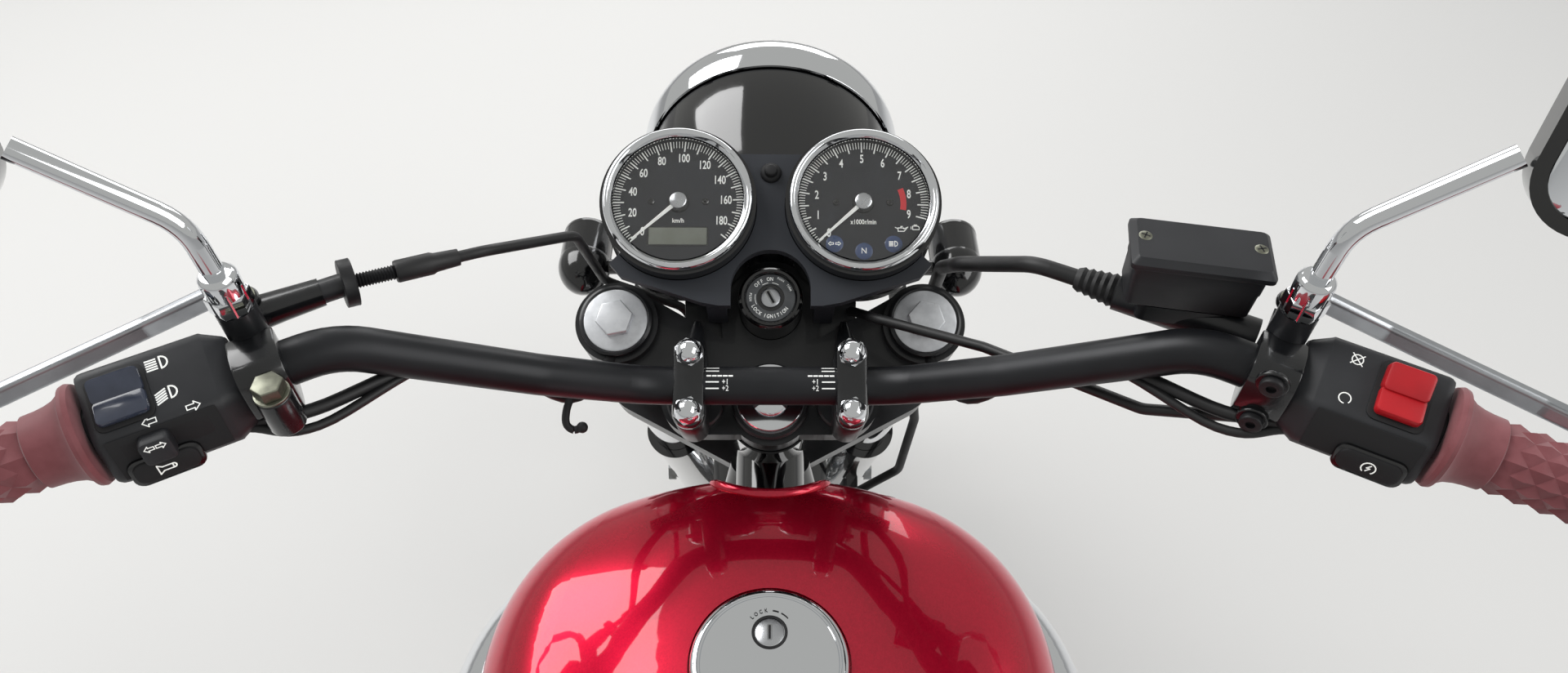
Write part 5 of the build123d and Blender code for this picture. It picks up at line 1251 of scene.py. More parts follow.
@dataclass
class ClampFittings:
    """What sits round the top clamp: nuts, risers' ribs, gauge brackets, the loom's hook and setting marks.

    Attributes:
        nut_ahead: Distance of the nuts ahead of and behind the bar.
        bar_r: Radius of the bar.
        mark_tilts: Angle of each row of setting marks behind the bar's top, in degrees.
    """

    nut_ahead: float = 17.0
    bar_r: float = 11.1
    mark_tilts: tuple[float, ...] = (-26, -10, 8, 27, 46)

    def nuts(self) -> None:
        """Fit the four acorn nuts."""
        piece = Piece("riser_acorn_nuts", "steering", "bar_clamps")
        dome = [(0, 12.4), (2.6, 12.0), (5.0, 10.6), (6.7, 8.2), (7.5, 5.4), (7.7, 2.5), (0, 2.5)]
        for side in SIDES:
            for ahead in (-self.nut_ahead, self.nut_ahead):
                place = fork(side * RISER_X, ahead, CLAMP_TOP + BAR_UP + 8.6)
                piece.add(drum(8.6, 5.0, 0.5, 6), place @ local(turn=12 * ahead / self.nut_ahead), CHROME)
                piece.add(turned(dome, 40), place, CHROME)
        piece.finish()

    def stem_nut(self) -> None:
        """Cap the steering stem."""
        piece = Piece("stem_dome_nut", "steering", "fork_caps")
        place = fork(0, 0, 766.3)
        piece.add(turned([(12.5, 8.0), (12.5, 9.2), (20.4, 8.9), (20.8, 8.0)], 64, True), place, CHROME)
        dome = [(0, 14.0), (6.0, 13.2), (10.4, 11.2), (12.6, 8.4), (12.8, 7.0), (0, 7.0)]
        piece.add(turned(dome, 56), place, CHROME)
        piece.finish()

    def ribs(self) -> None:
        """Run each riser's casting forward into the clamp."""
        piece = Piece("riser_ribs", "steering", "top_clamp")
        for side in SIDES:
            rings = []
            for ahead, up, wide, tall in ((14, 776, 15, 46), (24, 774, 14.5, 36), (34, 769, 12, 24),
                                          (44, 762, 8.5, 12), (52, 757, 4, 4)):
                spot = fork(side * RISER_X, ahead, up)
                rings.append((spot @ Matrix.Rotation(pi / 2, 4, "X"), round_outline(wide, tall, 2.4, 20)))
            piece.add(lofted(rings), HERE, SATIN_CAST)
        piece.finish()

    def brackets(self) -> None:
        """Carry the gauge panel on two plates that reach forward from the clamp, one bolt in each."""
        piece = Piece("gauge_brackets", "steering", "gauge_panel")
        outline = [(-17, -40), (13, -40), (15, 10), (9, 24), (-9, 24), (-17, 10)]
        for side in SIDES:
            place = fork(side * 41, 74, 745)
            piece.add(prism([(side * x, y) for x, y in outline], 5, 4, 0.8, 4), place, SATIN_CAST)
            piece.add(hexagon_bolt(8, 4, 4.6), place @ local(side * 2, 14, 5), ZINC)
        piece.finish()

    def cable_hook(self) -> None:
        """Hang the small wire hook that guides the left loom under the bar."""
        piece = Piece("loom_hook", "steering", "handlebar")
        steps = ((-116, -3, -8), (-118, -10, -12), (-118, -15, -17), (-114, -17, -20), (-109, -16, -19))
        line = [by_bar(*step) for step in steps]
        piece.add(wire(smooth_points(line, 6), 4.6, ACROSS), HERE, SOFT_BLACK_AND_SHADE)
        tip = bmesh.new()
        bmesh.ops.create_uvsphere(tip, u_segments=16, v_segments=8, radius=3.4)
        piece.add(tip, Matrix.Translation(line[-1]), SOFT_BLACK_AND_SHADE)
        piece.finish()

    def setting_marks(self) -> None:
        """Print the rows of setting marks beside the risers."""
        piece = Piece("bar_setting_marks", "steering", "handlebar")
        for side in SIDES:
            for row, tilt in enumerate(self.mark_tilts):
                lean = radians(tilt)
                out = Vector((0, -sin(lean), cos(lean)))
                place = axes(BAR_CENTRE + out * (self.bar_r + 0.05), ACROSS, out.cross(ACROSS), out)
                if row == 2:
                    starts = [36 - 3.1 * number for number in range(5)]
                    dashes = [[(side * x, 0), (side * (x - 2), 0)] for x in starts]
                    piece.add(strokes(dashes, 0.9), place, WHITE_PRINT_PAINTED_GLOW)
                    continue
                piece.add(strokes([[(side * 36.5, 0), (side * 29.5, 0)]], 0.7), place, WHITE_PRINT_PAINTED_GLOW)
                if row > 2:
                    piece.add(lettering(f"+{row - 2}", 4.6, 0.8), place @ local(side * 25.6, 0, 0.06),
                              WHITE_PRINT_PAINTED_GLOW)
        piece.finish()

    def build(self) -> None:
        """Build every fitting."""
        self.nuts()
        self.stem_nut()
        self.ribs()
        self.brackets()
        self.cable_hook()
        self.setting_marks()


@dataclass
class Tank:
    """The candy-red lip round the steering head, and the locking fuel cap.

    Attributes:
        lip_r: Radius of the lip about its own line, parallel to the steering.
        lip_ahead: Distance of that line ahead of the steering axis.
        lip_reach: Angle from the middle to each end, in degrees.
        lip_size: Thickness and height of the lip.
        lip_rise: Height of its middle over the tank's skin.
        cap: Across, forward and up of the cap's foot.
        cap_r: Radius of the cap.
        lock: Distance of its lock ahead of the cap's middle.
    """

    lip_r: float = 84.5
    lip_ahead: float = 29.0
    lip_reach: int = 38
    lip_size: Flat = (6.5, 8.0)
    lip_rise: float = -0.8
    cap: Point = (0, 190, 935.3)
    cap_r: float = 44.0
    lock: float = 16.0

    def lip(self) -> None:
        """Lay the lip on the tank's skin round the hollow."""
        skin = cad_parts["fuel_tank"].data
        tree = BVHTree.FromPolygons([v.co for v in skin.vertices], [list(p.vertices) for p in skin.polygons])
        line = []
        for angle in range(-self.lip_reach, self.lip_reach + 1, 2):
            turn = radians(angle)
            above = FORK_FOOT + UP * 900 + AHEAD * (self.lip_ahead - self.lip_r * cos(turn))
            above.x = self.lip_r * sin(turn)
            spot = tree.ray_cast(above * MM, -UP)[0]
            if spot:
                line.append(spot / MM + UP * self.lip_rise)
        width, height = self.lip_size
        piece = Piece("tank_lip", "chassis", "fuel_tank")

        def bead(share: float) -> list[Flat]:
            """The bead's outline, which thins towards both ends."""
            scale = min(1.0, 0.5 + 8 * min(share, 1 - share))
            return round_outline(width * scale, height * scale, 3.2, 16)

        piece.add(swept(line, bead, UP), HERE, CANDY_RED)
        piece.finish()

    def filler_cap(self) -> None:
        """Turn the chrome cap, with its lock set ahead of the middle."""
        piece = Piece("fuel_cap_chrome", "fuel_cap", "fuel_cap", ("fuel_cap",))
        place = upright(*self.cap)
        section = [(0, 14.9), (20, 14.75), (37.6, 14.0), (38.4, 13.3), (39.2, 13.3), (39.8, 14.1),
                   (41.4, 13.9), (42.8, 12.9), (43.6, 11.2), (self.cap_r, 8.5), (self.cap_r, 0), (0, 0)]
        piece.add(turned(section, 160), place, CHROME)
        lock = place @ local(0, self.lock, 14.6)
        piece.add(turned([(8.3, 0), (8.4, 0.7), (9.3, 0.9), (10.0, 0.4), (10.0, 0)], 56, True), lock,
                  SOFT_BLACK_AND_SHADE)
        piece.add(turned([(0, 0.55), (7.6, 0.5), (8.3, 0), (0, 0)], 48), lock, SILVER)
        piece.add(block(2.9, 9.4, 0.2, 0.8), lock @ local(z=0.5), ZINC)
        # A black strip on the barrel: painted shade where the keyway opens.
        piece.add(block(1.3, 8.2, 0.26, 0.4), lock @ local(z=0.5), SOFT_BLACK_AND_SHADE)
        for number, letter in enumerate("LOCK"):
            angle = 138 - 13 * number
            spot = local(13.2 * cos(radians(angle)), 13.2 * sin(radians(angle)), 0.2, angle - 90)
            piece.add(lettering(letter, 3.2, 0.85, depth=0.05), lock @ spot, GLOSS_ABS_AND_SHADOW)
        piece.add(strokes([arc(13.2, 82, 68, count=4), arc(13.2, 60, 40, count=5)], 0.5), lock @ local(z=0.2),
                  GLOSS_ABS_AND_SHADOW)
        piece.finish()

    def build(self) -> None:
        """Build the lip and the cap."""
        self.lip()
        self.filler_cap()


@dataclass
class Headlamp:
    """The lamp's chrome rim, reflector and bulb.

    Attributes:
        centre: Where the rim's seat crosses the lamp's axis.
        radius: Radius of the rim.
        skirt: How far the rim reaches back over the shell.
    """

    centre: Point = (0, 610, 952)
    radius: float = 100.0
    skirt: float = 15.0

    def place(self) -> Matrix:
        """The lamp's placement: local Z points forward."""
        return facing(self.centre, (0, 1, 0))

    def build(self) -> None:
        """Build the rim, then what shows through the glass."""
        r = self.radius
        rim = Piece("headlamp_rim_chrome", "steering", "headlamp_rim", ("headlamp_rim",))
        section = [(r - 9, 0.4), (r - 4.4, 0.4), (r - 4.4, -self.skirt), (r - 3, -self.skirt),
                   (r - 2.4, 1 - self.skirt), (r - 0.8, -2), (r, 1.4), (r, 5), (r - 0.5, 9.5), (r - 1.8, 14),
                   (r - 4, 18), (r - 6, 20), (r - 7.6, 20.4), (r - 9, 19.6)]
        rim.add(turned(section, 180, True), self.place(), CHROME)
        rim.add(block(9, 5, 6, 1, 0.6), self.place() @ local(0, -r - 0.5, 5), ZINC)
        rim.finish()
        inside = Piece("headlamp_reflector", "steering", "headlamp_lens")
        bowl = [(89, 1.5), (80, -14), (66, -31), (48, -46), (28, -56), (14, -59), (14, -61), (29, -58),
                (50, -48), (68, -33), (82, -16), (90.5, 1.5)]
        inside.add(turned(bowl, 120, True), self.place(), MIRROR)
        inside.add(turned([(0, -20), (6, -22), (8, -30), (8, -50), (13, -52), (13, -60), (0, -60)], 40),
                   self.place(), SILVER)
        inside.finish()


@dataclass
class Risers:
    """The oval bar clamps over the risers, and the fork's top bolts.

    Attributes:
        size: Width across and length fore and aft.
        low: Height of the risers' feet above the axis foot.
        split: Height of the joint between riser and cap.
        high: Height of the caps' tops.
    """

    size: Flat = (18.4, 52.0)
    low: float = CLAMP_TOP + 0.3
    split: float = CLAMP_TOP + BAR_UP
    high: float = CLAMP_TOP + 58.6

    def build(self) -> None:
        """Build the clamps and the fork's caps."""
        corners = oblong(*self.size)
        piece = Piece("oval_bar_clamps", "steering", "bar_clamps", ("bar_clamps",))
        for side in SIDES:
            foot = fork(side * RISER_X, 0, self.low)
            piece.add(prism(corners, self.split - self.low - 0.4, 8.6, 0.8, 8), foot, SATIN_CAST)
            cap = fork(side * RISER_X, 0, self.split + 0.4)
            piece.add(prism(corners, self.high - self.split - 0.4, 8.6, 2.6, 8), cap, GLOSS_CAST)
        piece.finish()
        caps = Piece("fork_cap_bolts", "steering", "fork_caps")
        for side in SIDES:
            place = fork(side * FORK_X, FORK_AHEAD, 768.3)
            caps.add(turned([(0, 0.5), (18.6, 0.5), (19.7, 0.1), (19.9, -0.6), (0, -0.6)], 96), place,
                     PALE_ALLOY)
            caps.add(turned([(20.1, -1.6), (20.1, 0.2), (21.2, 0.9), (22.6, 0.2), (22.8, -1.6)], 96, True),
                     place, SATIN_CAST)
            caps.add(drum(11.9, 7.2, 0.9, 6), place @ local(z=0.4, turn=18 * side), PALE_ALLOY)
        caps.finish()


@dataclass
class Switches:
    """The two moulded switch housings with their buttons and signs.

    Attributes:
        outer: Reach back from the bar's end to each housing's outer face.
        inner: Reach to its inner face.
        section: Corners of the housing, ahead and up.
    """

    outer: float = 127.2
    inner: float = 188.8
    section: tuple[Flat, ...] = ((22.8, -19), (22.8, 12), (16, 21.8), (-18, 9), (-22.8, -13), (-16, -21.8),
                                 (18, -21.8))

    def ring(self, side: int, reach: float, share: float) -> tuple[Matrix, list[Flat]]:
        """One section of the housing, drawn in about the bar."""
        return on_bar(side, reach), rounded([(x * share, y * share) for x, y in self.section], 4.2, 4)

    def upper(self, side: int, reach: float, down: float, lift: float = 0) -> Matrix:
        """A placement on the housing's upper face, as on_face gives it."""
        return self.on_face(side, reach, self.section[2], self.section[3], down, lift)

    def lower(self, side: int, reach: float, down: float, lift: float = 0) -> Matrix:
        """A placement on the face towards the rider, as on_face gives it."""
        return self.on_face(side, reach, self.section[3], self.section[4], down, lift)

    def on_face(self, side: int, reach: float, start: Flat, end: Flat, down: float, lift: float) -> Matrix:
        """A placement between two corners of the section.

        Args:
            side: -1 for the left, 1 for the right.
            reach: Distance back from the bar's end.
            start: The face's first corner.
            end: Its last.
            down: Distance from the first corner.
            lift: Height off the face.

        Returns:
            Local X runs to the rider's right, Y up the face and Z off it.
        """
        run = (Vector(end) - Vector(start)).normalized()
        spot = Vector(start) + run * down
        place = on_bar(side, reach) @ Matrix.Translation((spot.x, spot.y, 0))
        turn = Matrix(((0, -run.x, run.y), (0, -run.y, -run.x), (1, 0, 0))).to_4x4()
        return place @ turn @ Matrix.Translation((0, 0, lift))

    def shell(self, side: int) -> None:
        """Mould one housing, lay a thin black sheet over the middle of its face towards the rider, and
        chamfer its inner end.

        Args:
            side: -1 for the left, 1 for the right.
        """
        piece = Piece(f"switch_housing_{'left' if side < 0 else 'right'}", "steering", "switch_housings",
                      ("switch_housings",))
        rows = ((self.outer, 0.955), (self.outer + 1.4, 0.99), (self.outer + 3, 1.0), (self.inner - 9.5, 1.0),
                (self.inner - 8.6, 0.975), (self.inner - 1.2, 0.83), (self.inner, 0.79))
        rings = [self.ring(side, reach, share) for reach, share in rows]
        piece.add(lofted(rings), HERE, MOULDED_ABS)
        # A thin black sheet over the face towards the rider, darker than the rest of the housing.
        rider_face_sheet = [(-22.95, -11.8), (-18.3, 9.2), (-18.7, 8.8), (-23.0, -12.2)]
        reach = self.outer + 4 if side < 0 else self.inner - 12
        piece.add(prism(rider_face_sheet, self.inner - self.outer - 16), on_bar(side, reach), SOFT_BLACK_AND_SHADE)
        piece.finish()

    def sign(self, piece: Piece, mark: Mark, place: Matrix, width: float) -> None:
        """Print one sign."""
        piece.add(mark.shape(width, 0.075), place, WHITE_PRINT_PAINTED_GLOW)

    def left_buttons(self) -> None:
        """Fit the dip rocker, the turn slider and the horn's button."""
        piece = Piece("left_switch_buttons", "steering", "switch_housings")
        piece.add(block(24.5, 27, 0.9, 4, 0.4), self.upper(-1, 142.4, 18.4), SOFT_BLACK_AND_SHADE)
        rocker = self.upper(-1, 142.4, 18.4, 0.5)
        for half, tilt in ((-1, 9), (1, -9)):
            shape = block(21.5, 12.2, 3.4, 2.6, 1.0)
            turn = Matrix.Rotation(radians(tilt), 4, "X")
            piece.add(shape, rocker @ local(0, -half * 5.7) @ turn, ROCKER_ABS)
        self.sign(piece, Mark.MAIN_BEAM, self.upper(-1, 160.5, 8.4, 0.05), 9.5)
        self.sign(piece, Mark.DIPPED, self.upper(-1, 160.5, 23.5, 0.05), 9.5)
        slot = self.lower(-1, 154, 7.6, -0.4)
        piece.add(block(37, 12, 1.0, 3, 0.4), slot, SOFT_BLACK_AND_SHADE)
        piece.add(block(13.5, 12.5, 8.5, 2.6, 1.4), slot @ local(-4.5, -0.5), MOULDED_ABS)
        piece.add(Mark.LEFT.shape(4.2, 0.1), slot @ local(-6.8, 2.6, 8.6), WHITE_PRINT_PAINTED_GLOW)
        piece.add(Mark.RIGHT.shape(4.2, 0.1), slot @ local(-2.2, 2.6, 8.6), WHITE_PRINT_PAINTED_GLOW)
        self.sign(piece, Mark.LEFT, self.upper(-1, 150.5, 33.6, 0.05), 6.0)
        self.sign(piece, Mark.RIGHT, self.upper(-1, 168.5, 33.6, 0.05), 6.0)
        horn = self.lower(-1, 148.5, 20.4, -2.2)
        piece.add(block(31, 15, 4.2, 5, 1.2), horn, GLOSS_ABS_AND_SHADOW)
        piece.add(block(27.5, 11.5, 5.6, 4.6, 1.4), horn @ local(0, 0.2), SOFT_BLACK_AND_SHADE)
        self.sign(piece, Mark.HORN, horn @ local(0, 0, 5.7), 7.6)
        piece.finish()

    def right_buttons(self) -> None:
        """Fit the red stop rocker and the starter's button."""
        piece = Piece("right_switch_buttons", "steering", "switch_housings")
        piece.add(block(24, 30, 0.8, 4, 0.3), self.upper(1, 146.5, 18, 0), SOFT_BLACK_AND_SHADE)
        rocker = self.upper(1, 146.5, 18, 0.4)
        for half, tilt, high in ((-1, 13, 7.5), (1, -8, 5.2)):
            turn = Matrix.Rotation(radians(tilt), 4, "X")
            piece.add(block(19.5, 13.4, high, 2.4, 1.3), rocker @ local(0, -half * 6.4) @ turn, RED_ABS)
        self.sign(piece, Mark.OFF, self.upper(1, 168, 8, 0.05), 6.4)
        self.sign(piece, Mark.RUN, self.upper(1, 168, 28, 0.05), 6.4)
        start = self.lower(1, 147, 19.5, -2.0)
        piece.add(block(31, 15, 4.0, 5, 1.2), start, GLOSS_ABS_AND_SHADOW)
        piece.add(block(27.5, 11.5, 5.4, 4.6, 1.4), start @ local(0, 0.2), SOFT_BLACK_AND_SHADE)
        self.sign(piece, Mark.START, start @ local(0, 0, 5.5), 7.0)
        piece.finish()

    def looms(self) -> None:
        """Run each housing's wires inward below the bar, into the clamp's shadow."""
        piece = Piece("switch_looms", "steering", "switch_housings")
        for side in SIDES:
            for shift, radius in ((0, 3.4), (7, 2.4)):
                start = on_bar(side, self.inner - 6, -13 - shift * 0.3, -13 - shift * 0.4).translation
                route = [start, on_bar(side, self.inner + 22, -15 - shift, -20 - shift * 0.6).translation,
                         by_bar(side * 160, -28, 60), by_bar(side * 118, 6, -14 - shift),
                         by_bar(side * 92, 66, -36 - shift)]
                piece.add(wire(smooth_points(route, 9), 2 * radius, SKY), HERE, HOSE_RUBBER)
        piece.finish()

    def build(self) -> None:
        """Build both sides."""
        for side in SIDES:
            self.shell(side)
        self.left_buttons()
        self.right_buttons()
        self.looms()


@dataclass
class Grips:
    """Rubber grips covered in raised diamonds, with a collar and flange at the inner end.

    Attributes:
        sleeve: Where the diamonds start and end along the bar.
        low_r: Radius in the grooves.
        high_r: Radius at the diamonds' points.
        around: Half-diamonds round the grip.
        along: Half-diamonds along it.
    """

    sleeve: Flat = (8.0, 102.0)
    low_r: float = 14.9
    high_r: float = 16.9
    around: int = 16
    along: int = 18

    def diamonds(self, side: int) -> Shape:
        """Raise the diamonds on a tube whose faces split along the grooves.

        Args:
            side: -1 for the left, 1 for the right.

        Returns:
            The shape.
        """
        first, last = self.sleeve
        shape = bmesh.new()
        bmesh.ops.create_cone(shape, cap_ends=True, segments=self.around, radius1=self.low_r,
                              radius2=self.low_r, depth=last - first)
        upright_edges = [e for e in shape.edges if abs(e.verts[0].co.z - e.verts[1].co.z) > 1]
        bmesh.ops.subdivide_edges(shape, edges=upright_edges, cuts=self.along - 1, use_grid_fill=False)
        bmesh.ops.translate(shape, verts=shape.verts, vec=(0, 0, -side * (first + last) / 2))
        pitch = (last - first) / self.along
        for vert in shape.verts:
            row = round((abs(vert.co.z) - first) / pitch)
            column = round(atan2(vert.co.y, vert.co.x) / (2 * pi / self.around))
            radius = self.high_r if (row + column) % 2 and 0 < row < self.along else self.low_r
            vert.co.xy = vert.co.xy.normalized() * radius
        for face in [f for f in shape.faces if len(f.verts) == 4]:
            lows = [v for v in face.verts if v.co.xy.length < self.low_r + 0.5]
            if len(lows) == 3:
                peak = next(v for v in face.verts if v not in lows)
                lows = [v for v in lows if any(peak in e.verts for e in v.link_edges if e in face.edges)]
            bmesh.utils.face_split(face, *lows)
        return tidy(shape)

    def build(self) -> None:
        """Build both grips."""
        piece = Piece("diamond_grips", "steering", "grips", ("grips",))
        collar = [(11.4, 0.3), (14.8, 0.3), (16.2, 1.4), (16.6, 4), (16.4, 7.6), (15.2, 8.4), (11.4, 8.4)]
        flange = [(11.4, 101.6), (15.2, 101.6), (16.9, 102.6), (17.2, 108), (17.8, 112), (19.0, 116),
                  (21.2, 119.2), (23.6, 120.6), (24.1, 122.4), (23.2, 124.4), (21.0, 125), (11.4, 125)]
        for side in SIDES:
            place = on_bar(side, 0)
            piece.add(self.diamonds(side), place, GRIP_RUBBER)
            for profile in (collar, flange):
                piece.add(turned([(r, -side * z) for r, z in profile], 56, True), place, GRIP_RUBBER)
            piece.add(turned([(0, -side * 0.1), (10.6, -side * 0.1), (10.6, -side * 6), (0, -side * 6)], 40),
                      place, GLOSS_ABS_AND_SHADOW)
        piece.finish()


@dataclass
class Perches:
    """Clamp halves, bolts, the clutch's adjuster and ferrule, and the brake line's ribbed boot.

    Attributes:
        reach: Distance of the perches back from the bar's end.
        width: Width of a clamp half.
    """

    reach: float = 198.5
    width: float = 21.0

    def clamp_half(self, piece: Piece, side: int) -> None:
        """Wrap the bar behind the perch with a clamp whose lugs take two bolts.

        Args:
            piece: The piece that it belongs to.
            side: -1 for the left, 1 for the right.
        """
        outline = [(11.3, -20), (11.3, 16), (-2, 18.5), (-13, 17.5), (-18, 12), (-19, 0), (-18, -12),
                   (-13, -17.5), (-2, -20)]
        start = on_bar(side, self.reach + side * self.width / 2)
        piece.add(prism(rounded(outline, 3.5, 4), self.width, 0, 1.0), start, GLOSS_CAST)

    def pivot(self, piece: Piece, side: int) -> None:
        """Bolt the lever's pivot.

        Args:
            piece: The piece that it belongs to.
            side: -1 for the left, 1 for the right.
        """
        place = on_bar(side, self.reach, 36, 12.2) @ Matrix.Rotation(-pi / 2, 4, "X")
        piece.add(drum(9.2, 3, 1, 36), place, GLOSS_CAST)
        piece.add(hexagon_bolt(13.5, 5.5, 8), place @ local(z=3), DULL_ZINC)

    def left(self) -> None:
        """Dress the clutch's side."""
        piece = Piece("clutch_perch_fittings", "steering", "control_perches")
        self.clamp_half(piece, -1)
        lug = on_bar(-1, self.reach + 2, -25, -12) @ Matrix.Rotation(-pi / 2, 4, "X")
        piece.add(drum(8.2, 22, 1.2, 36), lug, GLOSS_CAST)
        piece.add(hexagon_bolt(14.5, 6.5, 8), lug @ local(z=22), DULL_ZINC)
        self.pivot(piece, -1)
        tip = by_bar(202 - BAR_HALF, -15.5, 101)
        run = Vector((57.6, 31.2, -9.0)).normalized()
        adjuster = aimed(tip - run * 4, tip + run * 20)
        arm = [on_bar(-1, self.reach, 34, 4).translation, tip - Vector((32, 17, 0)),
               tip - Vector((12, 6.4, 0))]
        horn = swept(smooth_points(arm, 5), lambda t: round_outline(17 - 4 * t, 17 - 4 * t, 2.6, 18), SKY)
        piece.add(horn, HERE, GLOSS_CAST)
        wheel = drum(12.2, 6.4, 0.8, 44)
        for face in [f for f in wheel.faces if abs(f.normal.z) < 0.2][::2]:
            for vert in face.verts:
                vert.co.xy *= 0.985
        piece.add(wheel, adjuster, BLACK_CAST)
        thread = [(0, 6)]
        for turn in range(13):
            thread += [(3.1, 6 + turn * 1.5), (3.9, 6.75 + turn * 1.5)]
        thread += [(3.1, 26), (0, 26)]
        piece.add(turned(thread, 24), adjuster, BLACK_CAST)
        ferrule = [(0, 26), (5.4, 26), (5.8, 27), (5.8, 44), (5.0, 46), (4.4, 58), (0, 58)]
        piece.add(turned(ferrule, 28), adjuster, HOSE_RUBBER)
        piece.finish()

    def right(self) -> None:
        """Dress the brake's side."""
        piece = Piece("brake_perch_fittings", "steering", "control_perches")
        self.clamp_half(piece, 1)
        for up in (-13.4, 13.4):
            bolt = on_bar(1, self.reach, -17.4, up) @ Matrix.Rotation(-pi / 2, 4, "Y")
            piece.add(drum(7.4, 2.6, 0.8, 36), bolt, GLOSS_CAST)
            piece.add(socket_bolt(5.4, 3.4), bolt @ local(z=2.2), BLACK_CAST)
        self.pivot(piece, 1)
        start = by_bar(BAR_HALF - 232.4, -5.8, 87)
        boot = aimed(start + Vector((6, -3.5, 0)), by_bar(BAR_HALF - 270, 16, 84))
        ribs = [(0, 0), (9.4, 0), (9.6, 6)]
        for rib in range(5):
            ribs += [(8.0 - rib * 0.5, 7 + rib * 4), (8.9 - rib * 0.5, 9 + rib * 4)]
        ribs += [(5.4, 28), (0, 28)]
        piece.add(turned(ribs, 36), boot, HOSE_RUBBER)
        piece.finish()

    def mirror_nuts(self) -> None:
        """Seat each mirror's stem in a chrome nut and collar."""
        piece = Piece("mirror_nuts", "steering", "mirror_stems")
        for side in SIDES:
            foot = on_bar(side, self.reach, 15, 30.3).translation
            place = upright(*foot)
            piece.add(drum(9.9, 9.5, 0.9, 6), place, CHROME)
            sleeve = [(0, 9.5), (8.6, 9.5), (8.7, 18), (8.2, 20), (6.8, 21.4), (0, 22)]
            piece.add(turned(sleeve, 40), place, CHROME)
        piece.finish()

    def build(self) -> None:
        """Build both sides."""
        self.left()
        self.right()
        self.mirror_nuts()


@dataclass
class Reservoir:
    """The brake's reservoir: a deep box under a chamfered lid held by two cross-head screws.

    Attributes:
        spot: Inward from the bar's tip, forward of its centre and above it.
        lean: Angle of its long side to the machine, in degrees.
        screw_x: Distance of each screw from the middle.
    """

    spot: Point = (204, -18, 98)
    lean: float = -9.8
    screw_x: float = 27.0

    def build(self) -> None:
        """Build the box and its lid."""
        inward, y, z = self.spot
        place = Matrix.Translation(by_bar(BAR_HALF - inward, y, z)) @ local(turn=self.lean)
        piece = Piece("brake_fluid_box", "steering", "brake_reservoir", ("brake_reservoir",))
        box = ((0, 58, 23.5), (1.2, 60, 25.5), (16, 61, 26.6), (16.6, 61.8, 27.4), (27.6, 62.4, 28))
        lid = ((27.6, 66.4, 32.4), (28.2, 67, 33), (30.8, 67, 33), (33.9, 61.4, 27.4))
        for rows, corner, steps in ((box, 4, 4), (lid, 2.4, 3)):
            rings = [(place @ local(z=up), rounded(oblong(x, y), corner, steps)) for up, x, y in rows]
            piece.add(lofted(rings), HERE, MOULDED_ABS)
        for side in SIDES:
            spot = place @ local(side * self.screw_x, 1.5, 33.8, 20 * side)
            piece.add(turned([(0, 0.55), (1.6, 0.6), (2.9, 0.35), (3.4, 0)], 28), spot, DULL_ZINC)
            # The screw's dark cross is painted shade for its recess.
            piece.add(cross_recess_shade(1.9, 0.75, 0.3), spot @ local(z=0.5), SOFT_BLACK_AND_SHADE)
        piece.finish()


@dataclass
class Mirrors:
    """The mirrors' glasses.

    Attributes:
        spot: Middle of each head's back, inward from the bar's tip, forward and up.
        size: Width and height of the glass.
        corner: Radius of its corners.
    """

    spot: Point = (52, -66, 232)
    size: Flat = (103.0, 75.0)
    corner: float = 21.0

    def build(self) -> None:
        """Build both glasses."""
        inward, y, z = self.spot
        piece = Piece("mirror_glasses", "steering", "mirror_heads")
        for side in SIDES:
            facing_back = -Vector((side * 0.355, 0.895, -0.268)).normalized()
            x_dir = Vector((0.895, -side * 0.355, 0)).normalized()
            middle = by_bar(side * (BAR_HALF - inward), y, z) + facing_back * 11.6
            place = axes(middle, x_dir, facing_back.cross(x_dir), facing_back)
            piece.add(prism(rounded(oblong(*self.size), self.corner, 8), 1.6, 0, 0.6), place, MIRROR)
        piece.finish()


@dataclass
class Indicators:
    """Amber lenses on the four bullet indicators.

    Attributes:
        front: Across, forward and up of a front indicator's middle.
        rear: The same of a rear one.
        half: Half the bullet's length.
    """

    front: Point = (147, 543, 899)
    rear: Point = (112, -1016.5, 640)
    half: float = 31.0

    def build(self) -> None:
        """Build the lenses and their rings."""
        lens = [(0, 5.5), (7, 5.0), (13, 3.4), (17, 1.2), (18.2, -0.5), (0, -0.5)]
        ring = [(18.3, -3), (18.3, 0.8), (19.4, 1.0), (20.1, 0), (20.1, -3)]
        for name, body, slot, spot, ahead in (("front", "steering", "front_indicators", self.front, 1),
                                              ("rear", "chassis", "rear_indicators", self.rear, -1)):
            piece = Piece(f"{name}_indicator_lenses", body, slot)
            for side in SIDES:
                face = Vector((side * spot[0], spot[1] + ahead * self.half, spot[2]))
                place = facing(face, (0, ahead, 0))
                piece.add(turned(lens, 48), place, AMBER_LENS)
                piece.add(turned(ring, 56, True), place, GLOSS_ABS_AND_SHADOW)
            piece.finish()


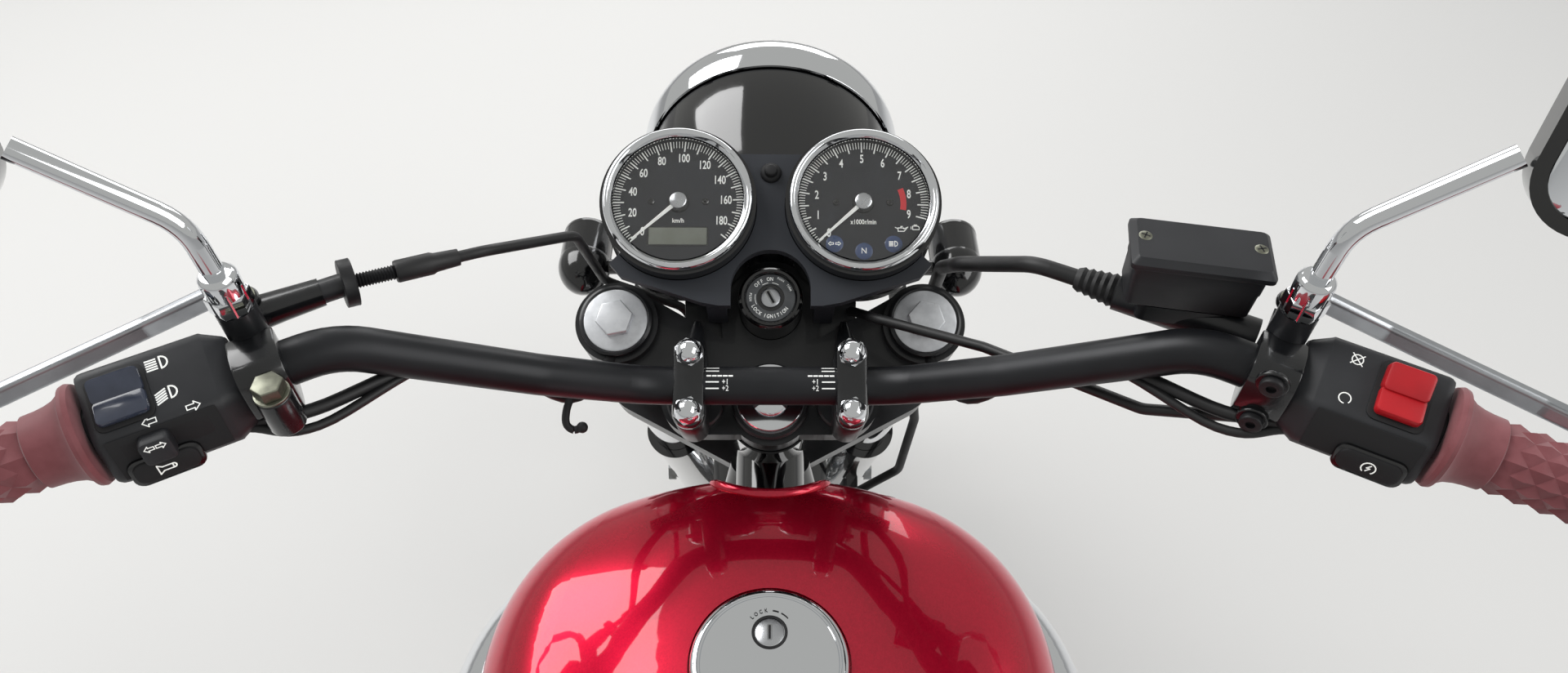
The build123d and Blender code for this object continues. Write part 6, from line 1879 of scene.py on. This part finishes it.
@dataclass
class Seat:
    """The upholstered seat: a foam pad swollen by cloth simulation, then sewn into channels and piped.

    Attributes:
        voxel: Size of the remeshed faces in metres.
        inset: How much smaller than its space the pad starts, in metres.
        pressure: The air that stands for foam.
        frames: Last frame of the simulation.
        cap: Furthest that a point may move, in metres.
        low: Height of the rails' tops in metres.
        front: The tank's rear face in metres.
        rear: The cowl's front face in metres.
        half: Half the width that the pad may take, in metres.
        channels: Places of the sewn channels along the machine, in metres.
        channel_depth: Depth of a channel in metres.
        channel_reach: Half the width of a channel in metres.
        sewn: Half the length of a channel in metres.
    """

    voxel: float = 0.005
    inset: float = 0.004
    pressure: float = 4.0
    frames: int = 20
    cap: float = 0.024
    low: float = 0.7737
    front: float = -0.1862
    rear: float = -0.5595
    half: float = 0.117
    channels: tuple[float, ...] = tuple(-0.232 - 0.034 * number for number in range(10))
    channel_depth: float = 0.0042
    channel_reach: float = 0.017
    sewn: float = 0.1

    def blank(self) -> bpy.types.Object:
        """Copy the seat's space, close it and remesh it finely.

        Returns:
            The pad, a little smaller than its space.
        """
        shape = bmesh.new()
        shape.from_mesh(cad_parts["seat"].data)
        bmesh.ops.remove_doubles(shape, verts=shape.verts, dist=1e-6)
        data = bpy.data.meshes.new("seat_pad")
        shape.to_mesh(data)
        shape.free()
        pad = bpy.data.objects.new("seat_pad", data)
        bpy.context.scene.collection.objects.link(pad)
        remesh = pad.modifiers.new("fine", "REMESH")
        remesh.mode = "VOXEL"
        remesh.voxel_size = self.voxel
        self.settle(pad)
        normals = [vert.normal.copy() for vert in pad.data.vertices]
        for vert, normal in zip(pad.data.vertices, normals):
            vert.co -= normal * self.inset
        return pad

    def settle(self, pad: bpy.types.Object) -> None:
        """Apply the live modifiers to the mesh.

        Args:
            pad: The seat's pad.
        """
        whole = bpy.context.evaluated_depsgraph_get()
        whole.update()
        data = bpy.data.meshes.new_from_object(pad.evaluated_get(whole))
        pad.modifiers.clear()
        old = pad.data
        pad.data = data
        bpy.data.meshes.remove(old)

    def swell(self, pad: bpy.types.Object) -> None:
        """Blow the pad up like foam in its cover, then hold every point to the cap.

        Args:
            pad: The seat's pad.
        """
        before = [vert.co.copy() for vert in pad.data.vertices]
        cloth = pad.modifiers.new("stuffing", "CLOTH")
        cloth.settings.use_pressure = True
        cloth.settings.uniform_pressure_force = self.pressure
        cloth.settings.effector_weights.gravity = 0
        cloth.settings.quality = 4
        cloth.point_cache.frame_start = 1
        cloth.point_cache.frame_end = self.frames
        scene = bpy.context.scene
        for number in range(1, self.frames + 1):
            scene.frame_set(number)
        self.settle(pad)
        scene.frame_set(1)
        for vert, start in zip(pad.data.vertices, before):
            move = vert.co - start
            if move.length > self.cap:
                vert.co = start + move.normalized() * self.cap

    def hold(self, pad: bpy.types.Object) -> None:
        """Keep the pad off the rails, the tank and the cowl.

        Args:
            pad: The seat's pad.
        """
        for vert in pad.data.vertices:
            vert.co.z = max(vert.co.z, self.low)
            vert.co.y = min(max(vert.co.y, self.rear), self.front)
            vert.co.x = min(max(vert.co.x, -self.half), self.half)

    def sew(self, pad: bpy.types.Object) -> None:
        """Pull the channels down across the top.

        Args:
            pad: The seat's pad.
        """
        pad.data.update()
        rises = [vert.normal.z for vert in pad.data.vertices]
        for vert, rise in zip(pad.data.vertices, rises):
            if rise < 0.35 or abs(vert.co.x) > self.sewn:
                continue
            edge = min(1.0, (self.sewn - abs(vert.co.x)) / 0.018)
            for spot in self.channels:
                gap = abs(vert.co.y - spot)
                if gap < self.channel_reach:
                    vert.co.z -= self.channel_depth * edge * (1 - gap / self.channel_reach) ** 1.7

    def trim(self, pad: bpy.types.Object) -> None:
        """Lay stitches in the channels and piping round the pad's foot.

        Args:
            pad: The seat's pad.
        """
        data = pad.data
        tree = BVHTree.FromPolygons([v.co for v in data.vertices], [list(p.vertices) for p in data.polygons])
        piece = Piece("seat_stitching", "chassis", "seat")
        places = []
        for spot in self.channels:
            for number in range(25):
                x = -0.09 + 0.0075 * number
                hit, normal = tree.ray_cast(Vector((x, spot, 1.1)), Vector((0, 0, -1)))[:2]
                if hit:
                    z = normal.normalized()
                    side = (ACROSS - z * z.x).normalized()
                    places.append(axes(hit / MM + z * 0.1, side, z.cross(side), z))
        piece.add(poured(block(4.6, 0.9, 0.6), bmesh.new(), places), HERE, STITCH)
        foot = rounded([(-113, -190), (113, -190), (113, -556), (-113, -556)], 14, 6)
        line = [Vector((x, y, self.low / MM + 7)) for x, y in [*foot, foot[0]]]
        piece.add(wire(line, 5, SKY, 10), HERE, SEAT_VINYL)
        piece.finish()

    def build(self) -> None:
        """Build the pad and its stitching."""
        pad = self.blank()
        self.swell(pad)
        self.hold(pad)
        smooth = bmesh.new()
        smooth.from_mesh(pad.data)
        bmesh.ops.smooth_vert(smooth, verts=smooth.verts, factor=0.5, use_axis_x=True, use_axis_y=True,
                              use_axis_z=True)
        smooth.to_mesh(pad.data)
        smooth.free()
        fine = pad.modifiers.new("fine", "SUBSURF")
        fine.levels = fine.render_levels = 1
        self.settle(pad)
        self.sew(pad)
        self.hold(pad)
        for face in pad.data.polygons:
            face.use_smooth = True
        pad.data.materials.clear()
        pad.data.materials.append(SEAT_VINYL.material())
        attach(pad, "chassis")
        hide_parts("seat")
        LOG.info("%s: %d faces on chassis", pad.name, len(pad.data.polygons))
        self.trim(pad)


@dataclass
class Tyre:
    """A treaded tyre: a moulded casing with a centre rib and staggered blocks.

    Attributes:
        name: Front or rear.
        axle: The axle's middle.
        radius: Outer radius.
        width: Width across the tread.
        rim_half: Half the rim's width.
        pitch: Number of blocks round.
        depth: Depth of the grooves.
    """

    name: str
    axle: Point
    radius: float
    width: float
    rim_half: float
    pitch: int = 54
    depth: float = 4.0

    @property
    def crown(self) -> float:
        """Radius of the tread's section."""
        drop = 0.42 * self.width
        return ((self.width / 2) ** 2 + drop**2) / (2 * drop)

    def spot(self, degree: float, inset: float) -> Flat:
        """A point of the tread's section.

        Args:
            degree: Angle from the crown.
            inset: Depth below the crown.

        Returns:
            Its radius and place across.
        """
        reach = self.crown - inset
        turn = radians(degree)
        return self.radius - self.crown + reach * cos(turn), reach * sin(turn)

    def casing(self) -> Shape:
        """Turn the casing from bead to bead.

        Returns:
            The shape about local Z.
        """
        half = self.rim_half
        wall = [(229.2, half - 4.6), (240.8, half - 4.6), (243, half - 1), (247, half + 1.6),
                (252, half + 2.0), (254, half + 4.5), (256, half + 4.8)]
        shoulder = ((80, 0.3), (76, 0.25), (70, 0.55), (64, 1))
        side = [self.spot(degree, self.depth * share) for degree, share in shoulder]
        tread = [self.spot(degree, self.depth) for degree in range(56, -1, -8)]
        right = wall + side + tread
        left = [(r, -x) for r, x in reversed(right[:-1])]
        return turned(right + left, 108, True)

    def tread_block(self, low: float, high: float, share: float, skew: float) -> Shape:
        """One block between two angles of the section.

        Args:
            low: Inner angle from the crown, in degrees.
            high: Outer angle.
            share: How much of a pitch it fills.
            skew: How far its outer end trails, in pitches.

        Returns:
            The block at the top of its pitch.
        """
        inner = [self.spot(low + (high - low) * n / 3, self.depth + 0.6) for n in range(4)]
        outer = [self.spot(high + (low - high) * n / 3, 0.1) for n in range(4)]
        shape = bmesh.new()
        face = shape.faces.new([shape.verts.new((r, 0, x)) for r, x in inner + outer])
        turn = 2 * pi / self.pitch
        bmesh.ops.spin(shape, geom=[face, *face.edges, *face.verts], cent=(0, 0, 0), axis=(0, 0, 1),
                       angle=turn * share, steps=1, use_merge=False)
        for vert in shape.verts:
            reach = degrees(atan2(abs(vert.co.z), vert.co.xy.length - (self.radius - self.crown)))
            swing = Matrix.Rotation(turn * skew * (reach - abs(low)) / abs(high - low), 3, "Z")
            vert.co = swing @ vert.co
        return tidy(shape)

    def build(self) -> None:
        """Build the tyre."""
        node = f"{self.name}_tyre"
        piece = Piece(f"{node}_treaded", f"{self.name}_wheel", node, (node,))
        place = facing(self.axle, (1, 0, 0))
        piece.add(self.casing(), place, TYRE_RUBBER)
        rib = [self.spot(degree, 0.1) for degree in (-6, -3, 0, 3, 6)]
        rib += [self.spot(degree, self.depth + 0.6) for degree in (6, -6)]
        piece.add(turned(rib, 108, True), place, TYRE_RUBBER)
        turn = 2 * pi / self.pitch
        rows = ((10, 33, 0.72, 0.75, 0.0), (37, 60, 0.7, 0.5, 0.55))
        for side in SIDES:
            for low, high, share, skew, shift in rows:
                turns = [turn * (number + shift + 0.25 * side) for number in range(self.pitch)]
                places = [Matrix.Rotation(angle, 4, "Z") for angle in turns]
                shape = self.tread_block(side * low, side * high, share, skew)
                piece.add(poured(shape, bmesh.new(), places), place, TYRE_RUBBER)
        piece.finish()


@dataclass
class WheelTrim:
    """The tyres, nipples at the rims, the valves and the bolts of the front disc.

    Attributes:
        spokes_a_side: Spokes on each side of a wheel.
        rim_r: Radius that the spokes reach.
        disc_x: Place across of the disc's outer face.
        disc_circle: Radius of its bolts' circle.
    """

    spokes_a_side: int = 18
    rim_r: float = 210.7
    disc_x: float = 62.0
    disc_circle: float = 36.0

    def nipples(self, name: str, axle: Point, flange: Flat, lacing: float) -> None:
        """Screw a nipple on every spoke.

        Args:
            name: Front or rear.
            axle: The axle's middle.
            flange: Distance of the hub's flanges from the middle, and their radius.
            lacing: Angle that a spoke leads or trails, in degrees.
        """
        piece = Piece(f"{name}_spoke_nipples", f"{name}_wheel", f"{name}_rim")
        section = [(0, 0), (2.7, 0), (2.9, 1), (2.9, 9), (4.2, 10), (4.2, 12.5), (0, 12.5)]
        flange_x, flange_r = flange
        places = []
        for side in SIDES:
            for number in range(self.spokes_a_side):
                lead = 1 if number % 2 else -1
                hub = radians(360 / self.spokes_a_side * (number + 0.25 * side))
                rim = hub + radians(lead * lacing)
                ends = []
                for x, r, angle in ((flange_x, flange_r, hub), (4, self.rim_r, rim)):
                    spot = Vector((side * (x + lead * 4.5), r * cos(angle), r * sin(angle)))
                    ends.append(Vector(axle) + spot)
                start, end = ends
                run = (end - start).normalized()
                places.append(aimed(end - run * 8, end))
        piece.add(poured(turned(section, 10), bmesh.new(), places), HERE, ZINC)
        valve = Vector(axle) + Vector((0, 0, -205))
        stem = [(0, 0), (3.6, 0), (3.8, 2), (3.8, 9), (2.6, 10), (2.6, 22), (0, 22)]
        piece.add(turned(stem, 20), facing(valve + SKY * 22, (0, 0, 18)), SOFT_BLACK_AND_SHADE)
        piece.finish()

    def disc_bolts(self) -> None:
        """Bolt the front disc to its hub."""
        piece = Piece("front_disc_bolts", "front_wheel", "front_disc")
        for number in range(6):
            angle = 2 * pi * (number + 0.5) / 6
            spot = Vector((0, self.disc_circle * cos(angle),
                           self.disc_circle * sin(angle))) + Vector(FRONT_AXLE)
            spot.x = self.disc_x
            piece.add(hexagon_bolt(10, 4.5, 6), facing(spot, (1, 0, 0)), ZINC)
        piece.finish()

    def build(self) -> None:
        """Build both wheels' tyres and trim."""
        Tyre("front", FRONT_AXLE, 318.5, 100, 30).build()
        Tyre("rear", REAR_AXLE, 324.5, 120, 35, 50).build()
        self.nipples("front", FRONT_AXLE, (33, 33), 60)
        self.nipples("rear", REAR_AXLE, (36, 77), 40)
        self.disc_bolts()


@dataclass
class Engine:
    """Domed side covers with their screws, plugs and leads, header flanges and the carburettors' fittings.

    Attributes:
        covers: Side, forward, up, radius and thickness of each cover.
        face_x: Distance of the crankcase's sides from the middle.
        barrel_x: Distance of the barrels from the middle.
        port_z: Height of the ports.
        middle_y: The cylinders' place along the machine.
        tank_z: Height of the tank's foot.
    """

    covers: tuple[tuple[int, float, float, float, float], ...] = (
        (1, 40, 345, 78, 38), (1, -85, 345, 52, 20), (-1, 60, 340, 74, 34), (-1, -95, 352, 56, 14))
    face_x: float = 124.3
    barrel_x: float = field(init=False)
    port_z: float = field(init=False)
    middle_y: float = field(init=False)
    tank_z: float = field(init=False)

    def __post_init__(self) -> None:
        """Read the barrels' and the tank's places from the frame."""
        self.tank_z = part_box("fuel_tank")[0].z / MM
        low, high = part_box("carburettors")
        self.port_z = low.z / MM + 44
        rear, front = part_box("cylinders")
        self.middle_y = (rear.y + front.y) / 2 / MM
        self.barrel_x = high.x / MM - 30

    def side_covers(self) -> None:
        """Turn the domed covers and ring them with screws."""
        piece = Piece("engine_domed_covers", "chassis", "engine_covers", ("engine_covers",))
        for side, y, z, r, t in self.covers:
            spot = Vector((side * self.face_x, y, z))
            place = facing(spot, (side, 0, 0))
            section = [(0, t), (r * 0.42, t), (r * 0.46, t - 1.6), (r * 0.5, t - 0.4), (r * 0.66, t - 1.5),
                       (r * 0.76, t - 4), (r * 0.82, t - 9), (r * 0.84, max(t - 16, 7)), (r * 0.85, 7),
                       (r * 0.98, 6.4), (r, 4.8), (r, 0), (0, 0)]
            piece.add(turned(section, 96), place, POLISHED)
            count = 8 if r > 60 else 6
            for number in range(count):
                angle = 2 * pi * (number + 0.5) / count
                screw = place @ local(r * 0.925 * cos(angle), r * 0.925 * sin(angle), 6.4)
                piece.add(socket_bolt(4.4, 4.2), screw, ZINC)
            ring = [(r * 0.2, t - 0.3), (r * 0.2, t), (r * 0.26, t), (r * 0.26, t - 0.3)]
            piece.add(turned(ring, 64, True), place, BLACK_CAST)
        piece.finish()

    def plugs(self) -> None:
        """Fit plugs with caps and run their leads up to the frame."""
        piece = Piece("spark_plugs_and_leads", "chassis", "cylinders")
        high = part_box("cylinders")[1].z / MM
        for side in SIDES:
            x = side * self.barrel_x
            foot = Vector((x, self.middle_y + 74, self.port_z + 20))
            tip = foot + Vector((0, 26, 20))
            place = aimed(foot, tip)
            piece.add(drum(8, 8, 0.6, 6), place, ZINC)
            cap = [(0, 8), (4.6, 8), (4.6, 17), (8.2, 18), (8.6, 22), (8.6, 40), (6.4, 43), (0, 43)]
            piece.add(turned(cap, 28), place, SOFT_BLACK_AND_SHADE)
            end = place @ Vector((0, 0, 42))
            route = [end, end + Vector((-side * 3, 14, 26)),
                     Vector((side * 44, self.middle_y + 96, high + 60)),
                     Vector((side * 30, self.middle_y + 60, self.tank_z - 30)),
                     Vector((side * 24, self.middle_y + 44, self.tank_z + 24))]
            piece.add(wire(smooth_points(route, 8), 6.4, ACROSS, 10), HERE, HOSE_RUBBER)
        for side in SIDES:
            for along in (-44, 44):
                piece.add(hexagon_bolt(13, 7, 8), upright(side * 72, self.middle_y + along, high - 3), CHROME)
        piece.finish()

    def port_flanges(self) -> None:
        """Clamp each header to its port with a finned collar and two nuts."""
        piece = Piece("header_collars", "chassis", "exhausts")
        section = [(19.6, 0), (31, 0), (31, 3), (26, 4), (26, 6), (31, 7), (31, 10), (26, 11), (26, 13),
                   (29, 14), (28, 17), (19.6, 17)]
        for side in SIDES:
            spot = Vector((side * self.barrel_x, self.middle_y + 85, self.port_z))
            place = facing(spot, (0, 1, 0))
            piece.add(turned(section, 60, True), place, POLISHED)
            for turn in SIDES:
                piece.add(hexagon_bolt(11, 6, 6.4), place @ local(turn * 26, 0, 16), ZINC)
        piece.finish()

    def carburettor_fittings(self) -> None:
        """Add the bowls' screws, the tops and each intake's bell."""
        piece = Piece("carburettor_fittings", "chassis", "carburettors")
        bell = [(20, -4), (20, 0), (24, 3.6), (29.6, 4.4), (30.4, 1.4), (30.4, -8), (28, -8)]
        y = self.middle_y - 118
        for side in SIDES:
            x = side * self.barrel_x
            top = upright(x, y, self.port_z + 45.8)
            piece.add(turned([(0, 7), (12, 6.6), (17, 4.4), (20, 0), (0, 0)], 48), top, RAW_CAST)
            piece.add(drum(5.5, 10, 0.8, 6), top @ local(z=6), ZINC)
            bowl = upright(x, y, self.port_z - 44.3)
            piece.add(turned([(0, -7), (12, -6.6), (17, -4), (19, 0), (0, 0)], 48), bowl, RAW_CAST)
            for turn in range(4):
                angle = pi / 4 + turn * pi / 2
                spot = bowl @ local(18 * cos(angle), 18 * sin(angle), 0) @ Matrix.Rotation(pi, 4, "X")
                piece.add(socket_bolt(2.8, 2.4), spot, ZINC)
            mouth = Vector((x, self.middle_y - 188.2, self.port_z))
            place = facing(mouth, (0, -1, 0))
            piece.add(turned(bell, 64, True), place, POLISHED)
            # A black disc just inside the bell: painted shade in the intake's throat.
            piece.add(turned([(0, -1), (19.8, -1), (19.8, -2), (0, -2)], 48), place, SOFT_BLACK_AND_SHADE)
        piece.finish()

    def build(self) -> None:
        """Build the engine's trim."""
        self.side_covers()
        self.plugs()
        self.port_flanges()
        self.carburettor_fittings()


@dataclass
class Suspension:
    """The rear shocks: a polished body, a chrome spring and its collars.

    Attributes:
        low: The lower eye, across, forward and up.
        high: The upper eye.
        coils: Turns of the spring.
        coil_r: Radius of its coils.
        thickness: Diameter of its wire.
    """

    low: Point = (143, -632, 356)
    high: Point = (143, -530, 712)
    coils: int = 9
    coil_r: float = 22.4
    thickness: float = 7.4

    def spring(self, start: float, end: float) -> Shape:
        """Coil one spring, with its end turns closed.

        Args:
            start: Height of its lower end.
            end: Height of its upper end.

        Returns:
            The shape about local Z.
        """
        line = []
        steps = self.coils * 20
        for number in range(steps + 1):
            share = number / steps
            angle = 2 * pi * self.coils * share
            height = start + (end - start) * min(max((share - 0.04) / 0.92, 0), 1)
            line.append(Vector((self.coil_r * cos(angle), self.coil_r * sin(angle), height)))
        return wire(line, self.thickness, SKY, 10)

    def build(self) -> None:
        """Build both shocks."""
        piece = Piece("sprung_shocks", "chassis", "rear_shocks", ("rear_shocks",))
        sleeve = [(8.4, 0), (14.4, 0), (15, 1), (15, 21), (14.4, 22), (8.4, 22)]
        for side in SIDES:
            foot = Vector((side * self.low[0], *self.low[1:]))
            head = Vector((side * self.high[0], *self.high[1:]))
            place = aimed(foot, head)
            length = (head - foot).length
            body = [(0, 12), (13.5, 12), (14, 14), (14, 40), (27, 40), (27, 47.5), (15.6, 49), (15.6, 190),
                    (13.4, 192), (6, 192), (6, length - 60), (13, length - 60), (13, length - 12),
                    (0, length - 12)]
            piece.add(turned(body, 56), place, POLISHED)
            cover = [(17.6, length - 26), (27.2, length - 29), (27.2, length - 110), (26.2, length - 112),
                     (17.6, length - 112)]
            piece.add(turned(cover, 64, True), place, CHROME)
            piece.add(self.spring(52, length - 116), place, SPRING_CHROME)
            collar = [(15.7, 48), (27.4, 48), (27.4, 53), (24, 54), (15.7, 54)]
            piece.add(turned(collar, 40, True), place, BLACK_CAST)
            for end in (foot, head):
                eye = aimed(end - Vector((11, 0, 0)), end + Vector((11, 0, 0)))
                piece.add(turned(sleeve, 44, True), eye, POLISHED)
                cap = end + Vector((side * 14.4, 0, 0))
                piece.add(hexagon_bolt(16, 6, 10.5), facing(cap, (side, 0, 0)), CHROME)
        piece.finish()


@dataclass
class Tail:
    """The tail lamp's housing, the blank plate, side covers' knobs, muffler tips and footrest rubbers.

    Attributes:
        lamp_z: Height of the tail lamp's middle.
        plate_z: Height of the plate's middle.
        plate_size: Width and height of the plate.
    """

    lamp_z: float = 640.0
    plate_z: float = 530.0
    plate_size: Flat = (168.0, 102.0)

    def lamp_housing(self) -> None:
        """Ring the red lens with chrome and back it with a black cup."""
        piece = Piece("tail_lamp_housing", "chassis", "tail_lamp")
        rear = facing((0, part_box("tail_lamp")[0].y / MM, self.lamp_z), (0, -1, 0))
        ring = [(30.5, -13.4), (36.6, -13.4), (37.4, -12), (37.4, -6), (36.2, -4.4), (34.2, -4.4)]
        piece.add(turned(ring, 72, True), rear, CHROME)
        piece.add(turned([(36.1, -60), (36.6, -60), (36.9, -13.5), (36.1, -13.5)], 72, True), rear,
                  GLOSS_BLACK)
        piece.finish()

    def number_plate(self) -> None:
        """Hang a blank plate with a raised edge on the bracket."""
        piece = Piece("blank_number_plate", "chassis", "rear_mudguard")
        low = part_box("rear_mudguard")[0].y / MM
        place = facing((0, low - 0.05, self.plate_z), (0, -1, 0))
        piece.add(prism(rounded(oblong(*self.plate_size), 7, 5), 1.2, 0, 0.3), place, PLATE_ENAMEL)
        piece.finish()

    def muffler_tips(self) -> None:
        """Roll a lip on each muffler's end and clamp its front."""
        piece = Piece("muffler_trim", "chassis", "exhausts")
        lip = [(23.6, -6), (30.4, -6), (31, -3), (30.6, 0), (28, 1), (24.4, 0.4)]
        collar = [(22.5, 0), (25.4, 0), (25.8, 1), (25.8, 13), (25.4, 14), (22.5, 14)]
        for side in SIDES:
            start, end = Vector((side * 193, -250, 250)), Vector((side * 193, -850, 300))
            run = (end - start).normalized()
            tail = aimed(end - run * 1.0, end)
            piece.add(turned(lip, 60, True), tail, CHROME)
            piece.add(turned([(0, -48), (23.8, -48), (23.8, -47), (0, -47)], 48), tail, SOOT)
            band = aimed(start + run * 4, end)
            piece.add(turned(collar, 60, True), band, CHROME)
            lug = band @ local(0, -28, 7)
            piece.add(block(10, 12, 9, 1.5, 0.8), lug @ local(z=-4.5), CHROME)
            piece.add(hexagon_bolt(9, 5, 5.5), lug @ Matrix.Rotation(side * pi / 2, 4, "Y") @ local(z=5),
                      ZINC)
        piece.finish()

    def footrests(self) -> None:
        """Slip a ribbed rubber over each footrest."""
        piece = Piece("footrest_rubbers", "chassis", "foot_controls")
        section = [(11.2, 0), (14.6, 0)]
        for rib in range(10):
            section += [(13.0, 2 + rib * 8), (14.8, 4 + rib * 8), (14.8, 8 + rib * 8)]
        section += [(13.6, 84), (16.8, 86), (16.8, 91), (11.2, 91)]
        for side in SIDES:
            piece.add(turned(section, 40, True), facing((side * 158, -330, 420), (side, 0, 0)), SOFT_BLACK_AND_SHADE)
        piece.finish()

    def cover_knobs(self) -> None:
        """Fix the side covers with knobs."""
        piece = Piece("side_cover_knobs", "chassis", "side_covers")
        knob = [(0, 4.4), (6, 4.2), (8.6, 3), (9.4, 0), (0, 0)]
        for side in SIDES:
            for y, z in ((-140, 700), (-345, 700), (-190, 540)):
                piece.add(turned(knob, 32), facing((side * 123.3, y, z), (side, 0, 0)), CHROME)
        piece.finish()

    def build(self) -> None:
        """Build the rear's trim."""
        self.lamp_housing()
        self.number_plate()
        self.muffler_tips()
        self.footrests()
        self.cover_knobs()


def dress_nodes() -> None:
    """Give each CAD node its finish."""
    for name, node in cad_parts.items():
        finish = NODE_FINISHES[name]
        node.data.materials.clear()
        node.data.materials.append(finish.material())
        for face in node.data.polygons:
            face.material_index = 0


def main() -> None:
    """Build the studio and every piece in order."""
    logging.basicConfig(level=logging.INFO, format="%(name)s: %(message)s")
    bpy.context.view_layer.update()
    Studio().build()
    dress_nodes()
    for part in (Gauges(), IgnitionLock(), ClampFittings(), Risers(), Switches(), Grips(), Perches(),
                 Reservoir(), Mirrors(), Indicators(), Tank(), Headlamp(), WheelTrim(), Engine(),
                 Suspension(), Tail(), Seat()):
        part.build()


if __name__ == "__main__":
    main()
